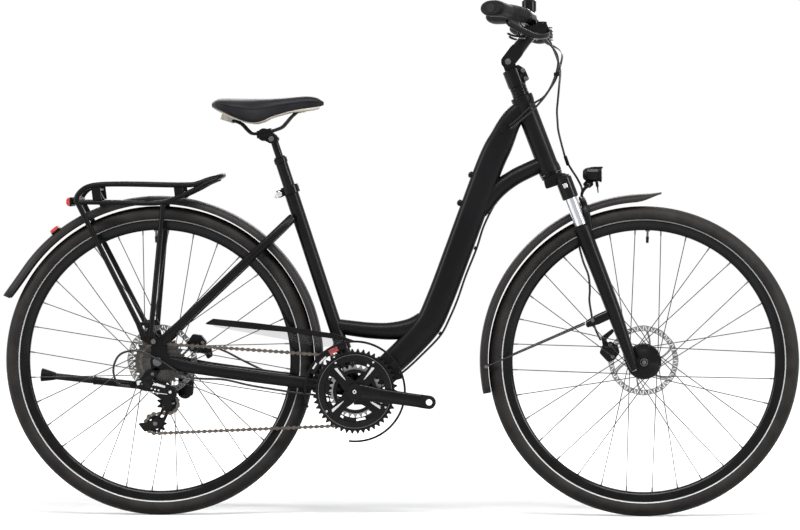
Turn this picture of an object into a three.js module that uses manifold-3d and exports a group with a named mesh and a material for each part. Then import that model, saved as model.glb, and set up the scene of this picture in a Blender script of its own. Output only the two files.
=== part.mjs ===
// A step-through city bicycle with a low curved frame, a short-travel fork, disc brakes, a rack and a kickstand.
// Millimetres. x runs forward from the rear axle, y towards the rider's left, z up from the ground.
import * as THREE from "three";
import { mergeVertices } from "three/addons/utils/BufferGeometryUtils.js";
import Module from "manifold-3d";

const wasm = await Module();
wasm.setup();

const degree = Math.PI / 180;
const turn = 2 * Math.PI;
const right = -1;
const left = 1;
const both_sides = [right, left];

// Layout of the whole bicycle.
const wheelbase = 1100;
const axle_height = 352;
const bracket_height = 285;
const bracket_run = 447;
const head_lean = 21 * degree;
const seat_lean = 18.2 * degree;
const fork_rake = 44;
const seat_gap = 0.3;
const running_gap = 1;

// Wheels: sections are written as radius and half width.
const wheel_segments = 28;
const tyre_section = [[308.3, 8.2], [318.3, 10.7], [330, 21], [345, 16]];
const tread_radius = 352;
const rim_section = [[296.6, 6], [318, 12.5], [318, 11], [308, 8.5]];
const valve = {
  radius: 3, cap_radius: 4, length: 27, cap_length: 14, bed: 4, lean_front: 1.7 * degree, lean_rear: -1.7 * degree,
};
const spoke = {
  count: 32, radius: 1.1, sides: 3, hub_radius: 37.5, rim_offset: 2.2, rim_weave: 1.2, end_radius: 294,
  sweep: 53.8 * degree, first_front: 3.75 * degree, first_rear: -3.75 * degree, weave: 1.9,
};
const rotor = {
  radius: 80, track: 67, hub_ring: 27, bore: 12, thickness: 1.8, arms: 6, arm_width: 9, arm_root: 24, arm_tip: 69,
  arm_sweep: 24 * degree,
};

// Front wheel set: a dynamo hub between narrow dropouts.
const front_hub = {
  half_length: 46, shell_radius: 33, flange_radius: 39.8, flange_left: 25, flange_right: 30, flange_half: 3.1,
  boss_radius: 20, boss_left: 38.8, bore: 7, end_radius: 12, rotor_y: 40,
};
const front_axle = {
  radius: 5, half_length: 66, nut_radius: 8, nut_length: 6.5, nut_y: 58.3, cone_radius: 9, cone_end: 50.1,
  cone_right: 46.6, cone_left: 41.5,
};
const stator = { radius: 29, half_length: 20, chamber_radius: 30.5, chamber_half: 22 };

// Rear wheel set: a hub with the cassette on its right and a disc on its left.
const rear_hub = {
  shell_radius: 20, flange_radius: 39, flange_left: 32, flange_right: 20, flange_half: 3.1,
  boss_radius: 20, boss_left: 50.8, bore: 7, right_end: 28.4, end_radius: 12, rotor_y: 52,
};
const rear_axle = {
  radius: 5, half_length: 82, nut_radius: 9, nut_length: 6.5, nut_y: 73.7, cone_radius: 10, cone_end: 67.3, cone_left: 53.4,
};
const cassette = {
  teeth: [28, 25, 22, 20, 17, 15, 13, 11], first_y: -30.6, spacing: 4.8, half_thickness: 0.8,
  carrier_radius: 17, bore: 7, outer_end: -66.6, inner_end: -29,
};

// Chain drive.
const pitch = 12.7;
const chain = {
  y: -45, half_width: 3.3, slot_half: 1.5, tall: 4.2, waist: 3, plate_half: 3.8, arc_step: 24 * degree, cog_teeth: 20, ring_teeth: 38,
  pulley_teeth: 11,
};
const tooth = { tip: 3.4, flank_shares: [[-0.5, -3.6], [0, 3.4]] };
const chainrings = { teeth: [46, 38, 28], y: [-51.5, -45, -38.5], half_thickness: 0.8, hole: 46 };
const spider = {
  arms: 4, inner: -54, outer: -58, disc_face: -56.4, hub_radius: 24, arm_width: 20, root_share: 1.4, tip_radius: 84,
  disc_outer: 85, disc_inner: 67, drum_inner: 42, drum_outer: 50, drum_end: -37.9,
};
const crank_arm = {
  length: 170, droop: 8 * degree, inner: 62, outer: 78, root_radius: 20, tip_radius: 15, eye_radius: 7,
  boss_outer: 81, boss_radius: 17, cap_radius: 9, cap_outer: 83,
};
const crank_axle = { radius: 12, end_y: 79 };
const pulley = {
  y: -45, half_thickness: 1.2, hub_half: 3, bore: 3.5, hub_radius: 9, guide: [22.6, 256.2], tension: [-7.1, 210.5],
};

// Main tube: its centre line as shares of the run from the crank axle to the head joint.
const head_joint = [830, 932];
const main_tube_shares = [
  [0.045, 0.016], [0.2245, 0.1036], [0.334, 0.167], [0.431, 0.235], [0.495, 0.317], [0.607, 0.493],
  [0.6945, 0.634], [0.8065, 0.809], [0.863, 0.879], [0.924, 0.951], [1, 1],
];
const main_tube_sizes = [[0, 44, 50], [0.12, 46, 58], [0.3, 45, 62], [0.85, 44, 62], [1, 40, 40]];
const main_tube_square = 2.7;
const main_tube_sides = 12;
const main_tube_steps = 13;
const head_tube = { radius: 23.5, bottom: 473.5, top: 660.7, bore: 18, sides: 16 };
const gusset_path = [[884, 806], [848, 790], [806, 769], [770, 742], [735, 705]];
const gusset_sizes = [[0, 34, 36], [1, 36, 42]];
const bottle_boss = { radius: 6, height: 3, sink: 8, at: [[706.5, 776, 24], [681, 712, 20.5]] };
const cable_port = { at: [782.4, 880.2], length: 22, width: 11, y: -21, rise: 2.4, sink: 5, lean: 32 * degree };

// Seat tube, cross tube and crank bearing shell.
const seat_tube = { radius: 15.9, top: 486.5, bore: 14, bore_floor: 285, sides: 16 };
const shell = { radius: 21, half: 34, bore: 12.6 };
const cross_tube_path = [[395, 432], [430, 427], [480, 421], [530, 420], [575, 428], [604, 445]];
const cross_tube_sizes = [[0, 27, 34], [0.5, 28, 38], [0.8, 32, 46], [1, 34, 60]];

// Rear stays: x, y to one side and z, then width and depth at each point.
const chain_stay_path = [
  [427, 24, 288], [400, 28.4, 292], [385, 31, 294.5], [368, 35.2, 297.5], [335, 38, 303], [206, 48, 320],
  [100, 58.5, 335], [70, 63.4, 340], [30, 67.5, 348], [6, 70.5, 352],
];
const chain_stay_sizes = [[0, 12, 30], [0.12, 13, 28], [0.5, 16, 28], [0.76, 14, 26], [0.93, 8, 28], [1, 5.6, 30]];
const seat_stay_path = [[302, 17, 677], [285, 31, 660], [256, 40.5, 632], [120, 55, 503], [28, 68.5, 415], [4, 70.5, 392]];
const seat_stay_sizes = [[0, 15, 20], [0.2, 17, 20], [0.85, 15, 19], [0.95, 8, 22], [1, 5.6, 24]];
const dropout = {
  inner: 67.6, outer: 73.4, hole: 5.6, hanger_at: [-9.5, 325], hanger_radius: 11,
  outline: [[22, 368], [14, 400], [-4, 404], [-14, 386], [-15, 350], [-14, 334], [8, 333], [34, 336], [38, 352]],
  clear: [[26, 330], [26, 374], [16, 406], [-30, 406], [-30, 330]],
};

// Seat clamp, post, sprung rod and their lever, along the seat tube from the crank axle.
const seat_clamp = {
  bottom: 470, height: 17, inner: 16.3, outer: 20.5, ear: 14, ear_width: 16, slot: 3, lip: 3.2, lip_bore: 14.1,
  stud: [-26, 478], stud_radius: 3, stud_end: 11.3,
};
const clamp_lever = {
  length: 46, width: 9, thickness: 5, head_radius: 6, head_half: 8, head_y: 17.6, y: 24, reach: 26, lift: 478,
  bow: 1, rise: 2, flare_share: 0.5,
};
const seatpost = { radius: 13.6, bottom: 300, top: 556, collar_radius: 14.4, collar: 12, bore: 9.2, bore_floor: 404 };
const seat_rod = { radius: 8.75, bottom: 440, top: 602, head_radius: 11, head_half: 12 };

// Saddle: side outline points and the half widths seen from above.
const saddle_top = [
  [122, 937], [126, 944], [137.7, 948.5], [160, 949], [205.9, 947.8], [247, 947.4], [285.5, 949.6],
  [330.9, 953.3], [352, 950.5], [365, 944], [373.4, 936],
];
const saddle_low = [
  [122, 928.5], [130, 924], [145, 917.5], [162, 909], [185.4, 899.6], [202, 893.8], [219.3, 891.5],
  [238, 896], [256.8, 906.3], [297.6, 918.6], [330, 925], [356, 929.5], [373.4, 933],
];
const saddle_half_width = [
  [122, 40], [126, 60], [137, 74], [160, 82], [185, 80], [206, 70], [230, 52], [256, 38], [290, 27],
  [330, 22], [356, 18], [368, 11], [373.4, 4],
];
const saddle_stations = [122, 127, 138, 154, 178, 202, 226, 250, 280, 315, 345, 363, 373.4];
const saddle_crown = [[0, 1], [0.4, 0.975], [0.72, 0.83], [0.91, 0.56], [1, 0]];
const saddle_skirt = [[0.95, 0.45], [0.8, 0.1], [0.45, 0], [0, 0]];
const saddle = { edge_share: 0.5 };
const saddle_base = {
  width_share: 0.78, foot_share: 0.8,
  stations: [[138, 8], [154, 12], [178, 8], [202, 6], [226, 5], [250, 7], [280, 8], [315, 8], [345, 6], [363, 4]],
};
const rail = {
  radius: 3.5, bridge_length: 14, bridge_height: 8,
  path: [
    [172, 890.6, 24], [190, 885, 23], [203, 872, 22], [213.9, 867.6, 22], [238, 870.5, 22], [263.7, 876.3, 22],
    [280, 883, 21], [290, 893, 16], [300, 905, 12],
  ],
  bridges: [[172, 889.8, 28], [303, 902, 16]],
};
const saddle_clamp = {
  at: [238.9, 871], length: 31, half_width: 27, height: 17, tip: 12 * degree, cheek_in: 12.6, cheek_out: 18,
  cheek: [[222, 862], [232, 856], [252, 846], [268, 846], [272, 858], [262, 868], [250, 876], [228, 874]],
};

// Kickstand on the left of the rear axle: its local axes are the leg, the hinge line and their normal.
const kickstand = {
  y: 84, pivot: [50, 280], stowed: [-0.995, 0.02, 0.104], deployed: [0.3, 0.46, -0.835], 
  upper_length: 212, neck_length: 24, neck_half: 8, upper_start: 19,
  upper_radius: 9, lower_radius: 6.4, lower_start: 150, length: 320, bore_gap: 0.5, hinge_radius: 15, hinge_half: 6,
  pin_radius: 5, foot_radius: 14, foot_root: 8, foot_length: 22, foot_tip: 12,
  cheeks: [[-12, -6.6, 16], [6.6, 10, 14]], bridge: [[-10, 15.4], [-10, 22], [14, 22], [20, 4], [16, -2], [15.8, 4], [13, 16], [-2, 16]],
  mount: [[34, 284], [68, 284], [74, 334], [34, 334]], mount_y: [60, 69.4],
};

// Front fork: heights along the steering axis and offsets ahead of it.
const fork = {
  leg_y: 65, leg_x: 15, foot_x: 17.6, stanchion_radius: 14, stanchion_bottom: 122, leg_top: 333, leg_bottom: -8,
  leg_bore: 14.6, leg_bore_floor: 60, leg_sizes: [[0, 33, 33], [0.35, 36, 36], [1, 37, 37]],
  steerer_radius: 14.3, steerer_top: 716, race_radius: 21.5, race_top: 473.1, race: 9,
  crown: [[-23, 444], [-20, 466], [20, 468], [32, 454], [32, 438], [18, 444]], crown_half_width: 62,
  lobe_radius: 18.5, lobe_bottom: 405, lobe_top: 454, foot_top: 52,
};
const arch = {
  path: [[22, -66, 316], [38, -63, 342], [45, -48, 378], [45, 0, 393.5], [45, 48, 378], [38, 63, 342], [22, 66, 316]],
  sizes: [[0, 16, 16], [0.2, 16, 15], [0.5, 14, 15], [0.8, 16, 15], [1, 16, 16]],
  pad: [10, 16, 12], pad_at: [44, 382.6],
};
const fork_dropout = {
  inner: 50.4, outer: 58, hole: 5.6, outline: [[6, 40], [32, 14], [54, 12], [56, -10], [40, -15], [8, -16], [4, 10]],
};
const light_bracket = {
  path: [[45, 396], [50, 406], [58, 413], [70, 418]], sizes: [[0, 18, 6], [1, 18, 9]], slot: [46, 8.8, 60], slot_at: [79, 420],
};
const guard_block = { outline: [[6, 116], [6, 144], [-36, 142], [-46, 134], [-46, 124], [-36, 116]], inner: 52, outer: 74 };

// Mudguards: the shell's section as half width and radius below its crown, and the arcs they span.
const guard = {
  crown: 376, half_width: 28, wall: 1.8, steps: 16,
  section: [[28, 17], [25, 5], [10, 0]],
  front_start: 84 * degree, front_end: 191.6 * degree, rear_start: -9.5 * degree, rear_end: 157.5 * degree,
  rear_flare_from: 0.93, rear_flare: 9, front_flare_to: 0.05, front_flare: 4, rear_crown: 375, lift: -0.3,
};
const guard_stay = {
  radius: 1.8, eye: [-133, 86], eye_y: 56, edge_radius: 361, edge_angle: 181.9 * degree, edge_y: 27.6,
};

// Rear lamp parts and reflector.
const reflector = { angle: 128.8 * degree, length: 22, rise: 10, half_width: 21, sink: 0.6 };
const tail_light = { outline: [[-199.6, 704], [-199.6, 723], [-206, 723], [-210, 718], [-210, 709], [-206, 704]], half_width: 42 };

// Rack: one side's rails as x and z.
const rack = {
  radius: 6, sides: 5, y: 60, foot_y: 79,
  upper: [[146, 772], [83, 752], [-140, 752], [-166, 744], [-182, 728], [-186, 712]],
  lower: [[-181, 713], [-100, 712], [10, 712], [40, 722], [141, 769]],
  rear_leg: [[-184, 716], [-27, 408]], front_leg: [[12, 708], [-15, 408]],
  cross: [[146, 772], [60, 752], [-30, 752], [-120, 752], [-184, 720]], cross_radius: 4.5,
  foot: { outline: [[-38, 402], [-34, 420], [-6, 420], [-2, 402], [-2, 392], [-12, 390]], inner: 75.6, outer: 82 },
  foot_bolt: { at: [-8, 398], radius: 4, inner: 73.8 },
  posts: [[-139, 732], [48, 736]], post_length: 22, post_width: 6, post_height: 36,
  lamp_plate: { size: [16, 56, 14], at: [-191.4, 714] }, guard_bracket: { size: [14, 20, 28], at: [-30, 739] },
};

// Chain guard: a hoop round the rings, a long tapering bar behind it and a clear strip under the bar.
const chain_guard = {
  inner: 111, outer: 115, y_inner: -56, y_outer: -60, hoop_start: -97 * degree, hoop_end: 199 * degree, hoop_steps: 24,
  bar: [
    [104.2, 437], [125.6, 449.4], [212, 441], [300, 430.5], [400, 416], [447, 399.6], [447, 396.4], [400, 404],
    [300, 418.5], [212, 426],
  ],
  strip: [[100, 436.5], [212, 428], [300, 420.5], [400, 406], [424, 399], [396, 387], [366.6, 385.2], [296.8, 400.9], [200, 418]],
  strip_y_inner: -57.4, strip_y_outer: -58.6,
  arm_angle: 34 * degree, arm_half: 8, arm_y_inner: -34.6, arm_y_outer: -36.6, arm_ring: 24, arm_ring_bore: 13.4,
  post_inner: 101, post_outer: 113,
};

// Derailleurs.
const front_mech = {
  clamp_low: 96, clamp_high: 114, clamp_outer: 20.5, body: [[394, 374], [424, 382], [424, 400], [398, 402]],
  body_inner: -15, body_outer: -39, cage_inner: 99, cage_outer: 112, plate_inner: [-38.4, -39.8],
  plate_outer: [-50, -51.4], start: 101 * degree, end: 158 * degree, bridge: 4 * degree, steps: 6, bridge_root: 107,
};
const rear_mech = {
  knuckle: [[-9.5, 327], [-26, 313], [-12, 298]], knuckle_sizes: [[0, 12, 24], [1, 12, 28]], knuckle_y: -80,
  body: [[-50, 314], [-24, 311], [2, 306], [40, 296], [45, 272], [22, 258], [-10, 280], [-46, 292]], body_y: [-62, -84],
  cage_y: [-49.6, -51.4], cage_inner_y: [-38.6, -40.4],
  cage: [[36, 266], [30, 238], [6, 206], [0, 199], [-12, 197], [-20, 208], [-16, 222], [4, 262], [16, 272]],
  tab: [[-47, 212], [-31, 192], [-18, 196], [-10, 206], [-18, 214]],
  pin_radius: 3, pivot_radius: 11,
};

// Brake calipers.
const caliper = {
  body: [[-27, -16], [-10, -26], [16, -24], [27, -8], [24, 16], [2, 27], [-22, 20]], slot_half: 2.4, slot_radius: 83,
  half_inner: 12, half_outer: 14,
};
const front_caliper = {
  f: -24, s: 52, tip: 30 * degree, arm_y: [43.4, 54], arm: [[-34, 68], [-28, 86], [0, 96], [4, 84], [-10, 66]],
};
const rear_caliper = {
  at: [90, 386], tip: -25 * degree, foot_y: [54.6, 66], foot: [[72, 376], [112, 376], [118, 336], [84, 336]],
};

// Stem base, stem arm and handlebar.
const stem = {
  spacer_low: 661, spacer_high: 684, spacer_radius: 19, clamp_radius: 20.7, clamp_top: 725.6, bore: 14.9,
  pivot_s: 744.4, boss_radius: 15.5, boss_half: 13.7, neck: [[-14, 718], [14, 718], [14, 744], [-14, 744]], neck_half: 13.2,
  lug: [[8, 686], [31, 690], [30, 716], [19, 730], [8, 730]], lug_half: 11,
  bolt_radius: 4, bolt_s: [694, 714], bolt_x: 25, bolt_half: 13, cap_s: 720,
};
const stem_arm = {
  lean: 38 * degree, length: 95, cheek_radius: 16.4, depth: 32, half_width: 20.5, slot_half: 14.1, slot_reach: 28,
  clamp_radius: 21, clamp_half: 22, pin_radius: 5,
};
const bar_shape = [[0, 0, 0], [0, 60, 0], [-2, 100, 5], [-10, 150, 12], [-45, 225, 16], [-91, 303, 19]];
const bar = {
  sides: 8, steps: 16,
  sizes: [[0, 22.2, 22.2], [0.37, 22.2, 22.2], [0.44, 31.8, 31.8], [0.56, 31.8, 31.8], [0.63, 22.2, 22.2], [1, 22.2, 22.2]],
};
const grip = {
  sides: 10, steps: 6, path: [[-21, 176, 13.2], [-47, 228, 15.9], [-72, 267, 17.5], [-89, 293, 18.4], [-97, 306.5, 19]],
  sizes: [[0, 33, 33], [0.4, 33, 31], [0.7, 44, 30], [0.9, 57.5, 32.5], [1, 50, 27]],
};

// Brake and shift controls: x and z are measured from the bar clamp, y from the middle plane.
const control = {
  ring_from: [-7.6, 138, 10.6], ring_to: [-19.6, 173, 13.3], ring_radius: 16, master: [[14, 112, 4], [24, 136, -4], [26, 160, -8]],
  master_sizes: [[0, 18, 18], [0.5, 23, 22], [1, 22, 20]],
  housing: [[34, -2], [30, 8], [-8, 2], [-34, -2], [-38, -14], [-10, -16], [26, -16]], housing_y: [120, 168],
  window_size: [22, 26, 16], window_at: [19, 137, 4],
};
const brake_lever = {
  pivot: [34, 158, -12], path: [[34, 158, -12], [33, 185, -18], [22, 225, -20], [-8, 268, -18], [-28, 291, -15]],
  side: [1, 0, 0], sizes: [[0, 10, 12], [0.3, 9, 11], [1, 8, 13]], boss_half: 6, boss_radius: 8, bore: 3.4,
  ear_half: 11, ear_radius: 9, slot_half: 8.2, slot_radius: 17, pin_radius: 3,
};
const shift_lever = {
  pivot: [-24, 150, -21], path: [[-24, 150, -21], [-44, 156, -21], [-62, 160, -18], [-76, 162, -12]],
  side: [0, 1, 0], sizes: [[0, 15, 5], [0.5, 15, 5], [1, 24, 6]], boss_half: 2.5, boss_radius: 8, bore: 3.6,
  post_radius: 3.2, post_high: 9, cap_low: 6, cap_high: 3.3, cap_radius: 6.5,
};
const bell = {
  ring_from: [-1.8, -95, 4.6], ring_to: [-2.6, -105, 6], ring_radius: 15.6, at: [-4, -100, 28],
  dome: [[0, -13], [6, -13], [6, -1], [15, -1], [14.6, 4], [10, 9.4], [4, 12], [0, 12]],
  lever_size: [6, 19.6, 3.6], lever_at: [-4, -116.6, 23.6],
};

// Headlight on the fork arch: x from its centre with the half height there, and its lug and visor as outlines.
const lamp = {
  centre: [987, 776], height_share: 0.95, rings: [[-25, 8], [-19, 15], [-2, 18.5], [16, 19]], hollow: [[13, 16], [17, 17]],
  lug: [[966, 746], [962, 754], [970, 764], [984, 764], [986, 752], [978, 745]], lug_half: 4,
  visor: [[985, 791], [1013, 791.6], [1013, 788.6], [985, 786]], visor_half: 15,
};

// Cables: routes chosen along the real ones, as x, y and z.
const cable = {
  radius: 2.5, sides: 5, loop_steps: 7, hose_steps: 22, tube_steps: 12, right_steps: 13, left_steps: 8,
};
const loop_clip = { at: [902, -43.5, 1002], length: 17, width: 17, height: 9};
const loop_right_upper = [
  [872, -138, 1088.7], [876, -137, 1079], [889, -120, 1066], [903, -90, 1046], [906, -62, 1027], [903, -49, 1010],
  [900, -45, 1000],
];
const loop_left_upper = [
  [872, 138, 1088.7], [876, 137, 1079], [897, 112, 1068], [911, 60, 1058], [915, 0, 1046], [912, -36, 1027],
  [907, -42, 1009], [904, -42, 1000],
];
const loop_right_lower = [
  [900, -45, 1000], [896, -42, 989], [886, -37.5, 968], [872, -33, 950], [852, -30.5, 937], [822, -28.5, 908],
  [797, -26.3, 886],
];
const loop_left_lower = [
  [904, -42, 1000], [899, -41.5, 988], [888, -39.5, 970], [875, -37, 951], [857, -35.5, 930], [826, -33.5, 901],
  [798, -31.6, 879],
];
const front_hose = [
  [866, 101, 1101], [880, 90, 1090], [893, 72, 1065], [903, 54, 1040], [910, 42, 1012], [908, 30, 979], [905, 26, 945],
  [903, 24, 921], [904, 22, 899], [906, 20, 876], [911, 18, 854], [917, 20, 831], [925, 30, 808], [931, 38, 790],
  [938, 42, 762], [943, 44.4, 700], [949, 45.1, 640], [962, 45.1, 580], [975, 44.4, 545], [978, 43, 512],
  [977, 42.6, 489], [981, 42, 462], [985, 40, 440], [998, 38, 418],
];
const hose_sleeve = { at: [921.5, 25, 817], to: [928.4, 34, 797], radius: 4.2 };
const tube_hose = [
  [860, 0, 768], [838, 0, 759], [806, 0, 741], [786, 0, 710], [760, 0, 650], [735, 0, 590], [708, 0, 520], [683, 0, 460],
  [650, 0, 398], [610, 0, 352], [560, 0, 315], [500, 0, 280], [455, 0, 257],
];
const right_cable = [
  [455, -8, 257], [425, -24, 262], [380, -33, 272], [300, -42, 283], [209, -50, 298], [150, -53, 311], [70, -66, 318],
  [0, -90, 360], [-48, -92, 378], [-84, -92, 368], [-98, -90, 335], [-88, -86, 304], [-62, -78, 296],
];
const left_hose = [
  [455, 8, 257], [425, 24, 262], [380, 36, 275], [300, 50, 298], [232, 59, 327], [180, 60, 352], [146, 57, 370], [118, 54, 381],
];
const cable_block = { at: [455, 257], length: 26, half_width: 14, height: 9 };

// Directions and frames of reference.
const across = new THREE.Vector3(0, 1, 0);
const upright = new THREE.Vector3(0, 0, 1);
const at = (x, y, z) => new THREE.Vector3(x, y, z);
const on_side = (point, y = 0) => at(point[0], y, point[1]);
const head_direction = at(-Math.sin(head_lean), 0, Math.cos(head_lean));
const head_forward = at(Math.cos(head_lean), 0, Math.sin(head_lean));
const steering_foot = at(wheelbase, 0, axle_height).addScaledVector(head_forward, -fork_rake);
const seat_direction = at(-Math.sin(seat_lean), 0, Math.cos(seat_lean));
const crank_centre = at(bracket_run, 0, bracket_height);
const steering_point = (forward, y, along) => steering_foot.clone()
  .addScaledVector(head_forward, forward).addScaledVector(head_direction, along).setY(y);
const seat_point = (along) => crank_centre.clone().addScaledVector(seat_direction, along);
const polar = (radius, angle, y = 0, x = 0, z = 0) => at(
  x + radius * Math.cos(angle), y, z + radius * Math.sin(angle),
);

// Closed solids.

const weld = 0.0005;

// Welds a closed geometry and faces it outwards.
function solid(shape) {
  if (!shape.isBufferGeometry) return shape;
  const bare = new THREE.BufferGeometry();
  bare.setAttribute("position", shape.getAttribute("position"));
  bare.setIndex(shape.index);
  const merged = mergeVertices(bare, weld);
  const points = merged.getAttribute("position");
  const corners = merged.index.array;
  const faces = [];
  const [a, b, c] = [new THREE.Vector3(), new THREE.Vector3(), new THREE.Vector3()];
  let volume = 0;
  for (let i = 0; i < corners.length; i += 3) {
    const face = [corners[i], corners[i + 1], corners[i + 2]];
    if (new Set(face).size < 3) continue;
    [a, b, c].forEach((corner, j) => corner.fromBufferAttribute(points, face[j]));
    volume += a.dot(b.cross(c));
    faces.push(face);
  }
  const outward = volume < 0 ? faces.map(([p, q, r]) => [p, r, q]) : faces;
  return new wasm.Manifold(new wasm.Mesh({
    numProp: 3,
    vertProperties: new Float32Array(points.array),
    triVerts: new Uint32Array(outward.flat()),
  }));
}

// Reads a solid back as a geometry, so that it can be moved.
function as_geometry(body) {
  const mesh = body.getMesh();
  const geometry = new THREE.BufferGeometry();
  geometry.setAttribute("position", new THREE.BufferAttribute(mesh.vertProperties, mesh.numProp));
  return geometry.setIndex(new THREE.BufferAttribute(mesh.triVerts, 1));
}

const joined = (...shapes) => shapes.flat().map(solid).reduce((sum, next) => sum.add(next));
const cut = (body, ...tools) => tools.flat().map(solid).reduce((rest, tool) => rest.subtract(tool), solid(body));

// Triangles that close a ring of points, wound as the ring runs.
function cap_faces(ring) {
  const normal = new THREE.Vector3();
  ring.forEach((point, i) => {
    const next = ring[(i + 1) % ring.length];
    normal.add(new THREE.Vector3().crossVectors(point, next));
  });
  const first = ring[1].clone().sub(ring[0]).normalize();
  const second = new THREE.Vector3().crossVectors(normal, first).normalize();
  const flat = ring.map((point) => new THREE.Vector2(point.dot(first), point.dot(second)));
  return THREE.ShapeUtils.triangulateShape(flat, []).map(([p, q, r]) => {
    const area = flat[q].clone().sub(flat[p]).cross(flat[r].clone().sub(flat[p]));
    return area < 0 ? [p, r, q] : [p, q, r];
  });
}

// A body skinned over rings of matching points and closed at both ends.
function skin(rings) {
  const count = rings[0].length;
  const faces = cap_faces(rings[0]).map(([p, q, r]) => [p, r, q]);
  const last = (rings.length - 1) * count;
  cap_faces(rings[rings.length - 1]).forEach((face) => faces.push(face.map((corner) => corner + last)));
  for (let r = 0; r < rings.length - 1; r += 1) {
    for (let i = 0; i < count; i += 1) {
      const here = r * count + i;
      const beside = r * count + (i + 1) % count;
      faces.push([here, beside, beside + count], [here, beside + count, here + count]);
    }
  }
  const geometry = new THREE.BufferGeometry().setFromPoints(rings.flat());
  geometry.setIndex(faces.flat());
  return geometry;
}

// A rounded ring about a centre; a higher square number makes flatter sides.
function rounded_ring(centre, side, up, width, depth, sides, square) {
  return Array.from({ length: sides }, (_, i) => {
    const angle = (turn * (i + 0.5)) / sides;
    const reach = (value, size) => Math.sign(value) * Math.abs(value) ** (2 / square) * size / 2;
    return centre.clone().addScaledVector(side, reach(Math.cos(angle), width))
      .addScaledVector(up, reach(Math.sin(angle), depth));
  });
}

// Reads a list of [share, value, value...] between its entries.
function blended(list, share) {
  const next = Math.max(1, list.findIndex((entry) => entry[0] >= share));
  const [low, high] = [list[next - 1], list[next]];
  const part = (share - low[0]) / (high[0] - low[0]);
  return low.slice(1).map((value, i) => value + (high[i + 1] - value) * part);
}

// A body that follows a curve with a width and a depth that change along it.
function swept(points, sizes, { sides = 12, steps = 12, square = 2, grow = 0, side = across } = {}) {
  const curve = new THREE.CatmullRomCurve3(points, false, "centripetal");
  return skin(Array.from({ length: steps + 1 }, (_, i) => {
    const centre = curve.getPointAt(i / steps);
    const along = curve.getTangentAt(i / steps);
    const wide = side.clone().addScaledVector(along, -side.dot(along)).normalize();
    const deep = new THREE.Vector3().crossVectors(along, wide);
    const [width, depth] = blended(sizes, i / steps);
    return rounded_ring(centre, wide, deep, width + 2 * grow, depth + 2 * grow, sides, square);
  }));
}

const circle = (radius, sides, x = 0, y = 0) => Array.from({ length: sides }, (_, i) => new THREE.Vector2(
  x + radius * Math.cos((turn * (i + 0.5)) / sides), y + radius * Math.sin((turn * (i + 0.5)) / sides),
));

// A round tube of one size along a smooth route.
function tube(points, radius, sides, steps) {
  const route = new THREE.CatmullRomCurve3(points.map((point) => at(...point)), false, "centripetal");
  return new THREE.ExtrudeGeometry(new THREE.Shape(circle(radius, sides)), { steps, extrudePath: route });
}

// A straight round bar between two points.
function rod(from, to, radius, sides = 12, end_radius = radius) {
  const along = to.clone().sub(from).normalize();
  const guide = Math.abs(along.y) > Math.SQRT1_2 ? upright : across;
  const wide = guide.clone().addScaledVector(along, -guide.dot(along)).normalize();
  const deep = new THREE.Vector3().crossVectors(along, wide);
  const ring = (centre, size) => rounded_ring(centre, wide, deep, 2 * size, 2 * size, sides, 2);
  return skin([ring(from, radius), ring(to, end_radius)]);
}

// A bar that lies across the bicycle at a point of the side view.
const cross_bar = (point, y_from, y_to, radius, sides = 12) => rod(
  on_side(point, y_from), on_side(point, y_to), radius, sides,
);

// A body turned about a line across the bicycle; the profile holds [radius, y] corners.
function turned(profile, segments) {
  const corners = profile.map(([radius, y]) => new THREE.Vector2(radius, y));
  const closed = profile[0][0] === 0 ? corners : [...corners, corners[0]];
  return new THREE.LatheGeometry(closed, segments);
}

// A flat plate with a side-view outline of [x, z] corners, between two values of y.
function plate(outline, y_one, y_two, holes = []) {
  const shape = new THREE.Shape(outline.map(([x, z]) => new THREE.Vector2(x, z)));
  holes.forEach((hole) => shape.holes.push(new THREE.Path(hole)));
  const depth = Math.abs(y_two - y_one);
  const geometry = new THREE.ExtrudeGeometry(shape, { depth, bevelEnabled: false });
  return geometry.rotateX(Math.PI / 2).translate(0, Math.max(y_one, y_two), 0);
}

// A rectangular block about a centre, tipped in the side view.
function block(length, width, height, centre, tip = 0) {
  const geometry = new THREE.BoxGeometry(length, width, height);
  return geometry.rotateY(-tip).translate(centre.x, centre.y, centre.z);
}

const ring_profile = (inner, outer, y_from, y_to) => [[inner, y_from], [outer, y_from], [outer, y_to], [inner, y_to]];
const moved = (geometry, x, y, z) => geometry.translate(x, y, z);
const mirrored_section = (section, middle = []) => [
  ...section, ...middle, ...section.map(([radius, y]) => [radius, -y]).reverse(),
];

// Colours and surfaces.
const finish = (color, roughness, metalness) => new THREE.MeshStandardMaterial({ color, roughness, metalness });
const frame_black = () => finish(0x17181a, 0.55, 0.3);
const satin_black = () => finish(0x1c1c1e, 0.45, 0.2);
const rubber_black = () => finish(0x141414, 0.9, 0);
const bright_steel = () => finish(0xb9bbbd, 0.25, 0.95);
const dark_steel = () => finish(0x4a4642, 0.4, 0.9);
const plastic_black = () => finish(0x111112, 0.5, 0);
const clear_red = () => finish(0xa01818, 0.2, 0);

// Groups: the whole bicycle is centred on its length, and turned groups hold what follows a leaning axis.
const bicycle = new THREE.Group();
// How far the front tyre and the tail of the rear mudguard reach from the rear axle.
const rear_reach = 354.77;
const front_reach = wheelbase + tread_radius;
const centre_x = (front_reach - rear_reach) / 2;

function group_at(parent, place, lean = 0) {
  const group = new THREE.Group();
  group.position.copy(place);
  group.rotation.y = -lean;
  parent.add(group);
  return group;
}

const frame = group_at(bicycle, at(-centre_x, 0, 0));
const steering = group_at(frame, steering_foot, head_lean);
const seat = group_at(frame, crank_centre, seat_lean);
const front_wheel = group_at(frame, at(wheelbase, 0, axle_height));
const rear_wheel = group_at(frame, at(0, 0, axle_height));
const crank = group_at(frame, crank_centre);

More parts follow.
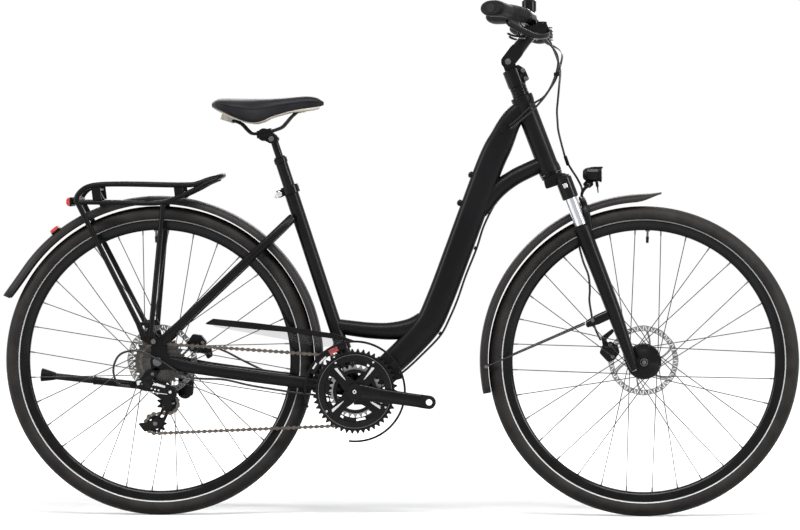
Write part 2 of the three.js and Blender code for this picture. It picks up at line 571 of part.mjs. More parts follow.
// Adds one named piece to a group.
function piece(group, name, shape, material) {
  const geometry = as_geometry(solid(shape));
  geometry.computeVertexNormals();
  const part = new THREE.Mesh(geometry, material);
  part.name = name;
  group.add(part);
}

// Wheels.

function wheel_rim(name, wheel, lean) {
  const hoop = turned(mirrored_section(rim_section), wheel_segments);
  const bed = rim_section[0][0];
  const angle = Math.PI / 2 - lean;
  const stem = rod(polar(bed + valve.bed, angle), polar(bed - valve.length, angle), valve.radius, 6);
  const cap = rod(
    polar(bed - valve.length + valve.cap_length, angle), polar(bed - valve.length, angle), valve.cap_radius, 6,
  );
  piece(wheel, name, joined(hoop, stem, cap), finish(0x1d1d1f, 0.4, 0.5));
}

const tyre_shape = () => turned(mirrored_section(tyre_section, [[tread_radius, 0]]), wheel_segments);

// Straight spokes run from alternate flanges, leading and trailing, and cross on the way to the rim.
function laced_spokes(hub, first) {
  return Array.from({ length: spoke.count }, (_, k) => {
    const rim_angle = -Math.PI / 2 + first + (turn * k) / spoke.count;
    const side = k % 2 === 0 ? left : right;
    const lead = k % 4 < 2 ? 1 : -1;
    const flange = side === left ? hub.flange_left : -hub.flange_right;
    const start = polar(spoke.hub_radius, rim_angle + lead * spoke.sweep, flange + lead * spoke.weave);
    const end = polar(spoke.end_radius, rim_angle, side * spoke.rim_offset + lead * spoke.rim_weave);
    return rod(start, end, spoke.radius, spoke.sides);
  });
}

// One flange of a hub as a step in its profile.
const flange_steps = (hub, y) => [
  [hub.shell_radius, y - hub.flange_half], [hub.flange_radius, y - hub.flange_half],
  [hub.flange_radius, y + hub.flange_half], [hub.shell_radius, y + hub.flange_half],
];

function front_hub_shape() {
  const hub = front_hub;
  const profile = [
    [hub.bore, -hub.half_length], [hub.end_radius, -hub.half_length], [hub.end_radius, -hub.flange_right - hub.end_radius],
    ...flange_steps(hub, -hub.flange_right), ...flange_steps(hub, hub.flange_left),
    [hub.boss_radius, hub.flange_left + hub.end_radius], [hub.boss_radius, hub.boss_left], [hub.bore, hub.boss_left],
    [hub.bore, stator.chamber_half], [stator.chamber_radius, stator.chamber_half],
    [stator.chamber_radius, -stator.chamber_half], [hub.bore, -stator.chamber_half],
  ];
  return joined(turned(profile, 12), laced_spokes(hub, spoke.first_front));
}

function rear_hub_shape() {
  const hub = rear_hub;
  const profile = [
    [hub.bore, -hub.right_end], [hub.end_radius, -hub.right_end], [hub.end_radius, -hub.flange_right - hub.flange_half],
    ...flange_steps(hub, -hub.flange_right).slice(1), ...flange_steps(hub, hub.flange_left),
    [hub.boss_radius, hub.boss_left], [hub.bore, hub.boss_left],
  ];
  return joined(turned(profile, 12), laced_spokes(hub, spoke.first_rear));
}

// A disc rotor: a brake track on swept arms round a small centre ring.
function rotor_shape(y) {
  const half = rotor.thickness / 2;
  const track = turned(ring_profile(rotor.track, rotor.radius, y - half, y + half), 24);
  const centre = turned(ring_profile(rotor.bore, rotor.hub_ring, y - half, y + half), 12);
  const arms = Array.from({ length: rotor.arms }, (_, k) => {
    const angle = (turn * k) / rotor.arms;
    const reach = rotor.arm_width / 2;
    const corner = (radius, swing) => [radius * Math.cos(angle + swing), radius * Math.sin(angle + swing)];
    const root = reach / rotor.hub_ring;
    const tip = reach / rotor.track;
    return plate([
      corner(rotor.arm_root, -root), corner(rotor.arm_tip, rotor.arm_sweep - tip),
      corner(rotor.arm_tip, rotor.arm_sweep + tip), corner(rotor.arm_root, root),
    ], y - half, y + half);
  });
  return joined(track, centre, arms);
}

// A through axle with its nuts outside the dropouts and its cones inside them.
function axle_shape(axle, extras) {
  const bar = rod(at(0, -axle.half_length, 0), at(0, axle.half_length, 0), axle.radius, 8);
  const nuts = both_sides.map((side) => rod(
    at(0, side * axle.nut_y, 0), at(0, side * (axle.nut_y + axle.nut_length), 0), axle.nut_radius, 6,
  ));
  return joined(bar, nuts, extras);
}

piece(front_wheel, "front_tyre", tyre_shape(), rubber_black());
wheel_rim("front_rim", front_wheel, valve.lean_front);
piece(front_wheel, "front_hub", front_hub_shape(), frame_black());
piece(front_wheel, "front_rotor", rotor_shape(front_hub.rotor_y), bright_steel());
piece(front_wheel, "front_axle", axle_shape(front_axle, [
  turned([[0, -stator.half_length], [stator.radius, -stator.half_length], [stator.radius, stator.half_length],
    [0, stator.half_length]], 10),
  rod(at(0, -front_axle.cone_right, 0), at(0, -front_axle.cone_end, 0), front_axle.cone_radius, 8),
  rod(at(0, front_axle.cone_left, 0), at(0, front_axle.cone_end, 0), front_axle.cone_radius, 8),
]), dark_steel());

piece(rear_wheel, "rear_tyre", tyre_shape(), rubber_black());
wheel_rim("rear_rim", rear_wheel, valve.lean_rear);
piece(rear_wheel, "rear_hub", rear_hub_shape(), frame_black());
piece(rear_wheel, "rear_rotor", rotor_shape(rear_hub.rotor_y), bright_steel());
piece(rear_wheel, "rear_axle", axle_shape(rear_axle, [
  rod(at(0, rear_axle.cone_left, 0), at(0, rear_axle.cone_end, 0), rear_axle.cone_radius, 8),
]), dark_steel());

// Chain drive.

const pitch_radius = (teeth) => pitch / (2 * Math.sin(Math.PI / teeth));

// The outline of a toothed wheel, as [x, z] corners about its centre.
function toothed_outline(teeth) {
  const radius = pitch_radius(teeth);
  return Array.from({ length: teeth }, (_, k) => {
    const middle = (turn * k) / teeth;
    return tooth.flank_shares.map(([share, rise]) => {
      const angle = middle + (turn * share) / teeth;
      return [(radius + rise) * Math.cos(angle), (radius + rise) * Math.sin(angle)];
    });
  }).flat();
}

// A toothed plate centred on y, with a round hole where it has one.
const toothed_plate = (teeth, y, half, ...holes) => plate(
  toothed_outline(teeth), y - half, y + half, holes.map((hole) => circle(hole, 12)),
);

function cassette_shape() {
  const carrier = cross_bar([0, 0], cassette.outer_end, cassette.inner_end, cassette.carrier_radius, 12);
  const cogs = cassette.teeth.map((teeth, k) => toothed_plate(
    teeth, cassette.first_y - k * cassette.spacing, cassette.half_thickness,
  ));
  return cut(joined(carrier, cogs), cross_bar([0, 0], 2 * cassette.outer_end, 0, cassette.bore, 12));
}

piece(rear_wheel, "cassette", cassette_shape(), dark_steel());

// A crank arm with a round end at the axle and a smaller one at the pedal eye.
function crank_arm_shape(side, direction) {
  const arc = (centre_x_share, radius, from) => Array.from({ length: 7 }, (_, k) => {
    const angle = from + (Math.PI * k) / 6;
    return [centre_x_share * crank_arm.length + radius * Math.cos(angle), radius * Math.sin(angle)];
  });
  const outline = [...arc(1, crank_arm.tip_radius, -Math.PI / 2), ...arc(0, crank_arm.root_radius, Math.PI / 2)];
  const arm = plate(outline, side * crank_arm.inner, side * crank_arm.outer, [
    circle(crank_arm.eye_radius, 12, crank_arm.length, 0),
  ]);
  return arm.rotateY(-direction);
}

function crankset_shape() {
  const arm = crank_arm_shape(right, -crank_arm.droop);
  const boss = cross_bar([0, 0], spider.inner, -crank_arm.boss_outer, crank_arm.boss_radius, 12);
  const hub = cross_bar([0, 0], spider.inner, -crank_arm.inner - running_gap, spider.hub_radius, 12);
  const cap = cross_bar([0, 0], -crank_arm.outer, -crank_arm.cap_outer, crank_arm.cap_radius, 12);
  const axle = cross_bar([0, 0], -crank_arm.inner, crank_axle.end_y, crank_axle.radius, 8);
  const arms = Array.from({ length: spider.arms }, (_, k) => {
    const angle = -crank_arm.droop + Math.PI / 4 + (turn * k) / spider.arms;
    const half = spider.arm_width / 2;
    const spoke_arm = plate(
      [[0, -half * spider.root_share], [spider.tip_radius, -half], [spider.tip_radius, half], [0, half * spider.root_share]],
      spider.inner, spider.outer,
    );
    return spoke_arm.rotateY(-angle);
  });
  const disc = turned(ring_profile(spider.disc_inner, spider.disc_outer, spider.inner, spider.disc_face), 16);
  const rings = chainrings.teeth.map((teeth, k) => toothed_plate(
    teeth, chainrings.y[k], chainrings.half_thickness, chainrings.hole,
  ));
  const drum = turned(ring_profile(spider.drum_inner, spider.drum_outer, spider.outer, spider.drum_end), 16);
  return joined(arm, boss, hub, cap, axle, arms, disc, rings, drum);
}

function left_crank_shape() {
  const arm = crank_arm_shape(left, Math.PI - crank_arm.droop);
  const boss = cross_bar([0, 0], crank_arm.inner, crank_arm.boss_outer, crank_arm.boss_radius, 16);
  return cut(joined(arm, boss), cross_bar([0, 0], 0, crank_arm.cap_outer * 2, crank_axle.radius + seat_gap, 16));
}

piece(crank, "crankset", crankset_shape(), finish(0x1a1a1b, 0.35, 0.5));
piece(crank, "crank_left", left_crank_shape(), finish(0x1a1a1b, 0.35, 0.5));

// A small toothed pulley with a wide hub, at a point of the side view.
function pulley_shape(place) {
  const wheel = toothed_plate(chain.pulley_teeth, pulley.y, pulley.half_thickness);
  const hub = cross_bar([0, 0], pulley.y - pulley.hub_half, pulley.y + pulley.hub_half, pulley.hub_radius, 8);
  const body = cut(joined(wheel, hub), cross_bar([0, 0], 2 * pulley.y, 0, pulley.bore, 8));
  return moved(as_geometry(body), place[0], 0, place[1]);
}

piece(frame, "guide_pulley", pulley_shape(pulley.guide), plastic_black());
piece(frame, "tension_pulley", pulley_shape(pulley.tension), plastic_black());

// The chain runs over the cog and the middle ring, back under the tension pulley and up round the guide pulley.
const chain_wheels = [
  { place: [0, axle_height], radius: pitch_radius(chain.cog_teeth), sense: 1 },
  { place: [bracket_run, bracket_height], radius: pitch_radius(chain.ring_teeth), sense: 1 },
  { place: pulley.tension, radius: pitch_radius(chain.pulley_teeth), sense: 1 },
  { place: pulley.guide, radius: pitch_radius(chain.pulley_teeth), sense: -1 },
].map((wheel) => ({ ...wheel, centre: new THREE.Vector2(...wheel.place) }));

// The straight stretch that leaves one wheel and meets the next.
function chain_stretch(one, two) {
  const run = two.centre.clone().sub(one.centre);
  const reach = run.length();
  const cosine = (one.sense * one.radius - two.sense * two.radius) / reach;
  const along = run.clone().divideScalar(reach);
  const beside = new THREE.Vector2(-along.y, along.x);
  const normal = along.clone().multiplyScalar(cosine).addScaledVector(beside, Math.sqrt(1 - cosine * cosine));
  return {
    from: one.centre.clone().addScaledVector(normal, one.sense * one.radius),
    to: two.centre.clone().addScaledVector(normal, two.sense * two.radius),
  };
}

// An outline a set distance to each side of a line of points.
function ribbon(points, half_heights) {
  const normals = points.map((point, i) => {
    const before = points[Math.max(0, i - 1)];
    const after = points[Math.min(points.length - 1, i + 1)];
    const along = after.clone().sub(before).normalize();
    return new THREE.Vector2(-along.y, along.x);
  });
  const edge = (sign) => points.map((point, i) => point.clone()
    .addScaledVector(normals[i], sign * half_heights[i % half_heights.length]).toArray());
  return [...edge(1), ...edge(-1).reverse()];
}

function chain_shape() {
  const stretches = chain_wheels.map((wheel, k) => chain_stretch(wheel, chain_wheels[(k + 1) % chain_wheels.length]));
  const spread = (from, to, count) => Array.from({ length: count + 1 }, (_, i) => from.clone().lerp(to, i / count));
  const parts = [];
  chain_wheels.forEach((wheel, k) => {
    const leaving = stretches[k];
    const arriving = stretches[(k + chain_wheels.length - 1) % chain_wheels.length];
    const tip = wheel.radius + tooth.tip;
    const keep_off = Math.sqrt(tip * tip - (wheel.radius - chain.tall) ** 2) + running_gap;
    const start = arriving.to.clone().sub(wheel.centre).angle();
    const end = leaving.from.clone().sub(wheel.centre).angle();
    const sweep = wheel.sense * ((wheel.sense * (start - end) + 2 * turn) % turn);
    const count = Math.ceil(Math.abs(sweep) / chain.arc_step);
    const arc = Array.from({ length: count + 1 }, (_, i) => {
      const angle = start - (sweep * i) / count;
      return wheel.centre.clone().add(new THREE.Vector2(Math.cos(angle), Math.sin(angle)).multiplyScalar(wheel.radius));
    });
    const lead = (stretch, from, to) => from.clone().lerp(to, Math.min(1, (keep_off + pitch / 2) / stretch.from.distanceTo(stretch.to)));
    const route = [lead(arriving, arriving.to, arriving.from), ...arc, lead(leaving, leaving.from, leaving.to)];
    const outline = ribbon(route, [chain.plate_half]);
    parts.push(plate(outline, chain.y + chain.slot_half, chain.y + chain.half_width));
    parts.push(plate(outline, chain.y - chain.slot_half, chain.y - chain.half_width));
    wheel.keep_off = keep_off;
  });
  chain_wheels.forEach((wheel, k) => {
    const next = chain_wheels[(k + 1) % chain_wheels.length];
    const { from, to } = stretches[k];
    const length = from.distanceTo(to);
    const free = length - wheel.keep_off - next.keep_off;
    if (free < pitch) return;
    const start = from.clone().lerp(to, wheel.keep_off / length);
    const end = to.clone().lerp(from, next.keep_off / length);
    const links = Math.round(free / pitch);
    parts.push(plate(
      ribbon(spread(start, end, links), [chain.tall, chain.waist]), chain.y - chain.half_width, chain.y + chain.half_width,
    ));
  });
  return joined(parts);
}

piece(frame, "chain", chain_shape(), finish(0x6b625a, 0.4, 0.85));

// Frame tubes.

const head_tube_bar = (radius, from, to) => rod(
  steering_point(0, 0, from), steering_point(0, 0, to), radius, head_tube.sides,
);
const seat_tube_bar = (radius, from, to, sides = seat_tube.sides) => rod(seat_point(from), seat_point(to), radius, sides);
const shell_bar = (radius, reach) => cross_bar([bracket_run, bracket_height], -reach, reach, radius, 16);

function main_tube_body(grow) {
  const [run, rise] = [head_joint[0] - bracket_run, head_joint[1] - bracket_height];
  const points = main_tube_shares.map(([x_share, z_share]) => at(
    bracket_run + x_share * run, 0, bracket_height + z_share * rise,
  ));
  return swept(points, main_tube_sizes, {
    sides: main_tube_sides, steps: main_tube_steps, square: main_tube_square, grow,
  });
}

function main_tube_shape() {
  const gusset = swept(gusset_path.map((point) => on_side(point)), gusset_sizes, { sides: 8, steps: 6 });
  const head = head_tube_bar(head_tube.radius, head_tube.bottom, head_tube.top);
  const bosses = bottle_boss.at.map(([x, z, tip]) => {
    const out = at(-Math.cos(tip * degree), 0, Math.sin(tip * degree));
    const foot = at(x, 0, z);
    return rod(foot.clone().addScaledVector(out, -bottle_boss.sink), foot.clone().addScaledVector(out, bottle_boss.height), bottle_boss.radius, 10);
  });
  const port = block(
    cable_port.width, cable_port.sink + cable_port.rise, cable_port.length,
    on_side(cable_port.at, cable_port.y), -cable_port.lean,
  );
  return cut(
    joined(main_tube_body(0), gusset, head, bosses, port),
    head_tube_bar(head_tube.bore, head_tube.bottom - head_tube.bore, head_tube.top + head_tube.bore),
    head_tube_bar(2 * head_tube.radius, head_tube.top, head_tube.top + 2 * head_tube.radius),
    shell_bar(shell.radius + seat_gap, 2 * shell.half),
  );
}

function seat_tube_shape() {
  const upright_tube = seat_tube_bar(seat_tube.radius, 0, seat_tube.top);
  const link = swept(cross_tube_path.map((point) => on_side(point)), cross_tube_sizes, { sides: 8, steps: 7 });
  return cut(
    joined(upright_tube, link, shell_bar(shell.radius, shell.half)),
    main_tube_body(seat_gap),
    seat_tube_bar(seat_tube.bore, seat_tube.bore_floor, 2 * seat_tube.top, 16),
    shell_bar(shell.bore, 2 * shell.half),
  );
}

// One side's chain stay, seat stay and dropout plate, grown by a little where another piece is fitted to them.
function stay_bodies(side, grow = 0) {
  const placed = (path) => path.map(([x, y, z]) => at(x, side * y, z));
  return joined(
    swept(placed(chain_stay_path), chain_stay_sizes, { sides: 6, steps: 12, grow }),
    swept(placed(seat_stay_path), seat_stay_sizes, { sides: 6, steps: 9, grow }),
    plate(dropout.outline, side * (dropout.inner - grow), side * (dropout.outer + grow)),
  );
}

function rear_stays_shape(side) {
  const axle_hole = cross_bar([0, axle_height], -2 * dropout.outer, 2 * dropout.outer, dropout.hole, 12);
  const inside = plate(dropout.clear, -dropout.inner, dropout.inner);
  const body = cut(stay_bodies(side), inside, axle_hole, seat_tube_bar(seat_tube.radius + seat_gap, 0, seat_tube.top),
    shell_bar(shell.radius + seat_gap, 2 * shell.half));
  if (side === left) return body;
  return joined(body, cross_bar(dropout.hanger_at, -dropout.inner, -dropout.outer, dropout.hanger_radius, 12));
}

piece(frame, "main_tube", main_tube_shape(), frame_black());
piece(frame, "seat_tube", seat_tube_shape(), frame_black());
piece(frame, "rear_stays_right", rear_stays_shape(right), frame_black());
piece(frame, "rear_stays_left", rear_stays_shape(left), frame_black());

// Mudguards: a thin curved shell swept round an axle, with a tip that flares out.

function guard_shape(crown, start, end, flares) {
  const outer = [...guard.section, ...guard.section.map(([y, drop]) => [-y, drop]).reverse()];
  const wall = outer.map(([y, drop]) => [y * (1 - guard.wall / guard.half_width), drop + guard.wall]).reverse();
  wall[0][1] = outer[outer.length - 1][1];
  wall[wall.length - 1][1] = outer[0][1];
  return skin(Array.from({ length: guard.steps + 1 }, (_, k) => {
    const share = k / guard.steps;
    const angle = start + (end - start) * share;
    const flare = flares.reduce((sum, [from, to, rise]) => (
      sum + rise * Math.max(0, (share - from) / (to - from)) ** 2), 0);
    return [...outer, ...wall].map(([y, drop]) => polar(crown + flare - drop, angle, y));
  }));
}

function rear_guard_shape() {
  return guard_shape(guard.rear_crown, guard.rear_start, guard.rear_end, [[guard.rear_flare_from, 1, guard.rear_flare]]);
}

// The front mudguard carries its bridge to the fork arch and one wire stay on each side.
function front_guard_shape() {
  const shell_body = guard_shape(guard.crown, guard.front_start, guard.front_end, [[guard.front_flare_to, 0, guard.front_flare]]);
  const wires = both_sides.map((side) => {
    const eye = at(guard_stay.eye[0], side * guard_stay.eye_y, guard_stay.eye[1]);
    const edge = polar(guard_stay.edge_radius, guard_stay.edge_angle, side * guard_stay.edge_y);
    return rod(eye, edge, guard_stay.radius, 6);
  });
  return joined(shell_body, wires);
}

piece(front_wheel, "front_mudguard", front_guard_shape(), satin_black());
piece(rear_wheel, "rear_mudguard", rear_guard_shape(), satin_black());

function reflector_shape() {
  const middle = polar(guard.rear_crown + guard.lift + reflector.rise / 2, reflector.angle);
  return block(reflector.length, 2 * reflector.half_width, reflector.rise, middle, reflector.angle - Math.PI / 2);
}

piece(rear_wheel, "rear_reflector", reflector_shape(), clear_red());

// Seat post, saddle and their clamps: z runs up the seat tube here.

const post_bar = (radius, from, to, sides = 16) => rod(at(0, 0, from), at(0, 0, to), radius, sides);

function seat_clamp_shape() {
  const top = seat_clamp.bottom + seat_clamp.height;
  const band = post_bar(seat_clamp.outer, seat_clamp.bottom, top + seat_clamp.lip);
  const middle = (seat_clamp.bottom + top) / 2;
  const ears = block(
    seat_clamp.ear, seat_clamp.ear_width, seat_clamp.height, at(-seat_clamp.outer - seat_clamp.ear / 4, 0, middle),
  );
  const stud = cross_bar(seat_clamp.stud, seat_clamp.slot, seat_clamp.stud_end, seat_clamp.stud_radius, 8);
  const slot = block(
    2 * seat_clamp.outer, seat_clamp.slot, 2 * seat_clamp.height, at(-seat_clamp.outer - seat_clamp.inner / 2, 0, middle),
  );
  return cut(
    joined(band, ears, stud), post_bar(seat_clamp.inner, 0, top), post_bar(seat_clamp.lip_bore, 0, 2 * top), slot,
  );
}

// The lever lies along the left of the clamp and ends in a round nut behind it.
function clamp_lever_shape() {
  const pivot = at(-clamp_lever.reach, clamp_lever.y, clamp_lever.lift);
  const head = rod(
    at(pivot.x, clamp_lever.head_y, pivot.z - clamp_lever.head_half),
    at(pivot.x, clamp_lever.head_y, pivot.z + clamp_lever.head_half), clamp_lever.head_radius, 12,
  );
  const arm = skin([0, 0.35, 1].map((share) => rounded_ring(
    at(pivot.x + share * clamp_lever.length, clamp_lever.y + share * clamp_lever.bow, pivot.z + share * clamp_lever.rise),
    across, upright, clamp_lever.thickness, clamp_lever.width * (1 + share * clamp_lever.flare_share), 8, 3,
  )));
  return joined(head, arm);
}

function seatpost_shape() {
  const tubes = joined(
    post_bar(seatpost.radius, seatpost.bottom, seatpost.top),
    post_bar(seatpost.collar_radius, seatpost.top - seatpost.collar, seatpost.top),
  );
  return cut(tubes, post_bar(seatpost.bore, seatpost.bore_floor, 2 * seatpost.top, 12));
}

function seat_rod_shape() {
  const head = rod(
    at(0, -seat_rod.head_half, seat_rod.top), at(0, seat_rod.head_half, seat_rod.top), seat_rod.head_radius, 12,
  );
  return joined(post_bar(seat_rod.radius, seat_rod.bottom, seat_rod.top, 12), head);
}

piece(seat, "seat_clamp", seat_clamp_shape(), frame_black());
piece(seat, "seat_clamp_lever", clamp_lever_shape(), bright_steel());
piece(seat, "seatpost", seatpost_shape(), frame_black());
piece(seat, "seatpost_rod", seat_rod_shape(), frame_black());

// The saddle is drawn from its side outline and its half width seen from above.
const read_outline = (outline, x) => blended(outline, x)[0];

function saddle_cover_shape() {
  const rings = saddle_stations.map((x) => {
    const [top, low, half] = [saddle_top, saddle_low, saddle_half_width].map((outline) => read_outline(outline, x));
    const edge = low + (top - low) * saddle.edge_share;
    const over = saddle_crown.map(([y_share, z_share]) => [y_share * half, edge + (top - edge) * z_share]);
    const under = saddle_skirt.map(([y_share, z_share]) => [y_share * half, low + (edge - low) * z_share]);
    const one_side = [...over, ...under];
    const other_side = one_side.slice(1, -1).reverse().map(([y, z]) => [-y, z]);
    return [...one_side, ...other_side].map(([y, z]) => at(x, y, z));
  });
  return skin(rings);
}

function saddle_base_shape() {
  const rings = saddle_base.stations.map(([x, drop]) => {
    const [low, half] = [saddle_low, saddle_half_width].map((outline) => read_outline(outline, x));
    const reach = half * saddle_base.width_share;
    return [[reach, low - seat_gap], [-reach, low - seat_gap], [-reach * saddle_base.foot_share, low - drop],
      [reach * saddle_base.foot_share, low - drop]].map(([y, z]) => at(x, y, z));
  });
  return skin(rings);
}

// Two wire rails drawn together at the nose, held by a clamp of an upper and a lower jaw.
function saddle_rails_shape() {
  const wires = both_sides.map((side) => tube(rail.path.map(([x, z, half]) => [x, side * half, z]), rail.radius, 6, 10));
  const ends = rail.bridges.map(([x, z, half]) => block(rail.bridge_length, 2 * half, rail.bridge_height, at(x, 0, z)));
  const jaw = block(saddle_clamp.length, 2 * saddle_clamp.half_width, saddle_clamp.height, on_side(saddle_clamp.at), saddle_clamp.tip);
  const cheeks = both_sides.map((side) => plate(saddle_clamp.cheek, side * saddle_clamp.cheek_in, side * saddle_clamp.cheek_out));
  return joined(wires, ends, jaw, cheeks);
}

piece(frame, "saddle_cover", saddle_cover_shape(), finish(0x151516, 0.6, 0));
piece(frame, "saddle_base", saddle_base_shape(), finish(0xc9bfae, 0.6, 0));
piece(frame, "saddle_rails", cut(saddle_rails_shape(), rod(
  seat_point(seat_rod.top).setY(-seat_rod.head_half - seat_gap), seat_point(seat_rod.top).setY(seat_rod.head_half + seat_gap),
  seat_rod.head_radius + running_gap, 12,
), rod(seat_point(seat_rod.bottom), seat_point(seat_rod.top), seat_rod.head_radius + running_gap, 12)), frame_black());

// Rack, lamps and chain guard.

function rack_shape() {
  const sides = both_sides.map((side) => {
    const rail_tube = (line, steps) => tube(line.map(([x, z]) => [x, side * rack.y, z]), rack.radius, rack.sides, steps);
    const leg = ([top, foot]) => rod(
      at(top[0], side * rack.y, top[1]), at(foot[0], side * rack.foot_y, foot[1]), rack.radius, rack.sides,
    );
    const posts = rack.posts.map(([x, z]) => block(rack.post_length, rack.post_width, rack.post_height, at(x, side * rack.y, z)));
    const foot = plate(rack.foot.outline, side * rack.foot.inner, side * rack.foot.outer);
    const bolt = cross_bar(rack.foot_bolt.at, side * rack.foot_bolt.inner, side * rack.foot.outer, rack.foot_bolt.radius, 6);
    return [rail_tube(rack.upper, 7), rail_tube(rack.lower, 4), leg(rack.rear_leg), leg(rack.front_leg), posts, foot, bolt];
  });
  const bars = rack.cross.map((point) => cross_bar(point, -rack.y, rack.y, rack.cross_radius, 5));
  const lamp_plate = block(...rack.lamp_plate.size, on_side(rack.lamp_plate.at));
  const bracket = cut(block(...rack.guard_bracket.size, on_side(rack.guard_bracket.at)), moved(rear_guard_shape(), 0, 0, axle_height + seat_gap));
  return joined(sides.flat(2), bars, lamp_plate, bracket);
}

const tail_light_shape = () => plate(tail_light.outline, -tail_light.half_width, tail_light.half_width);

// A band between two radii about the crank axle.
function arc_band(inner, outer, start, end, y_one, y_two, steps) {
  const arc = (radius) => Array.from({ length: steps + 1 }, (_, k) => {
    const place = polar(radius, start + ((end - start) * k) / steps, 0, bracket_run, bracket_height);
    return [place.x, place.z];
  });
  return plate([...arc(outer), ...arc(inner).reverse()], y_one, y_two);
}

function chain_guard_shape() {
  const g = chain_guard;
  const hoop = arc_band(g.inner, g.outer, g.hoop_start, g.hoop_end, g.y_inner, g.y_outer, g.hoop_steps);
  const bar_body = plate(g.bar, g.y_inner, g.y_outer);
  const strip = plate(g.strip, g.strip_y_inner, g.strip_y_outer);
  const half = (radius) => g.arm_half / radius;
  const arm = arc_band(
    g.arm_ring_bore, g.post_outer, g.arm_angle - half(g.arm_ring), g.arm_angle + half(g.arm_ring), g.arm_y_inner, g.arm_y_outer, 1,
  );
  const post = arc_band(
    g.post_inner, g.post_outer, g.arm_angle - half(g.post_inner), g.arm_angle + half(g.post_inner), g.arm_y_inner, g.y_outer, 1,
  );
  const washer = turned(ring_profile(g.arm_ring_bore, g.arm_ring, g.arm_y_inner, g.arm_y_outer), 12);
  return joined(hoop, bar_body, strip, arm, post, moved(washer, bracket_run, 0, bracket_height));
}

piece(frame, "rear_rack", rack_shape(), frame_black());
piece(frame, "tail_light", tail_light_shape(), clear_red());
piece(frame, "chain_guard", chain_guard_shape(), plastic_black());

// Derailleurs.

function front_mech_shape() {
  const m = front_mech;
  const band = seat_tube_bar(m.clamp_outer, m.clamp_low, m.clamp_high, 12);
  const body = plate(m.body, m.body_inner, m.body_outer);
  const cage = [m.plate_inner, m.plate_outer].map(([one, two]) => arc_band(m.cage_inner, m.cage_outer, m.start, m.end, one, two, m.steps));
  const bridges = [[m.start, m.start + m.bridge], [m.end - m.bridge, m.end]].map(([from, to]) => arc_band(
    m.bridge_root, m.cage_outer, from, to, m.plate_inner[0], m.plate_outer[1], 1,
  ));
  return cut(joined(band, body, cage, bridges), seat_tube_bar(seat_tube.radius + seat_gap, 0, seat_tube.top));
}

function rear_mech_shape() {
  const m = rear_mech;
  const knuckle = swept(m.knuckle.map((point) => on_side(point, m.knuckle_y)), m.knuckle_sizes, { sides: 8, steps: 3, square: 3 });
  const body = plate(m.body, ...m.body_y);
  const pivot = cross_bar(pulley.guide, m.cage_y[0], m.body_y[1], m.pivot_radius, 10);
  const cage = [m.cage_y, m.cage_inner_y].map((range) => plate(m.cage, ...range));
  const tab = plate(m.tab, ...m.cage_y);
  const pins = [pulley.guide, pulley.tension].map((place) => cross_bar(place, m.cage_inner_y[0], m.cage_y[1], m.pin_radius, 8));
  return joined(knuckle, body, pivot, cage, tab, pins);
}

piece(frame, "front_derailleur", front_mech_shape(), satin_black());
piece(frame, "rear_derailleur", rear_mech_shape(), satin_black());

// Brake calipers: a body with a slot for the rotor.

function caliper_body(centre, tip, y) {
  const outline = caliper.body.map(([x, z]) => [
    centre[0] + x * Math.cos(tip) - z * Math.sin(tip), centre[1] + x * Math.sin(tip) + z * Math.cos(tip),
  ]);
  return plate(outline, y - caliper.half_inner, y + caliper.half_outer);
}

const rotor_slot = (axle_x, axle_z, y) => cross_bar(
  [axle_x, axle_z], y - caliper.slot_half, y + caliper.slot_half, caliper.slot_radius, 24,
);

function rear_caliper_shape() {
  const body = caliper_body(rear_caliper.at, rear_caliper.tip, rear_hub.rotor_y);
  const foot = plate(rear_caliper.foot, ...rear_caliper.foot_y);
  return cut(joined(body, foot), rotor_slot(0, axle_height, rear_hub.rotor_y), stay_bodies(left, seat_gap));
}

piece(frame, "rear_caliper", rear_caliper_shape(), satin_black());

// Kickstand: its hinge line leans, so that the leg swings down, forwards and out.

const stowed = at(...kickstand.stowed).normalize();
const deployed = at(...kickstand.deployed).normalize();
const hinge_line = new THREE.Vector3().crossVectors(deployed, stowed).normalize();
const stand_place = new THREE.Matrix4().makeBasis(
  stowed.clone().negate(), hinge_line, new THREE.Vector3().crossVectors(stowed.clone().negate(), hinge_line),
).setPosition(on_side(kickstand.pivot, kickstand.y));
const stand = new THREE.Group();
stand_place.decompose(stand.position, stand.quaternion, stand.scale);
frame.add(stand);

function stand_bracket_shape() {
  const k = kickstand;
  const cheeks = k.cheeks.map(([one, two, radius]) => cross_bar([0, 0], one, two, radius, 12));
  const pin = cross_bar([0, 0], k.cheeks[0][0], k.cheeks[1][1], k.pin_radius, 8);
  const bridge = plate(k.bridge, k.cheeks[0][0], k.cheeks[1][1]);
  const hinge = as_geometry(joined(cheeks, pin, bridge)).applyMatrix4(stand_place);
  const mount = plate(k.mount, ...k.mount_y);
  return cut(joined(hinge, mount), stay_bodies(left, seat_gap));
}

function stand_leg_shape() {
  const k = kickstand;
  const boss = cross_bar([0, 0], -k.hinge_half, k.hinge_half, k.hinge_radius, 12);
  const neck = block(k.neck_length, 2 * k.hinge_half, 2 * k.neck_half, on_side([-k.neck_length / 2, 0]));
  const upper = rod(at(-k.upper_start, 0, 0), at(-k.upper_length, 0, 0), k.upper_radius, 10);
  return cut(
    joined(boss, neck, upper), cross_bar([0, 0], -k.upper_radius * 2, k.upper_radius * 2, k.pin_radius + k.bore_gap, 8),
    rod(at(-k.lower_start, 0, 0), at(-k.length, 0, 0), k.lower_radius + k.bore_gap, 8),
  );
}

function stand_lower_shape() {
  const k = kickstand;
  const leg = rod(at(-k.lower_start - running_gap, 0, 0), at(-k.length, 0, 0), k.lower_radius, 8);
  const foot = rod(at(-k.length + k.foot_length, 0, 0), at(-k.length - k.foot_tip, 0, 0), k.foot_root, 8, k.foot_radius);
  return joined(leg, foot);
}

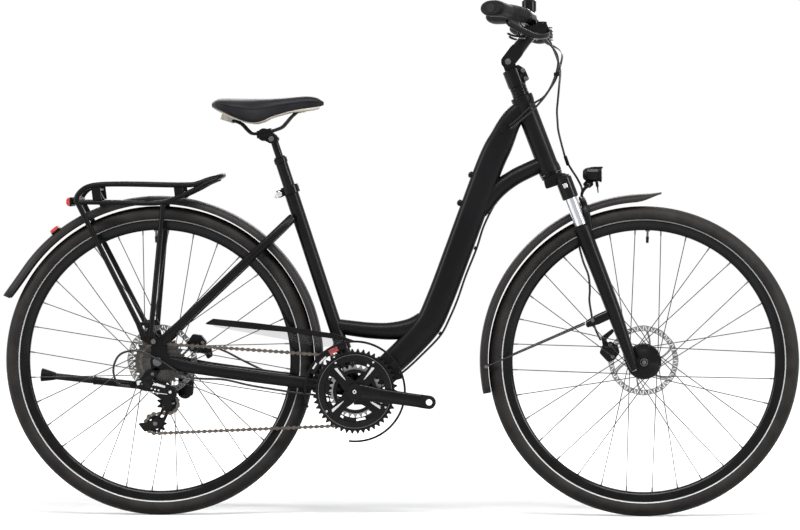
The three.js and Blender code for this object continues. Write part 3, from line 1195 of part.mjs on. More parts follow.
piece(frame, "kickstand_bracket", stand_bracket_shape(), plastic_black());
piece(stand, "kickstand_leg", stand_leg_shape(), frame_black());
piece(stand, "kickstand_lower_leg", stand_lower_shape(), rubber_black());

// Fork, in the steering frame: x ahead of the steering axis, z up along it.

const leg_body = (side, grow = 0) => swept(
  [[fork.foot_x, fork.leg_bottom], [fork.foot_x, fork.foot_top], [fork.leg_x, fork.leg_top]].map((point) => (
    on_side(point, side * fork.leg_y))), fork.leg_sizes, { sides: 8, steps: 3, grow },
);

function fork_upper_shape() {
  const f = fork;
  const crown = plate(f.crown, -f.crown_half_width, f.crown_half_width);
  const tubes = both_sides.map((side) => [
    rod(at(f.leg_x, side * f.leg_y, f.lobe_bottom), at(f.leg_x, side * f.leg_y, f.lobe_top), f.lobe_radius, 10),
    rod(at(f.leg_x, side * f.leg_y, f.stanchion_bottom), at(f.leg_x, side * f.leg_y, f.lobe_top), f.stanchion_radius, 10),
  ]);
  return joined(crown, tubes.flat(), post_bar(f.steerer_radius, f.lobe_top, f.steerer_top, 12), post_bar(
    f.race_radius, f.race_top - f.race, f.race_top, 12,
  ));
}

function fork_lowers_shape() {
  const f = fork;
  const legs = both_sides.map((side) => cut(leg_body(side), rod(
    at(f.leg_x, side * f.leg_y, f.leg_bore_floor), at(f.leg_x, side * f.leg_y, 2 * f.leg_top), f.leg_bore, 10,
  )));
  const bridge = swept(arch.path.map((point) => at(...point)), arch.sizes, { sides: 6, steps: 6, side: at(1, 0, 0), square: 4 });
  const feet = both_sides.map((side) => plate(
    fork_dropout.outline, side * fork_dropout.inner, side * fork_dropout.outer,
  ));
  const holes = cross_bar([fork_rake, 0], -2 * fork_dropout.outer, 2 * fork_dropout.outer, fork_dropout.hole, 10);
  const stay_blocks = both_sides.map((side) => plate(guard_block.outline, side * guard_block.inner, side * guard_block.outer));
  const bores = both_sides.map((side) => rod(
    at(f.leg_x, side * f.leg_y, f.leg_bore_floor), at(f.leg_x, side * f.leg_y, 2 * f.leg_top), f.leg_bore, 10,
  ));
  const lamp_arm = swept(light_bracket.path.map((point) => on_side(point)), light_bracket.sizes, { sides: 4, steps: 3, square: 8 });
  const slot = block(...light_bracket.slot, on_side(light_bracket.slot_at));
  const guard_pad = block(...arch.pad, on_side(arch.pad_at));
  return cut(joined(legs, bridge, feet, stay_blocks, cut(lamp_arm, slot), guard_pad), bores, holes);
}

function front_caliper_shape() {
  const body = caliper_body([front_caliper.f, front_caliper.s], front_caliper.tip, front_hub.rotor_y);
  const arm = plate(front_caliper.arm, ...front_caliper.arm_y);
  return cut(joined(body, arm), rotor_slot(fork_rake, 0, front_hub.rotor_y), leg_body(left, seat_gap));
}

piece(steering, "fork_upper", fork_upper_shape(), finish(0x8d8f92, 0.2, 0.9));
piece(steering, "fork_lowers", fork_lowers_shape(), frame_black());
piece(steering, "front_caliper", front_caliper_shape(), satin_black());

// Headlight: a short drum that looks forwards, with a visor and a lug below.
function headlight_shape() {
  const drum = skin(lamp.rings.map(([x, size]) => rounded_ring(
    at(lamp.centre[0] + x, 0, lamp.centre[1]), across, upright, 2 * size, 2 * size * lamp.height_share, 12, 2.4,
  )));
  const hollow = skin(lamp.hollow.map(([x, size]) => rounded_ring(
    at(lamp.centre[0] + x, 0, lamp.centre[1]), across, upright, 2 * size, 2 * size * lamp.height_share, 12, 2.4,
  )));
  const lug = plate(lamp.lug, -lamp.lug_half, lamp.lug_half);
  const visor = plate(lamp.visor, -lamp.visor_half, lamp.visor_half);
  return joined(cut(drum, hollow), lug, visor);
}

piece(frame, "headlight", headlight_shape(), plastic_black());

// Stem base, round the steerer, and the arm that tilts on it.

const cockpit = group_at(steering, at(0, 0, stem.pivot_s), -head_lean);
const arm_reach = on_side([stem_arm.length * Math.sin(stem_arm.lean), stem_arm.length * Math.cos(stem_arm.lean)]);
const bars = group_at(cockpit, arm_reach);

function stem_base_shape() {
  const s = stem;
  const collar = post_bar(s.clamp_radius, s.spacer_high, s.clamp_top, 12);
  const spacers = post_bar(s.spacer_radius, s.spacer_low, s.spacer_high, 12);
  const neck = plate(s.neck, -s.neck_half, s.neck_half);
  const lug = plate(s.lug, -s.lug_half, s.lug_half);
  const boss = cross_bar([0, s.pivot_s], -s.boss_half, s.boss_half, s.boss_radius, 12);
  const bolts = s.bolt_s.map((height) => cross_bar([s.bolt_x, height], -s.bolt_half, s.bolt_half, s.bolt_radius, 6));
  const bore = post_bar(s.bore, 0, s.cap_s, 12);
  const pin_bore = cross_bar([0, s.pivot_s], -2 * s.boss_half, 2 * s.boss_half, stem_arm.pin_radius + seat_gap, 10);
  return cut(joined(collar, spacers, neck, lug, boss, bolts), bore, pin_bore);
}

// The handlebar's centre line on both sides.
const bar_line = [...bar_shape.slice(1).reverse().map(([x, y, z]) => at(x, -y, z)), ...bar_shape.map((point) => at(...point))];

const bar_body = (grow = 0) => swept(bar_line, bar.sizes, { sides: bar.sides, steps: bar.steps, side: at(1, 0, 0), grow });

function stem_arm_shape() {
  const s = stem_arm;
  const half = s.depth / 2;
  const arm_outline = [[-half, 0], [half, 0], [half, s.length], [-half, s.length]].map(([x, z]) => [
    x * Math.cos(s.lean) + z * Math.sin(s.lean), z * Math.cos(s.lean) - x * Math.sin(s.lean),
  ]);
  const arm = plate(arm_outline, -s.half_width, s.half_width);
  const cheeks = cross_bar([0, 0], -s.half_width, s.half_width, s.cheek_radius, 12);
  const clamp = cross_bar([arm_reach.x, arm_reach.z], -s.clamp_half, s.clamp_half, s.clamp_radius, 12);
  const slot = cross_bar([0, 0], -s.slot_half, s.slot_half, s.slot_reach, 16);
  const pin = cross_bar([0, 0], -s.half_width, s.half_width, s.pin_radius, 10);
  return joined(cut(joined(arm, cheeks, clamp), slot, moved(bar_body(seat_gap), ...arm_reach)), pin);
}

piece(steering, "stem_base", stem_base_shape(), satin_black());
piece(cockpit, "stem_arm", stem_arm_shape(), satin_black());
piece(bars, "handlebar", solid(bar_body()), satin_black());

// Grips, controls and levers: drawn for the left side and mirrored for the right.

const sided = (side) => ([x, y, z]) => at(x, side * y, z);

function grip_shape(side) {
  const line = grip.path.map(sided(side));
  const body = swept(line, grip.sizes, { sides: grip.sides, steps: grip.steps, side: at(1, 0, 0), square: 2.2 });
  return cut(body, bar_body(seat_gap));
}

function control_shape(side) {
  const c = control;
  const place = sided(side);
  const clamp = rod(place(c.ring_from), place(c.ring_to), c.ring_radius, 8);
  const master = swept(c.master.map(place), c.master_sizes, { sides: 6, steps: 2, side: at(1, 0, 0) });
  const housing = plate(c.housing, side * c.housing_y[0], side * c.housing_y[1]);
  const window_block = block(...c.window_size, place(c.window_at));
  const up = (centre, from, to, radius, sides) => rod(
    place([centre[0], centre[1], centre[2] + from]), place([centre[0], centre[1], centre[2] + to]), radius, sides,
  );
  const ears = up(brake_lever.pivot, -brake_lever.ear_half, brake_lever.ear_half, brake_lever.ear_radius, 10);
  const slot = up(brake_lever.pivot, -brake_lever.slot_half, brake_lever.slot_half, brake_lever.slot_radius, 10);
  const pin = up(brake_lever.pivot, -brake_lever.ear_half, brake_lever.ear_half, brake_lever.pin_radius, 6);
  const post = up(shift_lever.pivot, -shift_lever.cap_low, shift_lever.post_high, shift_lever.post_radius, 6);
  const cap = up(shift_lever.pivot, -shift_lever.cap_low, -shift_lever.cap_high, shift_lever.cap_radius, 6);
  return joined(cut(joined(clamp, master, housing, window_block, ears), slot, bar_body(seat_gap)), pin, post, cap);
}

function lever_shape(lever, side) {
  const place = sided(side);
  const level = (half, radius, sides) => rod(
    place([lever.pivot[0], lever.pivot[1], lever.pivot[2] - half]), place([lever.pivot[0], lever.pivot[1], lever.pivot[2] + half]),
    radius, sides,
  );
  const blade = swept(lever.path.map(place), lever.sizes, { sides: 6, steps: 5, side: at(...lever.side), square: 3 });
  return cut(joined(blade, level(lever.boss_half, lever.boss_radius, 10)), level(2 * lever.boss_half, lever.bore, 8));
}

both_sides.forEach((side) => {
  const name = side === left ? "left" : "right";
  piece(bars, `grip_${name}`, grip_shape(side), rubber_black());
  piece(bars, `control_${name}`, control_shape(side), satin_black());
  piece(bars, `brake_lever_${name}`, lever_shape(brake_lever, side), satin_black());
  piece(bars, `shift_lever_${name}`, lever_shape(shift_lever, side), plastic_black());
});

// Bell: a dome on a ring round the bar, with its thumb lever.

function bell_shape() {
  const b = bell;
  const ring = rod(at(...b.ring_from), at(...b.ring_to), b.ring_radius, 10);
  const dome = moved(turned(b.dome, 10).rotateX(Math.PI / 2), ...b.at);
  return cut(joined(ring, dome), bar_body(seat_gap));
}

piece(bars, "bell", bell_shape(), frame_black());
piece(bars, "bell_lever", solid(block(...bell.lever_size, at(...bell.lever_at))), plastic_black());

// Held cables.

const cable_tube = (route, steps) => tube(route, cable.radius, cable.sides, steps);
const loop_clip_shape = (grow = 0) => block(
  loop_clip.length + 2 * grow, loop_clip.width + 2 * grow, loop_clip.height + 2 * grow, at(...loop_clip.at),
);
const loop_part = (...routes) => joined(routes.map((route) => cable_tube(route, cable.loop_steps)));
const upper_loop = joined(loop_part(loop_right_upper, loop_left_upper), loop_clip_shape());
const lower_loop = cut(loop_part(loop_right_lower, loop_left_lower), loop_clip_shape(seat_gap));
const hose = joined(
  cable_tube(front_hose, cable.hose_steps), rod(at(...hose_sleeve.at), at(...hose_sleeve.to), hose_sleeve.radius, 6),
);
const block_under = block(cable_block.length, 2 * cable_block.half_width, cable_block.height, on_side(cable_block.at));
const frame_line = joined(
  cable_tube(tube_hose, cable.tube_steps), cable_tube(right_cable, cable.right_steps), cable_tube(left_hose, cable.left_steps),
  block_under,
);

piece(frame, "cable_loop_upper", upper_loop, rubber_black());
piece(frame, "cable_loop_lower", lower_loop, rubber_black());
piece(frame, "front_brake_hose", hose, rubber_black());
piece(frame, "frame_cables", frame_line, rubber_black());

export default bicycle;
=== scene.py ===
# %% [markdown]
# # A step-through city bicycle
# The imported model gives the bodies, the joints and the place of every solid. This notebook dresses them:
# each piece is made again with round tubes, thin spokes, real chain links and finished surfaces, and rides
# on its body, so that the steering, the wheels and the stand still move.

# %% The frame
import math

import bmesh
import bpy
from mathutils import Matrix, Vector
from mathutils.geometry import tessellate_polygon


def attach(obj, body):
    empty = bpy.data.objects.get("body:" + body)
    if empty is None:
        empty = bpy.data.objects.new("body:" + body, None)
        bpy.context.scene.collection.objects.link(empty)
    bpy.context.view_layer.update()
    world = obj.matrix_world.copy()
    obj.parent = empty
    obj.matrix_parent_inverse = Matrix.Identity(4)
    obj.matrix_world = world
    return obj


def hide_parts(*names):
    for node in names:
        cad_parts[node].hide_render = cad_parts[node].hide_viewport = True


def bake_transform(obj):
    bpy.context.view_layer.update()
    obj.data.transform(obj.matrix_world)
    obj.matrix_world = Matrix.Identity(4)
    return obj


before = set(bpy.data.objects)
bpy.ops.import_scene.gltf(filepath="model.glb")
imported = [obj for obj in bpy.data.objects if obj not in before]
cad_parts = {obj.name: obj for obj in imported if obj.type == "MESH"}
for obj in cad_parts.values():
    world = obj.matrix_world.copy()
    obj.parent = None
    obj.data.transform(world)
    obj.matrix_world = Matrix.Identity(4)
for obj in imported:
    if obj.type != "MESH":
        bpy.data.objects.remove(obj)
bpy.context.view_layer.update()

# %% [markdown]
# ## Layout
# The sizes are in millimetres, measured forward from the rear axle, to the left, and up from the ground, as
# on a frame builder's drawing. The whole bicycle is then shifted so that its middle is at the origin, and
# written in metres.

# %% Layout values
MM = 0.001
WHEELBASE = 1100
AXLE = 352
BRACKET = (447, 0, 285)
BRACKET_AT = (447, 285)
FRONT_REACH, REAR_REACH = 1452, 354.77
MIDDLE = (FRONT_REACH - REAR_REACH) / 2
HEAD_LEAN = math.radians(21)
SEAT_LEAN = math.radians(18.2)
FORK_RAKE = 44
TURN = 2 * math.pi
RIGHT, LEFT = -1, 1
SIDES = (RIGHT, LEFT)
NAMED_SIDES = ((RIGHT, "right"), (LEFT, "left"))

ACROSS = Vector((0, 1, 0))
to_world = Matrix.Scale(MM, 4) @ Matrix.Translation((-MIDDLE, 0, 0))


def leaning(angle):
    """A frame whose z leans back by an angle: x forwards, y left, z along the tube."""
    return Matrix.Rotation(-angle, 4, "Y")


steer_direction = Vector((-math.sin(HEAD_LEAN), 0, math.cos(HEAD_LEAN)))
steer_forward = Vector((math.cos(HEAD_LEAN), 0, math.sin(HEAD_LEAN)))
steer_foot = Vector((WHEELBASE, 0, AXLE)) - steer_forward * FORK_RAKE
STEER = Matrix.Translation(steer_foot) @ leaning(HEAD_LEAN)
SEAT = Matrix.Translation(BRACKET) @ leaning(SEAT_LEAN)
HERE = Matrix.Identity(4)
STEM_PIVOT = 744.4
ARM_LEAN, ARM_LENGTH = math.radians(38), 95
pivot_point = STEER @ Vector((0, 0, STEM_PIVOT))
COCKPIT = Matrix.Translation(pivot_point)
arm_reach = Vector((ARM_LENGTH * math.sin(ARM_LEAN), 0, ARM_LENGTH * math.cos(ARM_LEAN)))
BARS = Matrix.Translation(pivot_point + arm_reach)
REAR = Matrix.Translation((0, 0, AXLE))
FRONT = Matrix.Translation((WHEELBASE, 0, AXLE))
CRANK = Matrix.Translation(BRACKET)
print("steering foot", [round(c, 1) for c in steer_foot], "stem pivot", [round(c, 1) for c in pivot_point])

# %% [markdown]
# ## Camera and light
# The photograph looks at the drive side through a long lens from about ten metres. The far grip and the far
# legs of the rack show a little beside the near ones, and how much they show says where the camera stood:
# 0.8 metres up and a little ahead of the middle. Black shows its shape only by what it reflects, so the
# windows that light it are wide, and the sky is weak.

# %% Camera
VIEW_PLACE = (0.40, -10.5, 0.81)
PIXEL = 2.2727
AIM = (546.8, 0, 569.9)
SENSOR = 36
PHOTO_WIDTH = 800

camera_data = bpy.data.cameras.new("camera")
camera_data.sensor_width = SENSOR
camera = bpy.data.objects.new("camera", camera_data)
bpy.context.collection.objects.link(camera)
camera.location = VIEW_PLACE
WIDTH = PHOTO_WIDTH * PIXEL * MM
look = to_world @ Vector(AIM) - camera.location
camera.rotation_euler = look.to_track_quat("-Z", "Y").to_euler()
camera_data.lens = SENSOR * look.length / WIDTH
bpy.context.scene.camera = camera
bpy.context.scene.view_settings.view_transform = "Standard"
print("lens", round(camera_data.lens, 1))


# %% Lamps
def window_lamp(name, place, target, size, power):
    """A soft rectangular lamp that looks at a point."""
    data = bpy.data.lights.new(name, "AREA")
    data.shape = "RECTANGLE"
    data.size, data.size_y = size
    data.energy = power
    lamp = bpy.data.objects.new(name, data)
    bpy.context.collection.objects.link(lamp)
    lamp.location = place
    lamp.rotation_euler = (Vector(target) - Vector(place)).to_track_quat("-Z", "Y").to_euler()


CEILING_WINDOW, TALL_WINDOW, FAR_WINDOW = (3.4, 0.5), (0.5, 1.8), (3, 1.2)
window_lamp("window_above", (0.1, -1.9, 3), (0, 0, 0.5), CEILING_WINDOW, 120)
window_lamp("window_front", (3.2, -1.4, 1.7), (0.2, 0, 0.6), TALL_WINDOW, 80)
window_lamp("window_rear", (-3.2, -1.4, 1.7), (-0.2, 0, 0.6), TALL_WINDOW, 70)
window_lamp("window_far", (0, 3, 2.2), (0, 0, 0.6), FAR_WINDOW, 60)
print("lamps", len(bpy.data.lights))

# %% [markdown]
# ## Shader expressions
# A procedural finish is a sum of small patterns. A class that wraps a socket lets such a sum be written as
# ordinary arithmetic: each operator adds one Math node. Everything else, from a noise to a bump, comes from
# one function.


# %% A socket that can be added and multiplied
class Signal:
    """One output socket of a shader tree, on which arithmetic works."""

    def __init__(self, tree, socket):
        self.tree = tree
        self.socket = socket

    def maths(self, operation, *values):
        """One Math node over signals and numbers."""
        return finish_node(self.tree, "ShaderNodeMath", {"operation": operation}, dict(enumerate(values)))

    def __add__(self, other):
        return self.maths("ADD", self, other)

    __radd__ = __add__

    def __sub__(self, other):
        return self.maths("SUBTRACT", self, other)

    def __rsub__(self, other):
        return self.maths("SUBTRACT", other, self)

    def __mul__(self, other):
        return self.maths("MULTIPLY", self, other)

    __rmul__ = __mul__

    def __pow__(self, power):
        return self.maths("POWER", self, power)

    def most(self, other):
        return self.maths("MAXIMUM", self, other)

    def sine(self):
        return self.maths("SINE", self)

    def size(self):
        return self.maths("ABSOLUTE", self)

    def turn_from(self, across):
        """The angle of a point whose height is this signal."""
        return self.maths("ARCTAN2", self, across)

    def step(self, low, high):
        """0 below low, 1 above high, smooth between."""
        return finish_node(self.tree, "ShaderNodeMapRange", {"interpolation_type": "SMOOTHSTEP"},
                           {"Value": self, "From Min": low, "From Max": high})


def finish_node(tree, kind, settings=None, sockets=None, output=0):
    """Adds a node: its settings first, then the values or links of its sockets."""
    node = tree.nodes.new(kind)
    for name, value in (settings or {}).items():
        setattr(node, name, value)
    for name, value in (sockets or {}).items():
        socket = node.inputs[name]
        if isinstance(value, Signal):
            tree.links.new(value.socket, socket)
        else:
            socket.default_value = value
    return Signal(tree, node.outputs[output])


# %% [markdown]
# ## One helper for every finish
# All finishes share one shape: a base colour that drifts a little, a roughness that follows the same drift,
# and a fine bump. What changes is the grain: paint has a fine orange peel, moulded plastic a spark texture,
# and rubber a dull cloudy bloom.


# %% The finish helper
class Finish:
    """A material on the Principled shader, with its tree at hand."""

    def __init__(self, name, colour, roughness, metallic=0, coat=0, level=0.5):
        self.material = bpy.data.materials.new(name)
        self.material.use_nodes = True
        self.tree = self.material.node_tree
        self.shader = self.tree.nodes["Principled BSDF"]
        self.set("Base Color", (*colour, 1))
        self.set("Roughness", roughness)
        self.set("Metallic", metallic)
        self.set("Coat Weight", coat)
        self.set("Coat Roughness", 0.2)
        self.set("Specular IOR Level", level)
        self.place = finish_node(self.tree, "ShaderNodeTexCoord", output="Object")

    def set(self, socket, value):
        self.shader.inputs[socket].default_value = value

    def link(self, socket, signal):
        self.tree.links.new(signal.socket, self.shader.inputs[socket])

    def node(self, kind, settings=None, sockets=None, output=0):
        return finish_node(self.tree, kind, settings, sockets, output)

    def noise(self, scale, detail=3, rough=0.5, place=None):
        sockets = {"Vector": place or self.place, "Scale": scale, "Detail": detail, "Roughness": rough}
        return self.node("ShaderNodeTexNoise", {}, sockets)

    def cells(self, scale):
        return self.node("ShaderNodeTexVoronoi", {"feature": "F1"}, {"Vector": self.place, "Scale": scale})

    def parts(self):
        """x, y and z of the place as three signals."""
        split = self.tree.nodes.new("ShaderNodeSeparateXYZ")
        self.tree.links.new(self.place.socket, split.inputs[0])
        return [Signal(self.tree, socket) for socket in split.outputs]

    def mix(self, factor, low, high):
        """A colour between two colours."""
        settings = {"data_type": "RGBA", "clamp_factor": True}
        sockets = {0: factor, 6: low if isinstance(low, Signal) else (*low, 1),
                   7: high if isinstance(high, Signal) else (*high, 1)}
        return self.node("ShaderNodeMix", settings, sockets, output=2)

    def bump(self, height, strength, distance):
        sockets = {"Height": height, "Strength": strength, "Distance": distance}
        self.link("Normal", self.node("ShaderNodeBump", {}, sockets))

    def drift(self, dark, light, roughness, scale=18, grain=900, strength=0.15, depth=0.0002):
        """The common finish: cloudy colour, matching roughness and a fine grain."""
        cloud = self.noise(scale, 4, 0.55)
        fine = self.noise(grain, 2, 0.5)
        self.link("Base Color", self.mix(cloud.step(0.35, 0.65), dark, light))
        self.link("Roughness", cloud * (roughness[1] - roughness[0]) + roughness[0])
        self.bump(fine, strength, depth)


# %% [markdown]
# ## Paints, metals and plastics
# The tubes wear a matt black powder coat, which is dull but not dead: a faint peel breaks up each
# highlight. The fittings are satin black, the mudguards a dark grey moulding, and only the fork tubes, the
# rotors and a few screws are bright.

# %% Finishes
paint = Finish("matt_black_paint", (0.006, 0.006, 0.007), 0.42, level=0.1)
paint.drift((0.003, 0.003, 0.0035), (0.0055, 0.0055, 0.0062), (0.28, 0.36),
                 scale=7, grain=1400, strength=0.1, depth=0.00008)

satin = Finish("satin_black_parts", (0.006, 0.006, 0.0065), 0.28, coat=0.03, level=0.12)
satin.drift((0.002, 0.002, 0.0023), (0.0045, 0.0045, 0.005), (0.14, 0.24),
                  scale=30, grain=1600, strength=0.06, depth=0.00006)

guard_plastic = Finish("dark_grey_guard", (0.022, 0.021, 0.021), 0.4, level=0.12)
guard_plastic.drift((0.017, 0.0155, 0.015), (0.026, 0.024, 0.0235), (0.4, 0.5),
                    scale=9, grain=1200, strength=0.06, depth=0.00005)

plastic = Finish("moulded_black_plastic", (0.006, 0.006, 0.006), 0.42, level=0.1)
sparks = plastic.cells(900)
plastic.drift((0.003, 0.003, 0.0032), (0.006, 0.006, 0.0062), (0.3, 0.42), scale=25)
plastic.bump(sparks, 0.25, 0.00012)

soft_rubber = Finish("soft_black_rubber", (0.012, 0.012, 0.012), 0.6, level=0.08)
soft_rubber.drift((0.005, 0.005, 0.005), (0.009, 0.009, 0.009), (0.42, 0.58),
                  scale=40, grain=800, strength=0.3, depth=0.0002)

cable_skin = Finish("cable_skin", (0.006, 0.006, 0.0065), 0.26, level=0.3)
cable_skin.drift((0.005, 0.005, 0.0055), (0.009, 0.009, 0.0095), (0.2, 0.32),
                 scale=60, grain=900, strength=0.1, depth=0.0001)

bright_tube = Finish("bright_fork_tube", (0.5, 0.51, 0.53), 0.12, metallic=1)
bright_tube.link("Roughness", bright_tube.noise(60, 2) * 0.08 + 0.1)
bright_tube.bump(bright_tube.noise(420, 2), 0.02, 0.0001)


def brushed(name, dark, light, roughness, along=(1, 1, 1)):
    """A metal whose fine scratches are drawn out along one direction."""
    metal = Finish(name, light, roughness, metallic=1)
    stretched = metal.node("ShaderNodeVectorMath", {"operation": "MULTIPLY"}, {0: metal.place, 1: along})
    scratches = metal.noise(700, 3, 0.6, stretched)
    cloud = metal.noise(26, 3)
    metal.link("Base Color", metal.mix(cloud * 0.6 + scratches * 0.4, dark, light))
    metal.link("Roughness", scratches * 0.16 + (roughness - 0.06))
    metal.bump(scratches, 0.12, 0.00006)
    return metal


silver = brushed("brushed_silver", (0.42, 0.42, 0.43), (0.62, 0.62, 0.63), 0.3, (1, 6, 1))
rotor_steel = brushed("rotor_steel", (0.12, 0.12, 0.12), (0.34, 0.335, 0.33), 0.28, (1, 12, 1))
cog_steel = brushed("cog_steel", (0.015, 0.015, 0.014), (0.1, 0.095, 0.09), 0.28, (1, 8, 1))
chain_steel = brushed("chain_steel", (0.035, 0.03, 0.027), (0.16, 0.14, 0.125), 0.3, (4, 4, 4))
steel = brushed("screw_steel", (0.06, 0.06, 0.062), (0.16, 0.16, 0.165), 0.26)
chrome = brushed("chrome", (0.5, 0.5, 0.52), (0.75, 0.75, 0.77), 0.16)

spoke_black = Finish("black_spoke", (0.012, 0.012, 0.012), 0.34, metallic=0.3)
spoke_black.drift((0.009, 0.009, 0.009), (0.016, 0.016, 0.016), (0.3, 0.42),
                  scale=80, grain=1500, strength=0.05, depth=0.00005)

cream_shell = Finish("cream_shell", (0.66, 0.6, 0.5), 0.42)
cream_shell.drift((0.6, 0.54, 0.44), (0.7, 0.64, 0.55), (0.36, 0.5),
                  scale=14, grain=700, strength=0.1, depth=0.0001)

red_glow = Finish("red_reflector", (0.55, 0.02, 0.015), 0.12, coat=0.6)
PRISM_SCALE = 420
prisms = red_glow.cells(PRISM_SCALE)
red_glow.link("Base Color", red_glow.mix(prisms * 0.84, (0.75, 0.03, 0.02), (0.3, 0.008, 0.008)))
red_glow.bump(prisms, 0.5, 0.0006)

ring_black = Finish("chainring_black", (0.006, 0.006, 0.006), 0.2, coat=0.04, level=0.14)
ring_black.drift((0.002, 0.002, 0.002), (0.005, 0.005, 0.005), (0.1, 0.2),
                 scale=45, grain=1200, strength=0.08, depth=0.00006)

smoke_strip = Finish("smoke_strip", (0.03, 0.03, 0.032), 0.12, coat=0.2)
smoke_strip.link("Alpha", smoke_strip.noise(30) * 0.06 + 0.12)
smoke_strip.bump(smoke_strip.noise(90), 0.05, 0.0002)

lamp_glass = Finish("lamp_glass", (0.75, 0.77, 0.8), 0.06, coat=0.8)
flutes = lamp_glass.parts()[1]
lamp_glass.bump((flutes * 2600).sine(), 0.3, 0.0004)
lamp_glass.link("Base Color", lamp_glass.mix(lamp_glass.noise(80), (0.55, 0.57, 0.6), (0.85, 0.87, 0.9)))

window_grey = Finish("shift_window", (0.22, 0.23, 0.24), 0.2, coat=0.6)
window_grey.link("Base Color",
                 window_grey.mix(window_grey.noise(120), (0.28, 0.3, 0.32), (0.55, 0.57, 0.6)))
window_grey.bump(window_grey.noise(300), 0.04, 0.0001)
print("finishes", len(bpy.data.materials))

# %% [markdown]
# ## Tyre rubber
# One tyre holds three finishes: matt tread, a cloudy side wall and a thin grey ring that throws light back.
# They are told apart by the distance from the axle, so each wheel has its own copy of the same recipe. The
# tread is a bump, because its grooves are too shallow to be worth cutting.


# %% Tyre finish
RING_FROM, RING_TO = (0.3196, 0.3199), (0.3217, 0.322)
TREAD_FROM = (0.3445, 0.3465)
TREAD_BLOCKS = 46


def tyre_finish(name, centre_x):
    rubber = Finish(name, (0.024, 0.021, 0.019), 0.62, level=0.1)
    x, y, z = rubber.parts()
    across = x - (centre_x - MIDDLE) * MM
    up = z - AXLE * MM
    radius = (across * across + up * up) ** 0.5
    ring = radius.step(*RING_FROM) * (1 - radius.step(*RING_TO))
    tread = radius.step(*TREAD_FROM)
    angle = up.turn_from(across)
    blocks = (angle * (2 * TREAD_BLOCKS) + y.size() * 900).sine().step(-0.25, 0.25)
    rows = (angle * TREAD_BLOCKS).sine().step(-0.7, -0.5)
    cloud = rubber.noise(22, 4)
    wall = rubber.mix(cloud.step(0.3, 0.7), (0.016, 0.0148, 0.0142), (0.029, 0.0268, 0.0256))
    marked = rubber.mix(tread * 0.8, wall, (0.021, 0.0202, 0.0198))
    rubber.link("Base Color", rubber.mix(ring, marked, (0.62, 0.63, 0.64)))
    rubber.link("Roughness", cloud * 0.16 + 0.5 - ring * 0.2)
    grooves = tread * (blocks * 0.6 + rows * 0.4) + (1 - tread) * rubber.noise(500) * 0.1
    rubber.bump(grooves, 0.7, 0.0012)
    return rubber


rear_rubber = tyre_finish("rear_tyre_rubber", 0)
front_rubber = tyre_finish("front_tyre_rubber", WHEELBASE)
print("tyre finishes", rear_rubber.material.name, front_rubber.material.name)

# %% [markdown]
# ## Drawing in metal
# Most of a bicycle is drawn with five tools: a tube bent along a route, a body lofted through rounded
# rings, a turned body, a plate cut from sheet with rounded corners, and a block. Each tool returns points
# and faces in millimetres. A piece collects them, shades them smooth with crisp edges, and rides on its
# body.


# %% Curves
FINE_STEPS = 24
CORNER_STEPS = 4


def smooth_line(points, count):
    """Points and directions at equal distances along a smooth curve through the given points."""
    points = [Vector(point) for point in points]
    ends = [points[0] * 2 - points[1], *points, points[-1] * 2 - points[-2]]
    dense = []
    for i in range(len(points) - 1):
        p = ends[i:i + 4]
        t = [0]
        for one, two in zip(p, p[1:]):
            t.append(t[-1] + max((two - one).length, MM) ** 0.5)
        for k in range(FINE_STEPS):
            u = t[1] + (t[2] - t[1]) * k / FINE_STEPS
            a = [p[j].lerp(p[j + 1], (u - t[j]) / (t[j + 1] - t[j])) for j in range(3)]
            b = [a[j].lerp(a[j + 1], (u - t[j]) / (t[j + 2] - t[j])) for j in range(2)]
            dense.append(b[0].lerp(b[1], (u - t[1]) / (t[2] - t[1])))
    dense.append(points[-1])
    reach = [0]
    for one, two in zip(dense, dense[1:]):
        reach.append(reach[-1] + (two - one).length)
    line, j = [], 0
    for k in range(count + 1):
        goal = reach[-1] * k / count
        while j < len(reach) - 2 and reach[j + 1] < goal:
            j += 1
        share = (goal - reach[j]) / max(reach[j + 1] - reach[j], 1e-9)
        line.append((dense[j].lerp(dense[j + 1], share), (dense[j + 1] - dense[j]).normalized()))
    return line


def read_table(table, share):
    """Reads a list of [share, value, value...] between its entries."""
    high = next((i for i, row in enumerate(table) if row[0] >= share and i > 0), len(table) - 1)
    low_row, high_row = table[high - 1], table[high]
    part = (share - low_row[0]) / (high_row[0] - low_row[0])
    return [low + (top - low) * part for low, top in zip(low_row[1:], high_row[1:])]


def ring_points(centre, side, up, width, depth, sides, square=2):
    """A rounded ring; a higher square number makes flatter sides."""
    def reach(value, size):
        return math.copysign(abs(value) ** (2 / square), value) * size / 2
    angles = [TURN * (i + 0.5) / sides for i in range(sides)]
    return [centre + side * reach(math.cos(a), width) + up * reach(math.sin(a), depth) for a in angles]


def spot(radius, angle, x=0, z=0):
    """x and z at a radius and an angle."""
    return (x + radius * math.cos(angle), z + radius * math.sin(angle))


def polar(radius, angle, y=0, x=0, z=0):
    across, up = spot(radius, angle, x, z)
    return Vector((across, y, up))


def circle(radius, sides=24, x=0, z=0):
    return [spot(radius, TURN * i / sides, x, z) for i in range(sides)]


def mirrored(points, side):
    """The points of the left side, or their images on the right."""
    return [Vector((x, side * y, z)) for x, y, z in points]


def on_side(point, y=0):
    return Vector((point[0], y, point[1]))


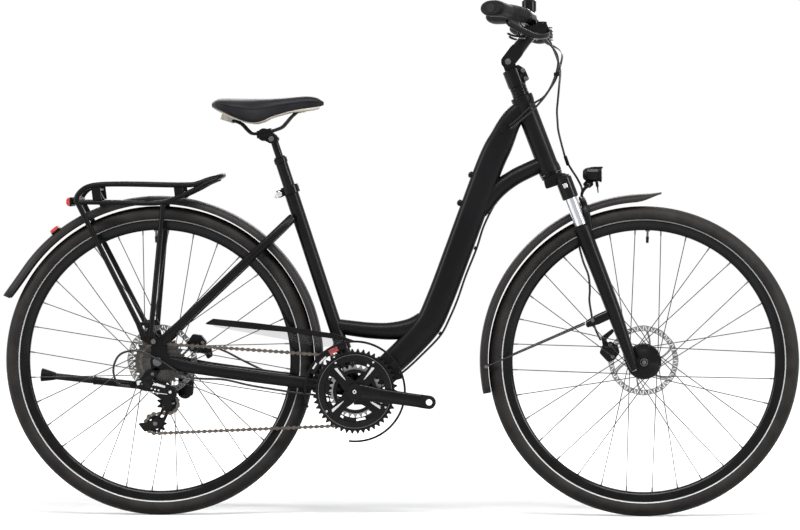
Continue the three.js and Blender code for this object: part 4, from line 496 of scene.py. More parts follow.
def rounded(outline, radius):
    """An outline of x and z corners with every corner turned round."""
    points = [Vector(point) for point in outline]
    result = []
    for i, corner in enumerate(points):
        before, after = points[i - 1] - corner, points[(i + 1) % len(points)] - corner
        cosine = max(-1, min(1, before.normalized().dot(after.normalized())))
        half = math.acos(cosine) / 2
        reach = radius / max(math.tan(half), 0.05)
        reach = min(reach, before.length * 0.45, after.length * 0.45)
        start, end = corner + before.normalized() * reach, corner + after.normalized() * reach
        for k in range(CORNER_STEPS + 1):
            s = k / CORNER_STEPS
            result.append(start.lerp(corner, s).lerp(corner.lerp(end, s), s))
    return [tuple(point) for point in result]


print("a rounded square has", len(rounded([(0, 0), (9, 0), (9, 9), (0, 9)], 2)), "points")


# %% Bodies
def loft(rings, closed=False):
    """A body skinned over rings of matching points."""
    count, points = len(rings[0]), [point for ring in rings for point in ring]
    faces = []
    for r in range(len(rings) if closed else len(rings) - 1):
        low, high = r * count, ((r + 1) % len(rings)) * count
        faces += [(low + i, low + (i + 1) % count, high + (i + 1) % count, high + i) for i in range(count)]
    if not closed:
        faces += [tuple(reversed(range(count))), tuple(range(len(points) - count, len(points)))]
    return points, faces


def sweep(points, sizes, sides=32, steps=40, square=2, side=(0, 1, 0)):
    """A body along a curve with a width and a depth that change."""
    side = Vector(side)
    rings = []
    for k, (centre, along) in enumerate(smooth_line(points, steps)):
        wide = (side - along * side.dot(along)).normalized()
        width, depth = read_table(sizes, k / steps)
        rings.append(ring_points(centre, wide, along.cross(wide), width, depth, sides, square))
    return loft(rings)


def pipe(points, radius, sides=14, steps=60, line=None):
    """A round tube of one size along a smooth route, without twist."""
    line = line or smooth_line(points, steps)
    guide = ACROSS if abs(line[0][1].y) < 0.7 else Vector((0, 0, 1))
    rings = []
    for centre, along in line:
        guide = (guide - along * guide.dot(along)).normalized()
        rings.append(ring_points(centre, guide, along.cross(guide), 2 * radius, 2 * radius, sides))
    return loft(rings)


def rod(start, end, radius, sides=24, end_radius=None, edge=0):
    """A straight round bar with eased ends."""
    start, end = Vector(start), Vector(end)
    along = (end - start).normalized()
    guide = Vector((0, 0, 1)) if abs(along.y) > 0.7 else ACROSS
    wide = (guide - along * guide.dot(along)).normalized()
    deep = along.cross(wide)
    end_radius = radius if end_radius is None else end_radius
    stations = [(start, radius), (end, end_radius)]
    if edge:
        stations = [(start, radius - edge), (start + along * edge, radius),
                    (end - along * edge, end_radius), (end, end_radius - edge)]
    return loft([ring_points(place, wide, deep, 2 * size, 2 * size, sides) for place, size in stations])


def turned(profile, segments=64, x=0, z=0):
    """A closed ring turned about a line across the bicycle; the profile holds radius and y."""
    rings = [[polar(radius, TURN * k / segments, y, x, z) for radius, y in profile] for k in range(segments)]
    return loft(rings, closed=True)


def bar(x, z, y_from, y_to, radius, sides=24, edge=0):
    """A round bar across the bicycle."""
    return rod((x, y_from, z), (x, y_to, z), radius, sides, edge=edge)


def upright(low, high, radius, sides=48, edge=0):
    """A round part about the z line of its own frame."""
    return rod((0, 0, low), (0, 0, high), radius, sides, edge=edge)


def plate(outline, y_one, y_two, holes=()):
    """A sheet cut to an outline of x and z corners, between two values of y."""
    loops = [[Vector((x, z, 0)) for x, z in loop] for loop in (outline, *holes)]
    flat = [point for loop in loops for point in loop]
    count = len(flat)
    triangles = tessellate_polygon(loops) if holes else [tuple(range(count))]
    faces = []
    for triangle in triangles:
        faces.append(tuple(triangle))
        faces.append(tuple(i + count for i in reversed(triangle)))
    start = 0
    for loop in loops:
        n = len(loop)
        for i in range(n):
            one, two = start + i, start + (i + 1) % n
            faces.append((one, two, two + count, one + count))
        start += n
    points = [Vector((p.x, y, p.y)) for y in (y_one, y_two) for p in flat]
    return points, faces


def cut(outline, radius, y_one, y_two, holes=()):
    """A plate with every corner rounded."""
    return plate(rounded(outline, radius), y_one, y_two, holes)


def block(length, width, height, centre, tip=0):
    """A rectangular block about a centre, tipped in the side view."""
    half = (length / 2, width / 2, height / 2)
    turn = Matrix.Rotation(-tip, 3, "Y")
    signs = [(a, b, c) for a in (-1, 1) for b in (-1, 1) for c in (-1, 1)]
    corners = [turn @ Vector([s * h for s, h in zip(sign, half)]) + Vector(centre) for sign in signs]
    return corners, [(0, 1, 3, 2), (4, 6, 7, 5), (0, 4, 5, 1), (2, 3, 7, 6), (0, 2, 6, 4), (1, 5, 7, 3)]


def ball(centre, radius, sides=10, rows=6):
    """A rounded knob."""
    rings = []
    for r in range(rows + 1):
        angle = math.pi * (r + 0.001) / (rows + 0.002) - math.pi / 2
        size, height = math.cos(angle) * radius, radius * math.sin(angle)
        ring = [(*spot(size, TURN * i / sides), height) for i in range(sides)]
        rings.append([Vector(centre) + Vector(point) for point in ring])
    return loft(rings)


def hex_head(centre, axis, radius, height, sides=6):
    """A bolt head or a nut that stands on a point."""
    centre, axis = Vector(centre), Vector(axis).normalized()
    return rod(centre, centre + axis * height, radius, sides, edge=height * 0.12)


def placed(shell, matrix):
    return [matrix @ Vector(point) for point in shell[0]], shell[1]


print("a block has", len(block(1, 1, 1, (0, 0, 0))[1]), "faces")


# %% Pieces
SHARP = math.radians(34)
made = []


class Piece:
    """Collects closed shells in millimetres and turns them into one object."""

    def __init__(self, name, place=HERE, finish=satin):
        self.name, self.place = name, place
        self.mesh = bmesh.new()
        self.finishes, self.index = [], 0
        self.painted(finish)

    def painted(self, finish):
        """The finish of everything added from here on."""
        if finish.material not in self.finishes:
            self.finishes.append(finish.material)
        self.index = self.finishes.index(finish.material)
        return self

    def add(self, *shells):
        for points, faces in shells:
            verts = [self.mesh.verts.new(to_world @ (self.place @ Vector(point))) for point in points]
            new = [self.mesh.faces.new([verts[i] for i in face]) for face in faces]
            for face in new:
                face.material_index = self.index
                face.smooth = True
            bmesh.ops.recalc_face_normals(self.mesh, faces=new)
        return self

    def object(self, bevel=0, sharp=SHARP):
        """Shades it smooth, with crisp edges that are eased by a small bevel."""
        for edge in self.mesh.edges:
            if len(edge.link_faces) == 2 and edge.calc_face_angle(0) > sharp:
                edge.smooth = False
        data = bpy.data.meshes.new(self.name)
        self.mesh.to_mesh(data)
        self.mesh.free()
        for material in self.finishes:
            data.materials.append(material)
        obj = bpy.data.objects.new(self.name, data)
        bpy.context.collection.objects.link(obj)
        if bevel:
            ease = obj.modifiers.new("eased_edges", "BEVEL")
            ease.width = bevel * MM
            ease.segments = 2
            ease.limit_method = "ANGLE"
            ease.angle_limit = sharp
            ease.harden_normals = True
        made.append(obj)
        return obj

    def riding(self, body, *nodes, slot="satin_black", bevel=0, sharp=SHARP):
        obj = self.object(bevel, sharp)
        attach(obj, body)
        if nodes:
            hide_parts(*nodes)
        return obj

    def bending(self, one, two, start, end, *nodes, slot=None):
        obj = self.object()
        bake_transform(obj)
        if nodes:
            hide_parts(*nodes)
        return obj


print("crisp edges above", round(math.degrees(SHARP)), "degrees")

# %% [markdown]
# ## Wheels
# A tyre is an open hose that the rim closes: it bulges past the rim edge and is widest a third of the way
# up. The rim is a hollow box with a raised edge for the bead. Thirty-two spokes run straight from the hub
# flanges, half of them leading and half trailing, so that they cross and take both pulling and braking.
#

# %% Tyres and rims
TYRE_HALF = [(308.3, 8.2), (313, 9.4), (317, 11), (320, 14.6), (324, 18.2), (330, 20.9), (336, 21),
             (341, 18.9), (345, 15.6), (348.4, 11.2), (350.8, 6), (351.9, 2)]
RIM_HALF = [(297, 2.5), (297.6, 5.2), (300, 8), (306, 10.6), (312, 11.9), (317.6, 12.5), (318.3, 11.9),
            (318.2, 11.1), (312, 9.4), (308, 8.5)]
VALVE_ROOT, VALVE_LENGTH, CAP_FROM, CAP_TO = 299, 29, 16, 30.5
VALVE_LEAN = math.radians(1.7)


def both_halves(half):
    return [*half, *[(radius, -y) for radius, y in reversed(half)]]


for name, place, rubber, lean in (("front", FRONT, front_rubber, VALVE_LEAN),
                                  ("rear", REAR, rear_rubber, -VALVE_LEAN)):
    tyre = Piece(f"{name}_tyre_rubber", place, rubber)
    tyre.add(turned(both_halves(TYRE_HALF), 200))
    tyre.riding(f"{name} wheel", f"{name}_tyre", slot="tyre")
    rim = Piece(f"{name}_rim_hoop", place)
    rim.add(turned(both_halves(RIM_HALF), 180))
    angle = math.pi / 2 - lean
    inward = -polar(1, angle)
    root = polar(VALVE_ROOT, angle)
    rim.painted(steel).add(rod(root, root + inward * VALVE_LENGTH, 2.6, 16))
    rim.add(hex_head(root + inward * 1.5, inward, 5, 3))
    rim.painted(plastic).add(rod(root + inward * CAP_FROM, root + inward * CAP_TO, 3.7, 16, 3.1, edge=0.6))
    rim.riding(f"{name} wheel", f"{name}_rim")
print("tyres and rims", len(made))

# %% Hubs and laced spokes
SPOKES = 32
SPOKE_RADIUS, SPOKE_HUB, SPOKE_END = 1.05, 36.6, 298
SPOKE_SWEEP, SPOKE_WEAVE = math.radians(53.8), 1.9
SPOKE_HEAD, HEAD_INSET = 2.1, 0.6
RIM_SIDE, RIM_WEAVE = 2.2, 1.2
NIPPLE_LENGTH, NIPPLE_TOP, NIPPLE_FOOT = 11, 1.7, 2
SPOKE_START = math.radians(3.75)
FRONT_HUB = [(7, -46), (11.4, -46), (12, -45.2), (12, -42), (26, -38), (32, -34.5), (39.2, -33.1),
             (39.8, -32.4), (39.8, -27.6), (39.2, -26.9), (33.5, -26), (33, -25), (33, 20), (33.5, 21),
             (39.2, 21.9), (39.8, 22.6), (39.8, 27.4), (39.2, 28.1), (30, 31), (21, 37), (20, 38.2),
             (19.5, 38.8), (7, 38.8)]
REAR_HUB = [(7, -28.4), (11.4, -28.4), (12, -27.8), (12, -23.1), (38.4, -23.1), (39, -22.4), (39, -17.6),
            (38.4, -16.9), (24, -14), (20, -8), (20, 20), (24, 27), (38.4, 28.9), (39, 29.6), (39, 34.4),
            (38.4, 35.1), (22, 37), (20, 42), (20, 50.2), (19.4, 50.8), (7, 50.8)]


def lace(piece, first, flange_left, flange_right):
    """Adds the spokes and nipples of one wheel."""
    for k in range(SPOKES):
        rim_angle = -math.pi / 2 + first + TURN * k / SPOKES
        side = LEFT if k % 2 == 0 else RIGHT
        lead = 1 if k % 4 < 2 else -1
        flange = flange_left if side == LEFT else -flange_right
        start = polar(SPOKE_HUB, rim_angle + lead * SPOKE_SWEEP, flange + lead * SPOKE_WEAVE)
        end = polar(SPOKE_END, rim_angle, side * RIM_SIDE + lead * RIM_WEAVE)
        along = (end - start).normalized()
        piece.painted(spoke_black).add(rod(start, end, SPOKE_RADIUS, 10))
        piece.add(ball(start - along * HEAD_INSET, SPOKE_HEAD))
        piece.painted(steel).add(rod(end - along * NIPPLE_LENGTH, end, NIPPLE_TOP, 10, NIPPLE_FOOT))


for name, place, profile, first, left, right in (("front", FRONT, FRONT_HUB, SPOKE_START, 25, 30),
                                                 ("rear", REAR, REAR_HUB, -SPOKE_START, 32, 20)):
    hub = Piece(f"{name}_hub_laced", place)
    hub.add(turned(profile, 72))
    lace(hub, first, left, right)
    hub.riding(f"{name} wheel", f"{name}_hub", bevel=0.3)
print("hubs", len(made))

# %% [markdown]
# The disc is cut from steel sheet. Its track is drilled with rows of holes that clear water and save
# weight, and its arms sweep back so that braking pulls on them. The axle goes through the hub and is held
# by domed nuts.

# %% Rotors
SLOTS, SLOT_RADII, SLOT_HALF = 72, (68.6, 77.6), 0.011
WAVES, WAVE_RADIUS, WAVE_HEIGHT = 12, 79.4, 0.6
DISC_HALF, TRACK_INSIDE = 0.9, 67
ARMS, ARM_ROOT, ARM_SPAN, ARM_SWEEP = 6, 24, 45, math.radians(24)


def slot_outline(k):
    """One slanted slot of the track; every second one slants the other way."""
    middle, lean = TURN * k / SLOTS, 0.035 if k % 2 else -0.012
    inner, outer = SLOT_RADII
    corners = ((inner, -lean - SLOT_HALF), (inner, -lean + SLOT_HALF), (outer, lean + SLOT_HALF),
               (outer, lean - SLOT_HALF))
    return [spot(radius, middle + angle) for radius, angle in corners]


def arm_outline(angle):
    """One swept arm, a little thinner half way."""
    line = []
    for share in (0, 0.25, 0.5, 0.75, 1):
        half = 3.6 - 1.2 * math.sin(math.pi * share)
        line.append((ARM_ROOT + ARM_SPAN * share, angle + ARM_SWEEP * share, half))
    outline = [spot(r, a - h / r) for r, a, h in line]
    return outline + [spot(r, a + h / r) for r, a, h in reversed(line)]


for name, place, y in (("front", FRONT, 40), ("rear", REAR, 52)):
    disc = Piece(f"{name}_disc", place, rotor_steel)
    wave_angles = [TURN * i / (12 * WAVES) for i in range(12 * WAVES)]
    wave = [spot(WAVE_RADIUS + WAVE_HEIGHT * math.cos(WAVES * a), a) for a in wave_angles]
    slots = [slot_outline(k) for k in range(SLOTS)]
    disc.add(plate(wave, y - DISC_HALF, y + DISC_HALF, [circle(TRACK_INSIDE, 96), *slots]))
    for k in range(ARMS):
        disc.add(plate(arm_outline(TURN * k / ARMS), y - 0.85, y + 0.85))
    disc.painted(satin).add(plate(circle(27, 48), y - DISC_HALF, y + DISC_HALF, [circle(12, 32)]))
    disc.painted(steel)
    for k in range(ARMS):
        disc.add(hex_head(polar(22, TURN * (k + 0.5) / ARMS, y + DISC_HALF), (0, 1, 0), 3.4, 1.4, 12))
    disc.riding(f"{name} wheel", f"{name}_rotor", slot="bright_steel", bevel=0.15)
print("discs", len(made))

# %% Axles
WASHER, NUT = 1.6, 4.9
axle = Piece("front_axle_nuts", FRONT, steel)
axle.add(bar(0, 0, -66, 66, 5, 20, edge=0.8), bar(0, 0, -50.1, -46.6, 9, 24, 0.4),
         bar(0, 0, 41.5, 50.1, 9, 24, 0.4))
axle.add(bar(0, 0, -20, 20, 29, 32))
for side in SIDES:
    axle.add(bar(0, 0, side * 58.3, side * (58.3 + WASHER), 9, 32, 0.4))
    axle.painted(satin).add(hex_head((0, side * (58.3 + WASHER), 0), (0, side, 0), 8, NUT))
    axle.painted(steel)
axle.riding("lowers", "front_axle", slot="dark_steel", bevel=0.2)

axle = Piece("rear_axle_nuts", REAR, steel)
axle.add(bar(0, 0, -82, 82, 5, 20, edge=0.8), bar(0, 0, 53.4, 67.3, 10, 24, 0.4))
for side in SIDES:
    axle.add(bar(0, 0, side * 73.7, side * (73.7 + WASHER), 10, 32, 0.4))
    axle.add(hex_head((0, side * (73.7 + WASHER), 0), (0, side, 0), 8.6, NUT))
axle.riding("frame", "rear_axle", slot="dark_steel", bevel=0.2)
print("axles", len(made))

# %% [markdown]
# ## Frame
# The main tube is drawn from one large tube: deep and rounded at the bracket, and tapering to the head. It
# starts almost flat, which gives the low step, and rises in a curve. A short gusset below joins it to the
# long head tube. A curved cross tube ties its bend to the seat tube.


# %% Frame helpers
def on_seat(along, y=0):
    return SEAT @ Vector((0, y, along))


def on_steer(along, forward=0, y=0):
    return STEER @ Vector((forward, y, along))


print("head of the seat tube", [round(c) for c in on_seat(486.5)])

# %% Main tube, head tube and gusset
HEAD_JOINT = (830, 932)
TUBE_SHARES = [(0.045, 0.016), (0.2245, 0.1036), (0.334, 0.167), (0.431, 0.235), (0.495, 0.317),
               (0.607, 0.493), (0.6945, 0.634), (0.8065, 0.809), (0.863, 0.879), (0.924, 0.951), (1, 1)]
TUBE_SIZES = [(0, 44, 50), (0.12, 46, 58), (0.3, 45, 62), (0.85, 44, 62), (1, 40, 40)]
GUSSET = [(884, 806), (848, 790), (806, 769), (770, 742), (742, 708), (716, 664)]
GUSSET_SIZES = [(0, 34, 36), (0.55, 35, 39), (0.8, 35, 38), (1, 24, 14)]
HEAD_LOW, HEAD_HIGH, HEAD_RADIUS = 473.5, 660.7, 23.5
HEAD_PROFILE = [(HEAD_LOW, 25.2), (HEAD_LOW + 3, 25.8), (HEAD_LOW + 14, 25.4), (HEAD_LOW + 22, HEAD_RADIUS),
                (HEAD_HIGH - 22, HEAD_RADIUS), (HEAD_HIGH - 14, 25), (HEAD_HIGH - 3, 25.4), (HEAD_HIGH, 24.6)]
BOTTLE_BOSSES = ((706.5, 776, 24), (681, 712, 20.5))
PORT_AT, PORT_TIP = (782.4, 880.2), math.radians(77)
run, rise = HEAD_JOINT[0] - BRACKET[0], HEAD_JOINT[1] - BRACKET[2]
tube_line = [Vector((BRACKET[0] + x * run, 0, BRACKET[2] + z * rise)) for x, z in TUBE_SHARES]

tube = Piece("main_tube_painted", finish=paint)
tube.add(sweep(tube_line, TUBE_SIZES, 40, 90, 2.7))
tube.add(sweep([on_side(p) for p in GUSSET], GUSSET_SIZES, 28, 40))
deep = steer_direction.cross(ACROSS)
tube.add(loft([ring_points(on_steer(s), ACROSS, deep, 2 * r, 2 * r, 56) for s, r in HEAD_PROFILE]))
for x, z, tip in BOTTLE_BOSSES:
    out = Vector((-math.cos(math.radians(tip)), 0, math.sin(math.radians(tip))))
    foot = on_side((x, z))
    tube.painted(paint).add(rod(foot - out * 8, foot + out * 2.2, 7.5, 28, edge=0.8))
    tube.painted(steel).add(rod(foot + out * 2, foot + out * 4.6, 4.6, 24, edge=0.7))
tube.painted(satin).add(block(22, 7, 12, on_side(PORT_AT, -20.5), PORT_TIP))
tube.riding("frame", "main_tube", slot="frame_black", bevel=0.6)

cups = Piece("headset_cups", STEER)
cups.add(upright(HEAD_LOW - 9.3, HEAD_LOW - 5, 24.8, 56, 0.8),
         upright(HEAD_LOW - 4.4, HEAD_LOW - 0.3, 25.6, 56, 0.8))
cups.riding("fork")
print("main tube", len(made))

# %% [markdown]
# The seat tube is round and clear-cut, with the bracket shell across its foot. The tube that ties it to the
# main tube swells towards its front end, where it meets the bend on a long weld.

# %% Seat tube, bracket shell and cross tube
CROSS_TUBE = [(395, 432), (430, 427), (480, 421), (530, 420), (575, 428), (604, 442), (628, 462)]
CROSS_SIZES = [(0, 27, 34), (0.45, 28, 38), (0.7, 32, 44), (0.86, 34, 50), (1, 24, 20)]
SEAT_TUBE_TOP, SEAT_TUBE_RADIUS = 486.5, 15.9
SHELL_HALF, SHELL_RADIUS, SHELL_CUP = 33.4, 22, 20.6
seat_tube = Piece("seat_tube_painted", finish=paint)
seat_tube.add(rod(on_seat(0), on_seat(SEAT_TUBE_TOP), SEAT_TUBE_RADIUS, 48, edge=0.6))
seat_tube.add(bar(*BRACKET_AT, -SHELL_HALF, SHELL_HALF, SHELL_RADIUS, 64, 1.2))
seat_tube.add(sweep([on_side(p) for p in CROSS_TUBE], CROSS_SIZES, 36, 40))
seat_tube.painted(satin)
for side in SIDES:
    seat_tube.add(bar(*BRACKET_AT, side * 33, side * 37.4, SHELL_CUP, 48, 0.8))
seat_tube.riding("frame", "seat_tube", slot="frame_black", bevel=0.4)
print("seat tube", len(made))

# %% [markdown]
# Chain stays and seat stays are ovalised tubes that end flat on plate dropouts. The right one carries the
# hanger for the rear derailleur.

# %% Stays
CHAIN_STAY = [(427, 24, 288), (400, 28.4, 292), (385, 31, 294.5), (368, 35.2, 297.5), (335, 38, 303),
              (206, 48, 320), (100, 58.5, 335), (70, 63.4, 340), (30, 67.5, 348), (6, 70.5, 352)]
CHAIN_STAY_SIZES = [(0, 12, 30), (0.12, 13, 28), (0.5, 16, 28), (0.76, 14, 26), (0.93, 8, 28), (1, 5.6, 30)]
SEAT_STAY = [(302, 17, 677), (285, 31, 660), (256, 40.5, 632), (120, 55, 503), (28, 68.5, 415),
             (4, 70.5, 392)]
SEAT_STAY_SIZES = [(0, 15, 20), (0.2, 17, 20), (0.85, 15, 19), (0.95, 8, 22), (1, 5.6, 24)]
DROPOUT = [(22, 368), (14, 400), (-4, 404), (-14, 386), (-15, 350), (-14, 334), (8, 333), (34, 336),
           (38, 352)]
HANGER = [(-2, 340), (-22, 330), (-18, 314), (-4, 316), (8, 334)]
PLATE_IN, PLATE_OUT = 67.6, 73.4
for side, word in NAMED_SIDES:
    stays = Piece(f"stays_{word}_painted", finish=paint)
    stays.add(sweep(mirrored(CHAIN_STAY, side), CHAIN_STAY_SIZES, 28, 60, 2.2))
    stays.add(sweep(mirrored(SEAT_STAY, side), SEAT_STAY_SIZES, 28, 60, 2.2))
    stays.add(cut(DROPOUT, 6, side * PLATE_IN, side * PLATE_OUT, [circle(5.6, 24, 0, AXLE)]))
    if side == RIGHT:
        stays.add(cut(HANGER, 6, -PLATE_IN, -PLATE_OUT))
        stays.painted(steel).add(bar(-9.5, 325, -73, -75.5, 5.5, 24, 0.5))
    stays.riding("frame", f"rear_stays_{word}", slot="frame_black", bevel=0.4)
print("frame tubes", len(made))

# %% [markdown]
# ## Seat
# The post slides in the seat tube and is held by a split collar whose quick lever lies along the left. A
# second, sprung rod runs inside the post. The saddle is a wide moulded shell with a thick stitched cushion,
# carried by two steel rails.

# %% Seat collar, post and lever
CLAMP_X, CLAMP_Z = -26, 478
EAR = (15, 6.4, 16)
LEVER_RUN, LEVER_Y = 46, 20.5
LEVER_SHARES = (0, 0.08, 0.2, 0.35, 0.5, 0.65, 0.8, 0.9, 0.97, 1)
collar = Piece("seat_collar", SEAT)
collar.add(upright(470, 489.5, 20.6, 56, 1))
collar.add(block(*EAR, (-24, 4.8, 478.5)), block(*EAR, (-24, -4.8, 478.5)))
collar.painted(chrome).add(rod((CLAMP_X, -9.5, CLAMP_Z), (CLAMP_X, 12, CLAMP_Z), 3, 20))
collar.add(hex_head((CLAMP_X, -8, CLAMP_Z), (0, -1, 0), 6.4, 5, 32))
collar.add(hex_head((-34, -8, 475.5), (0, -1, 0), 5.6, 4.4, 32))
collar.add(rod((CLAMP_X, -10, CLAMP_Z), (-35, -10, 475.5), 3, 20))
collar.riding("frame", "seat_clamp", slot="frame_black", bevel=0.5)


def lever_ring(s):
    """One section of the flat lever, which widens and curves away from the tube."""
    middle = Vector((CLAMP_X + LEVER_RUN * s, LEVER_Y + 3.6 * min(1, 3 * s) + 2 * s * s, CLAMP_Z + 2 * s))
    width, depth = 5.4 - s, 9 + 5.2 * s * (1.12 - s * s * 0.4)
    return ring_points(middle, ACROSS, Vector((0, 0, 1)), width, depth, 28, 2.6)


lever = Piece("seat_collar_lever", SEAT, silver)
lever.add(rod((CLAMP_X, 17.6, 469.8), (CLAMP_X, 17.6, 486.2), 6, 32, edge=0.8))
lever.add(loft([lever_ring(s) for s in LEVER_SHARES]))
lever.riding("clamp lever", "seat_clamp_lever", slot="bright_steel", bevel=0.4)

post = Piece("seat_post_tube", SEAT)
post.add(upright(300, 545, 13.6, edge=0.5), upright(543, 556, 15.2, edge=1.2))
post.painted(plastic).add(upright(555, 559, 13, 40, 1.2))
post.riding("seatpost", "seatpost", slot="frame_black")

spring_rod = Piece("sprung_rod", SEAT)
spring_rod.add(upright(440, 602, 8.75, 40, 0.4), rod((0, -12, 602), (0, 12, 602), 11, 40, edge=0.8))
spring_rod.riding("seat rod", "seatpost_rod", slot="frame_black", bevel=0.3)
print("seat posts", len(made))

# %% [markdown]
# The cushion is drawn as it is sewn: a smooth top panel, a side panel that meets it at a piped seam half
# way down, and the skirt that is pulled under the shell. Its top dips a little where the rider sits.

# %% Saddle cushion
SADDLE_TOP = [(122, 937), (126, 944), (137.7, 948.5), (160, 949), (205.9, 947.8), (247, 947.4),
              (285.5, 949.6), (330.9, 953.6), (350, 952.6), (362, 949), (369, 944.5), (373.4, 939)]
SADDLE_LOW = [(122, 928.5), (130, 924), (145, 917.5), (162, 909), (185.4, 899.6), (202, 893.8),
              (219.3, 891.5), (238, 896), (256.8, 906.3), (297.6, 918.6), (330, 924.5), (356, 928),
              (367, 930), (373.4, 934)]
SADDLE_HALF = [(122, 40), (126, 60), (137, 74), (160, 82), (185, 80), (206, 70), (230, 52), (256, 38),
               (290, 27), (330, 22.5), (352, 20.5), (363, 17), (369, 12), (373.4, 5)]
SADDLE_CROWN = [(0, 1), (0.22, 0.995), (0.42, 0.965), (0.6, 0.9), (0.76, 0.78), (0.88, 0.6), (0.96, 0.36),
                (1, 0.1)]
SADDLE_SIDE = [(1.005, -0.1), (1, -0.3), (0.985, -0.55), (0.95, -0.8), (0.87, -0.98), (0.7, -1),
               (0.35, -1)]
SADDLE_BACK, SADDLE_LENGTH, SADDLE_RINGS = 122, 251.4, 46
SEAM_SHARE, SEAM_AT, SEAM_INSET = 0.52, 7, 2
SMOOTH_REACH = 5


def softly(table, x):
    """A table read with its corners smoothed over a few millimetres."""
    low, high = table[0][0], table[-1][0]
    steps = (-SMOOTH_REACH, -SMOOTH_REACH / 2, 0, SMOOTH_REACH / 2, SMOOTH_REACH)
    reads = [read_table(table, min(high, max(low, x + d)))[0] for d in steps]
    return sum(reads) / len(reads)


def saddle_ring(x):
    top, low, half = softly(SADDLE_TOP, x), softly(SADDLE_LOW, x), softly(SADDLE_HALF, x)
    edge = low + (top - low) * SEAM_SHARE
    right = [(y * half, edge + (top - edge) * z) for y, z in SADDLE_CROWN]
    right += [(y * half, edge + (edge - low) * z) for y, z in SADDLE_SIDE]
    ring = right + [(-y, z) for y, z in reversed(right)][:-1]
    return [Vector((x, y, z)) for y, z in ring]


shares = [0.5 - 0.5 * math.cos(math.pi * k / SADDLE_RINGS) for k in range(SADDLE_RINGS + 1)]
stations = [SADDLE_BACK + SADDLE_LENGTH * share for share in shares]
vinyl = Finish("saddle_vinyl", (0.009, 0.009, 0.0105), 0.44, level=0.14)
hide = vinyl.cells(520)
folds = vinyl.noise(26, 5, 0.6)
vinyl.link("Base Color", vinyl.mix(folds.step(0.3, 0.7), (0.006, 0.006, 0.0075), (0.011, 0.011, 0.0135)))
vinyl.link("Roughness", folds * 0.14 + 0.4)
vinyl.bump(hide * 0.6 + folds * 1.4, 0.35, 0.0008)
cushion = Piece("saddle_cushion", finish=vinyl)
cushion.add(loft([saddle_ring(x) for x in stations]))
pad = cushion.riding("saddle", "saddle_cover", slot="cushion")
smooth = pad.modifiers.new("rounder", "SUBSURF")
smooth.levels = smooth.render_levels = 1
print("saddle rings", len(stations))

# %% [markdown]
# A thin cord covers the seam on each side. Under the cushion lies a cream plastic shell, which is drawn
# from the same outline a little smaller, so that it always follows the cushion's lower edge.

# %% Piping and shell
seam = Piece("saddle_piping", finish=vinyl)
for at in (SEAM_AT, -SEAM_AT):
    points = [saddle_ring(x)[at] for x in stations[SEAM_INSET:-SEAM_INSET]]
    seam.add(pipe([Vector((point.x, point.y * 1.002, point.z)) for point in points], 1.3, 10, 120))
seam.riding("saddle", slot="cushion")

SHELL_DROP = [(126, 2), (138, 3.2), (154, 3.6), (178, 3), (202, 2.4), (226, 2.4), (250, 2.8), (280, 3.4),
              (315, 5), (345, 6.5), (363, 5)]
SHELL_SECTION = ((1, -0.35), (0.98, 0.3), (0.9, 0.75), (0.7, 1))
SHELL_BACK, SHELL_LENGTH, SHELL_RINGS, SHELL_SHARE = 126, 237, 29, 0.86
shell_rings = []
section = [*SHELL_SECTION, *[(-y, z) for y, z in reversed(SHELL_SECTION)]]
for k in range(SHELL_RINGS + 1):
    x = SHELL_BACK + SHELL_LENGTH * k / SHELL_RINGS
    low, drop = softly(SADDLE_LOW, x), read_table(SHELL_DROP, x)[0]
    reach = softly(SADDLE_HALF, x) * SHELL_SHARE
    shell_rings.append([Vector((x, y * reach, low - z * drop)) for y, z in section])
shell = Piece("saddle_shell", finish=cream_shell)
shell.add(loft(shell_rings))
shell.add(block(30, 52, 13, (156, 0, 902.5), -0.32), block(20, 22, 8, (322, 0, 919.5), 0.2))
shell.painted(window_grey).add(block(14, 53, 8, (162, 0, 900), -0.32))
shell.riding("saddle", "saddle_base", slot="cream", bevel=0.6)
print("saddle shell", len(made))

# %% [markdown]
# Two steel wires carry the shell. They are bent, not cut, so each is one pipe along a route. The clamp
# grips their straight middle between two plates and tips them on the head of the post.

# %% Saddle rails and clamp
RAIL = [(166, 24, 897.5), (176, 24, 895.5), (188, 23, 889.5), (202, 22, 875), (211, 22, 868.6),
        (226, 22, 868.4), (248, 22, 872), (266, 22, 877.4), (279, 20, 883), (288, 17, 892), (301, 13, 907),
        (316, 11, 920)]
CLAMP_CHEEK = [(222, 862), (232, 856), (252, 846), (268, 846), (272, 858), (262, 868), (250, 876), (228, 874)]
CLAMP_TIP = math.radians(12)
rails = Piece("saddle_rails_and_clamp")
for side in SIDES:
    rails.add(pipe(mirrored(RAIL, side), 3.5, 20, 70))
    rails.add(cut(CLAMP_CHEEK, 4, side * 12.6, side * 18))
rails.add(bar(238, 866, -20, 20, 14.5, 48, 1.2))
for z in (873.5, 864.5):
    rails.add(block(33, 54, 8, (238.9, 0, z), CLAMP_TIP))
rails.painted(steel).add(bar(255, 857, -22, 22, 4, 20, 0.5))
for side in SIDES:
    rails.add(hex_head((255, side * 18, 857), (0, side, 0), 7, 5))
rails.riding("saddle", "saddle_rails", bevel=0.7)
print("seat", len(made))

# %% [markdown]
# ## Mudguards, rack and lamps
# Each mudguard is a thin moulded channel with a rounded crown and turned-in edges. The front one flares at
# its tip and hangs from the fork arch and one wire on each side; the rear one is held by the rack and
# carries a red reflector.


# %% Mudguards
GUARD_HALF = [(28.2, 18.5), (28, 15), (27.2, 10.5), (25, 6.2), (20, 2.8), (14, 1.1), (7, 0.3), (0, 0)]
GUARD_WALL, GUARD_INSET, END_ROUND, CROWN_DROP = 1.7, 0.935, 0.018, 2.9
FRONT_CROWN, REAR_CROWN = 372, 373


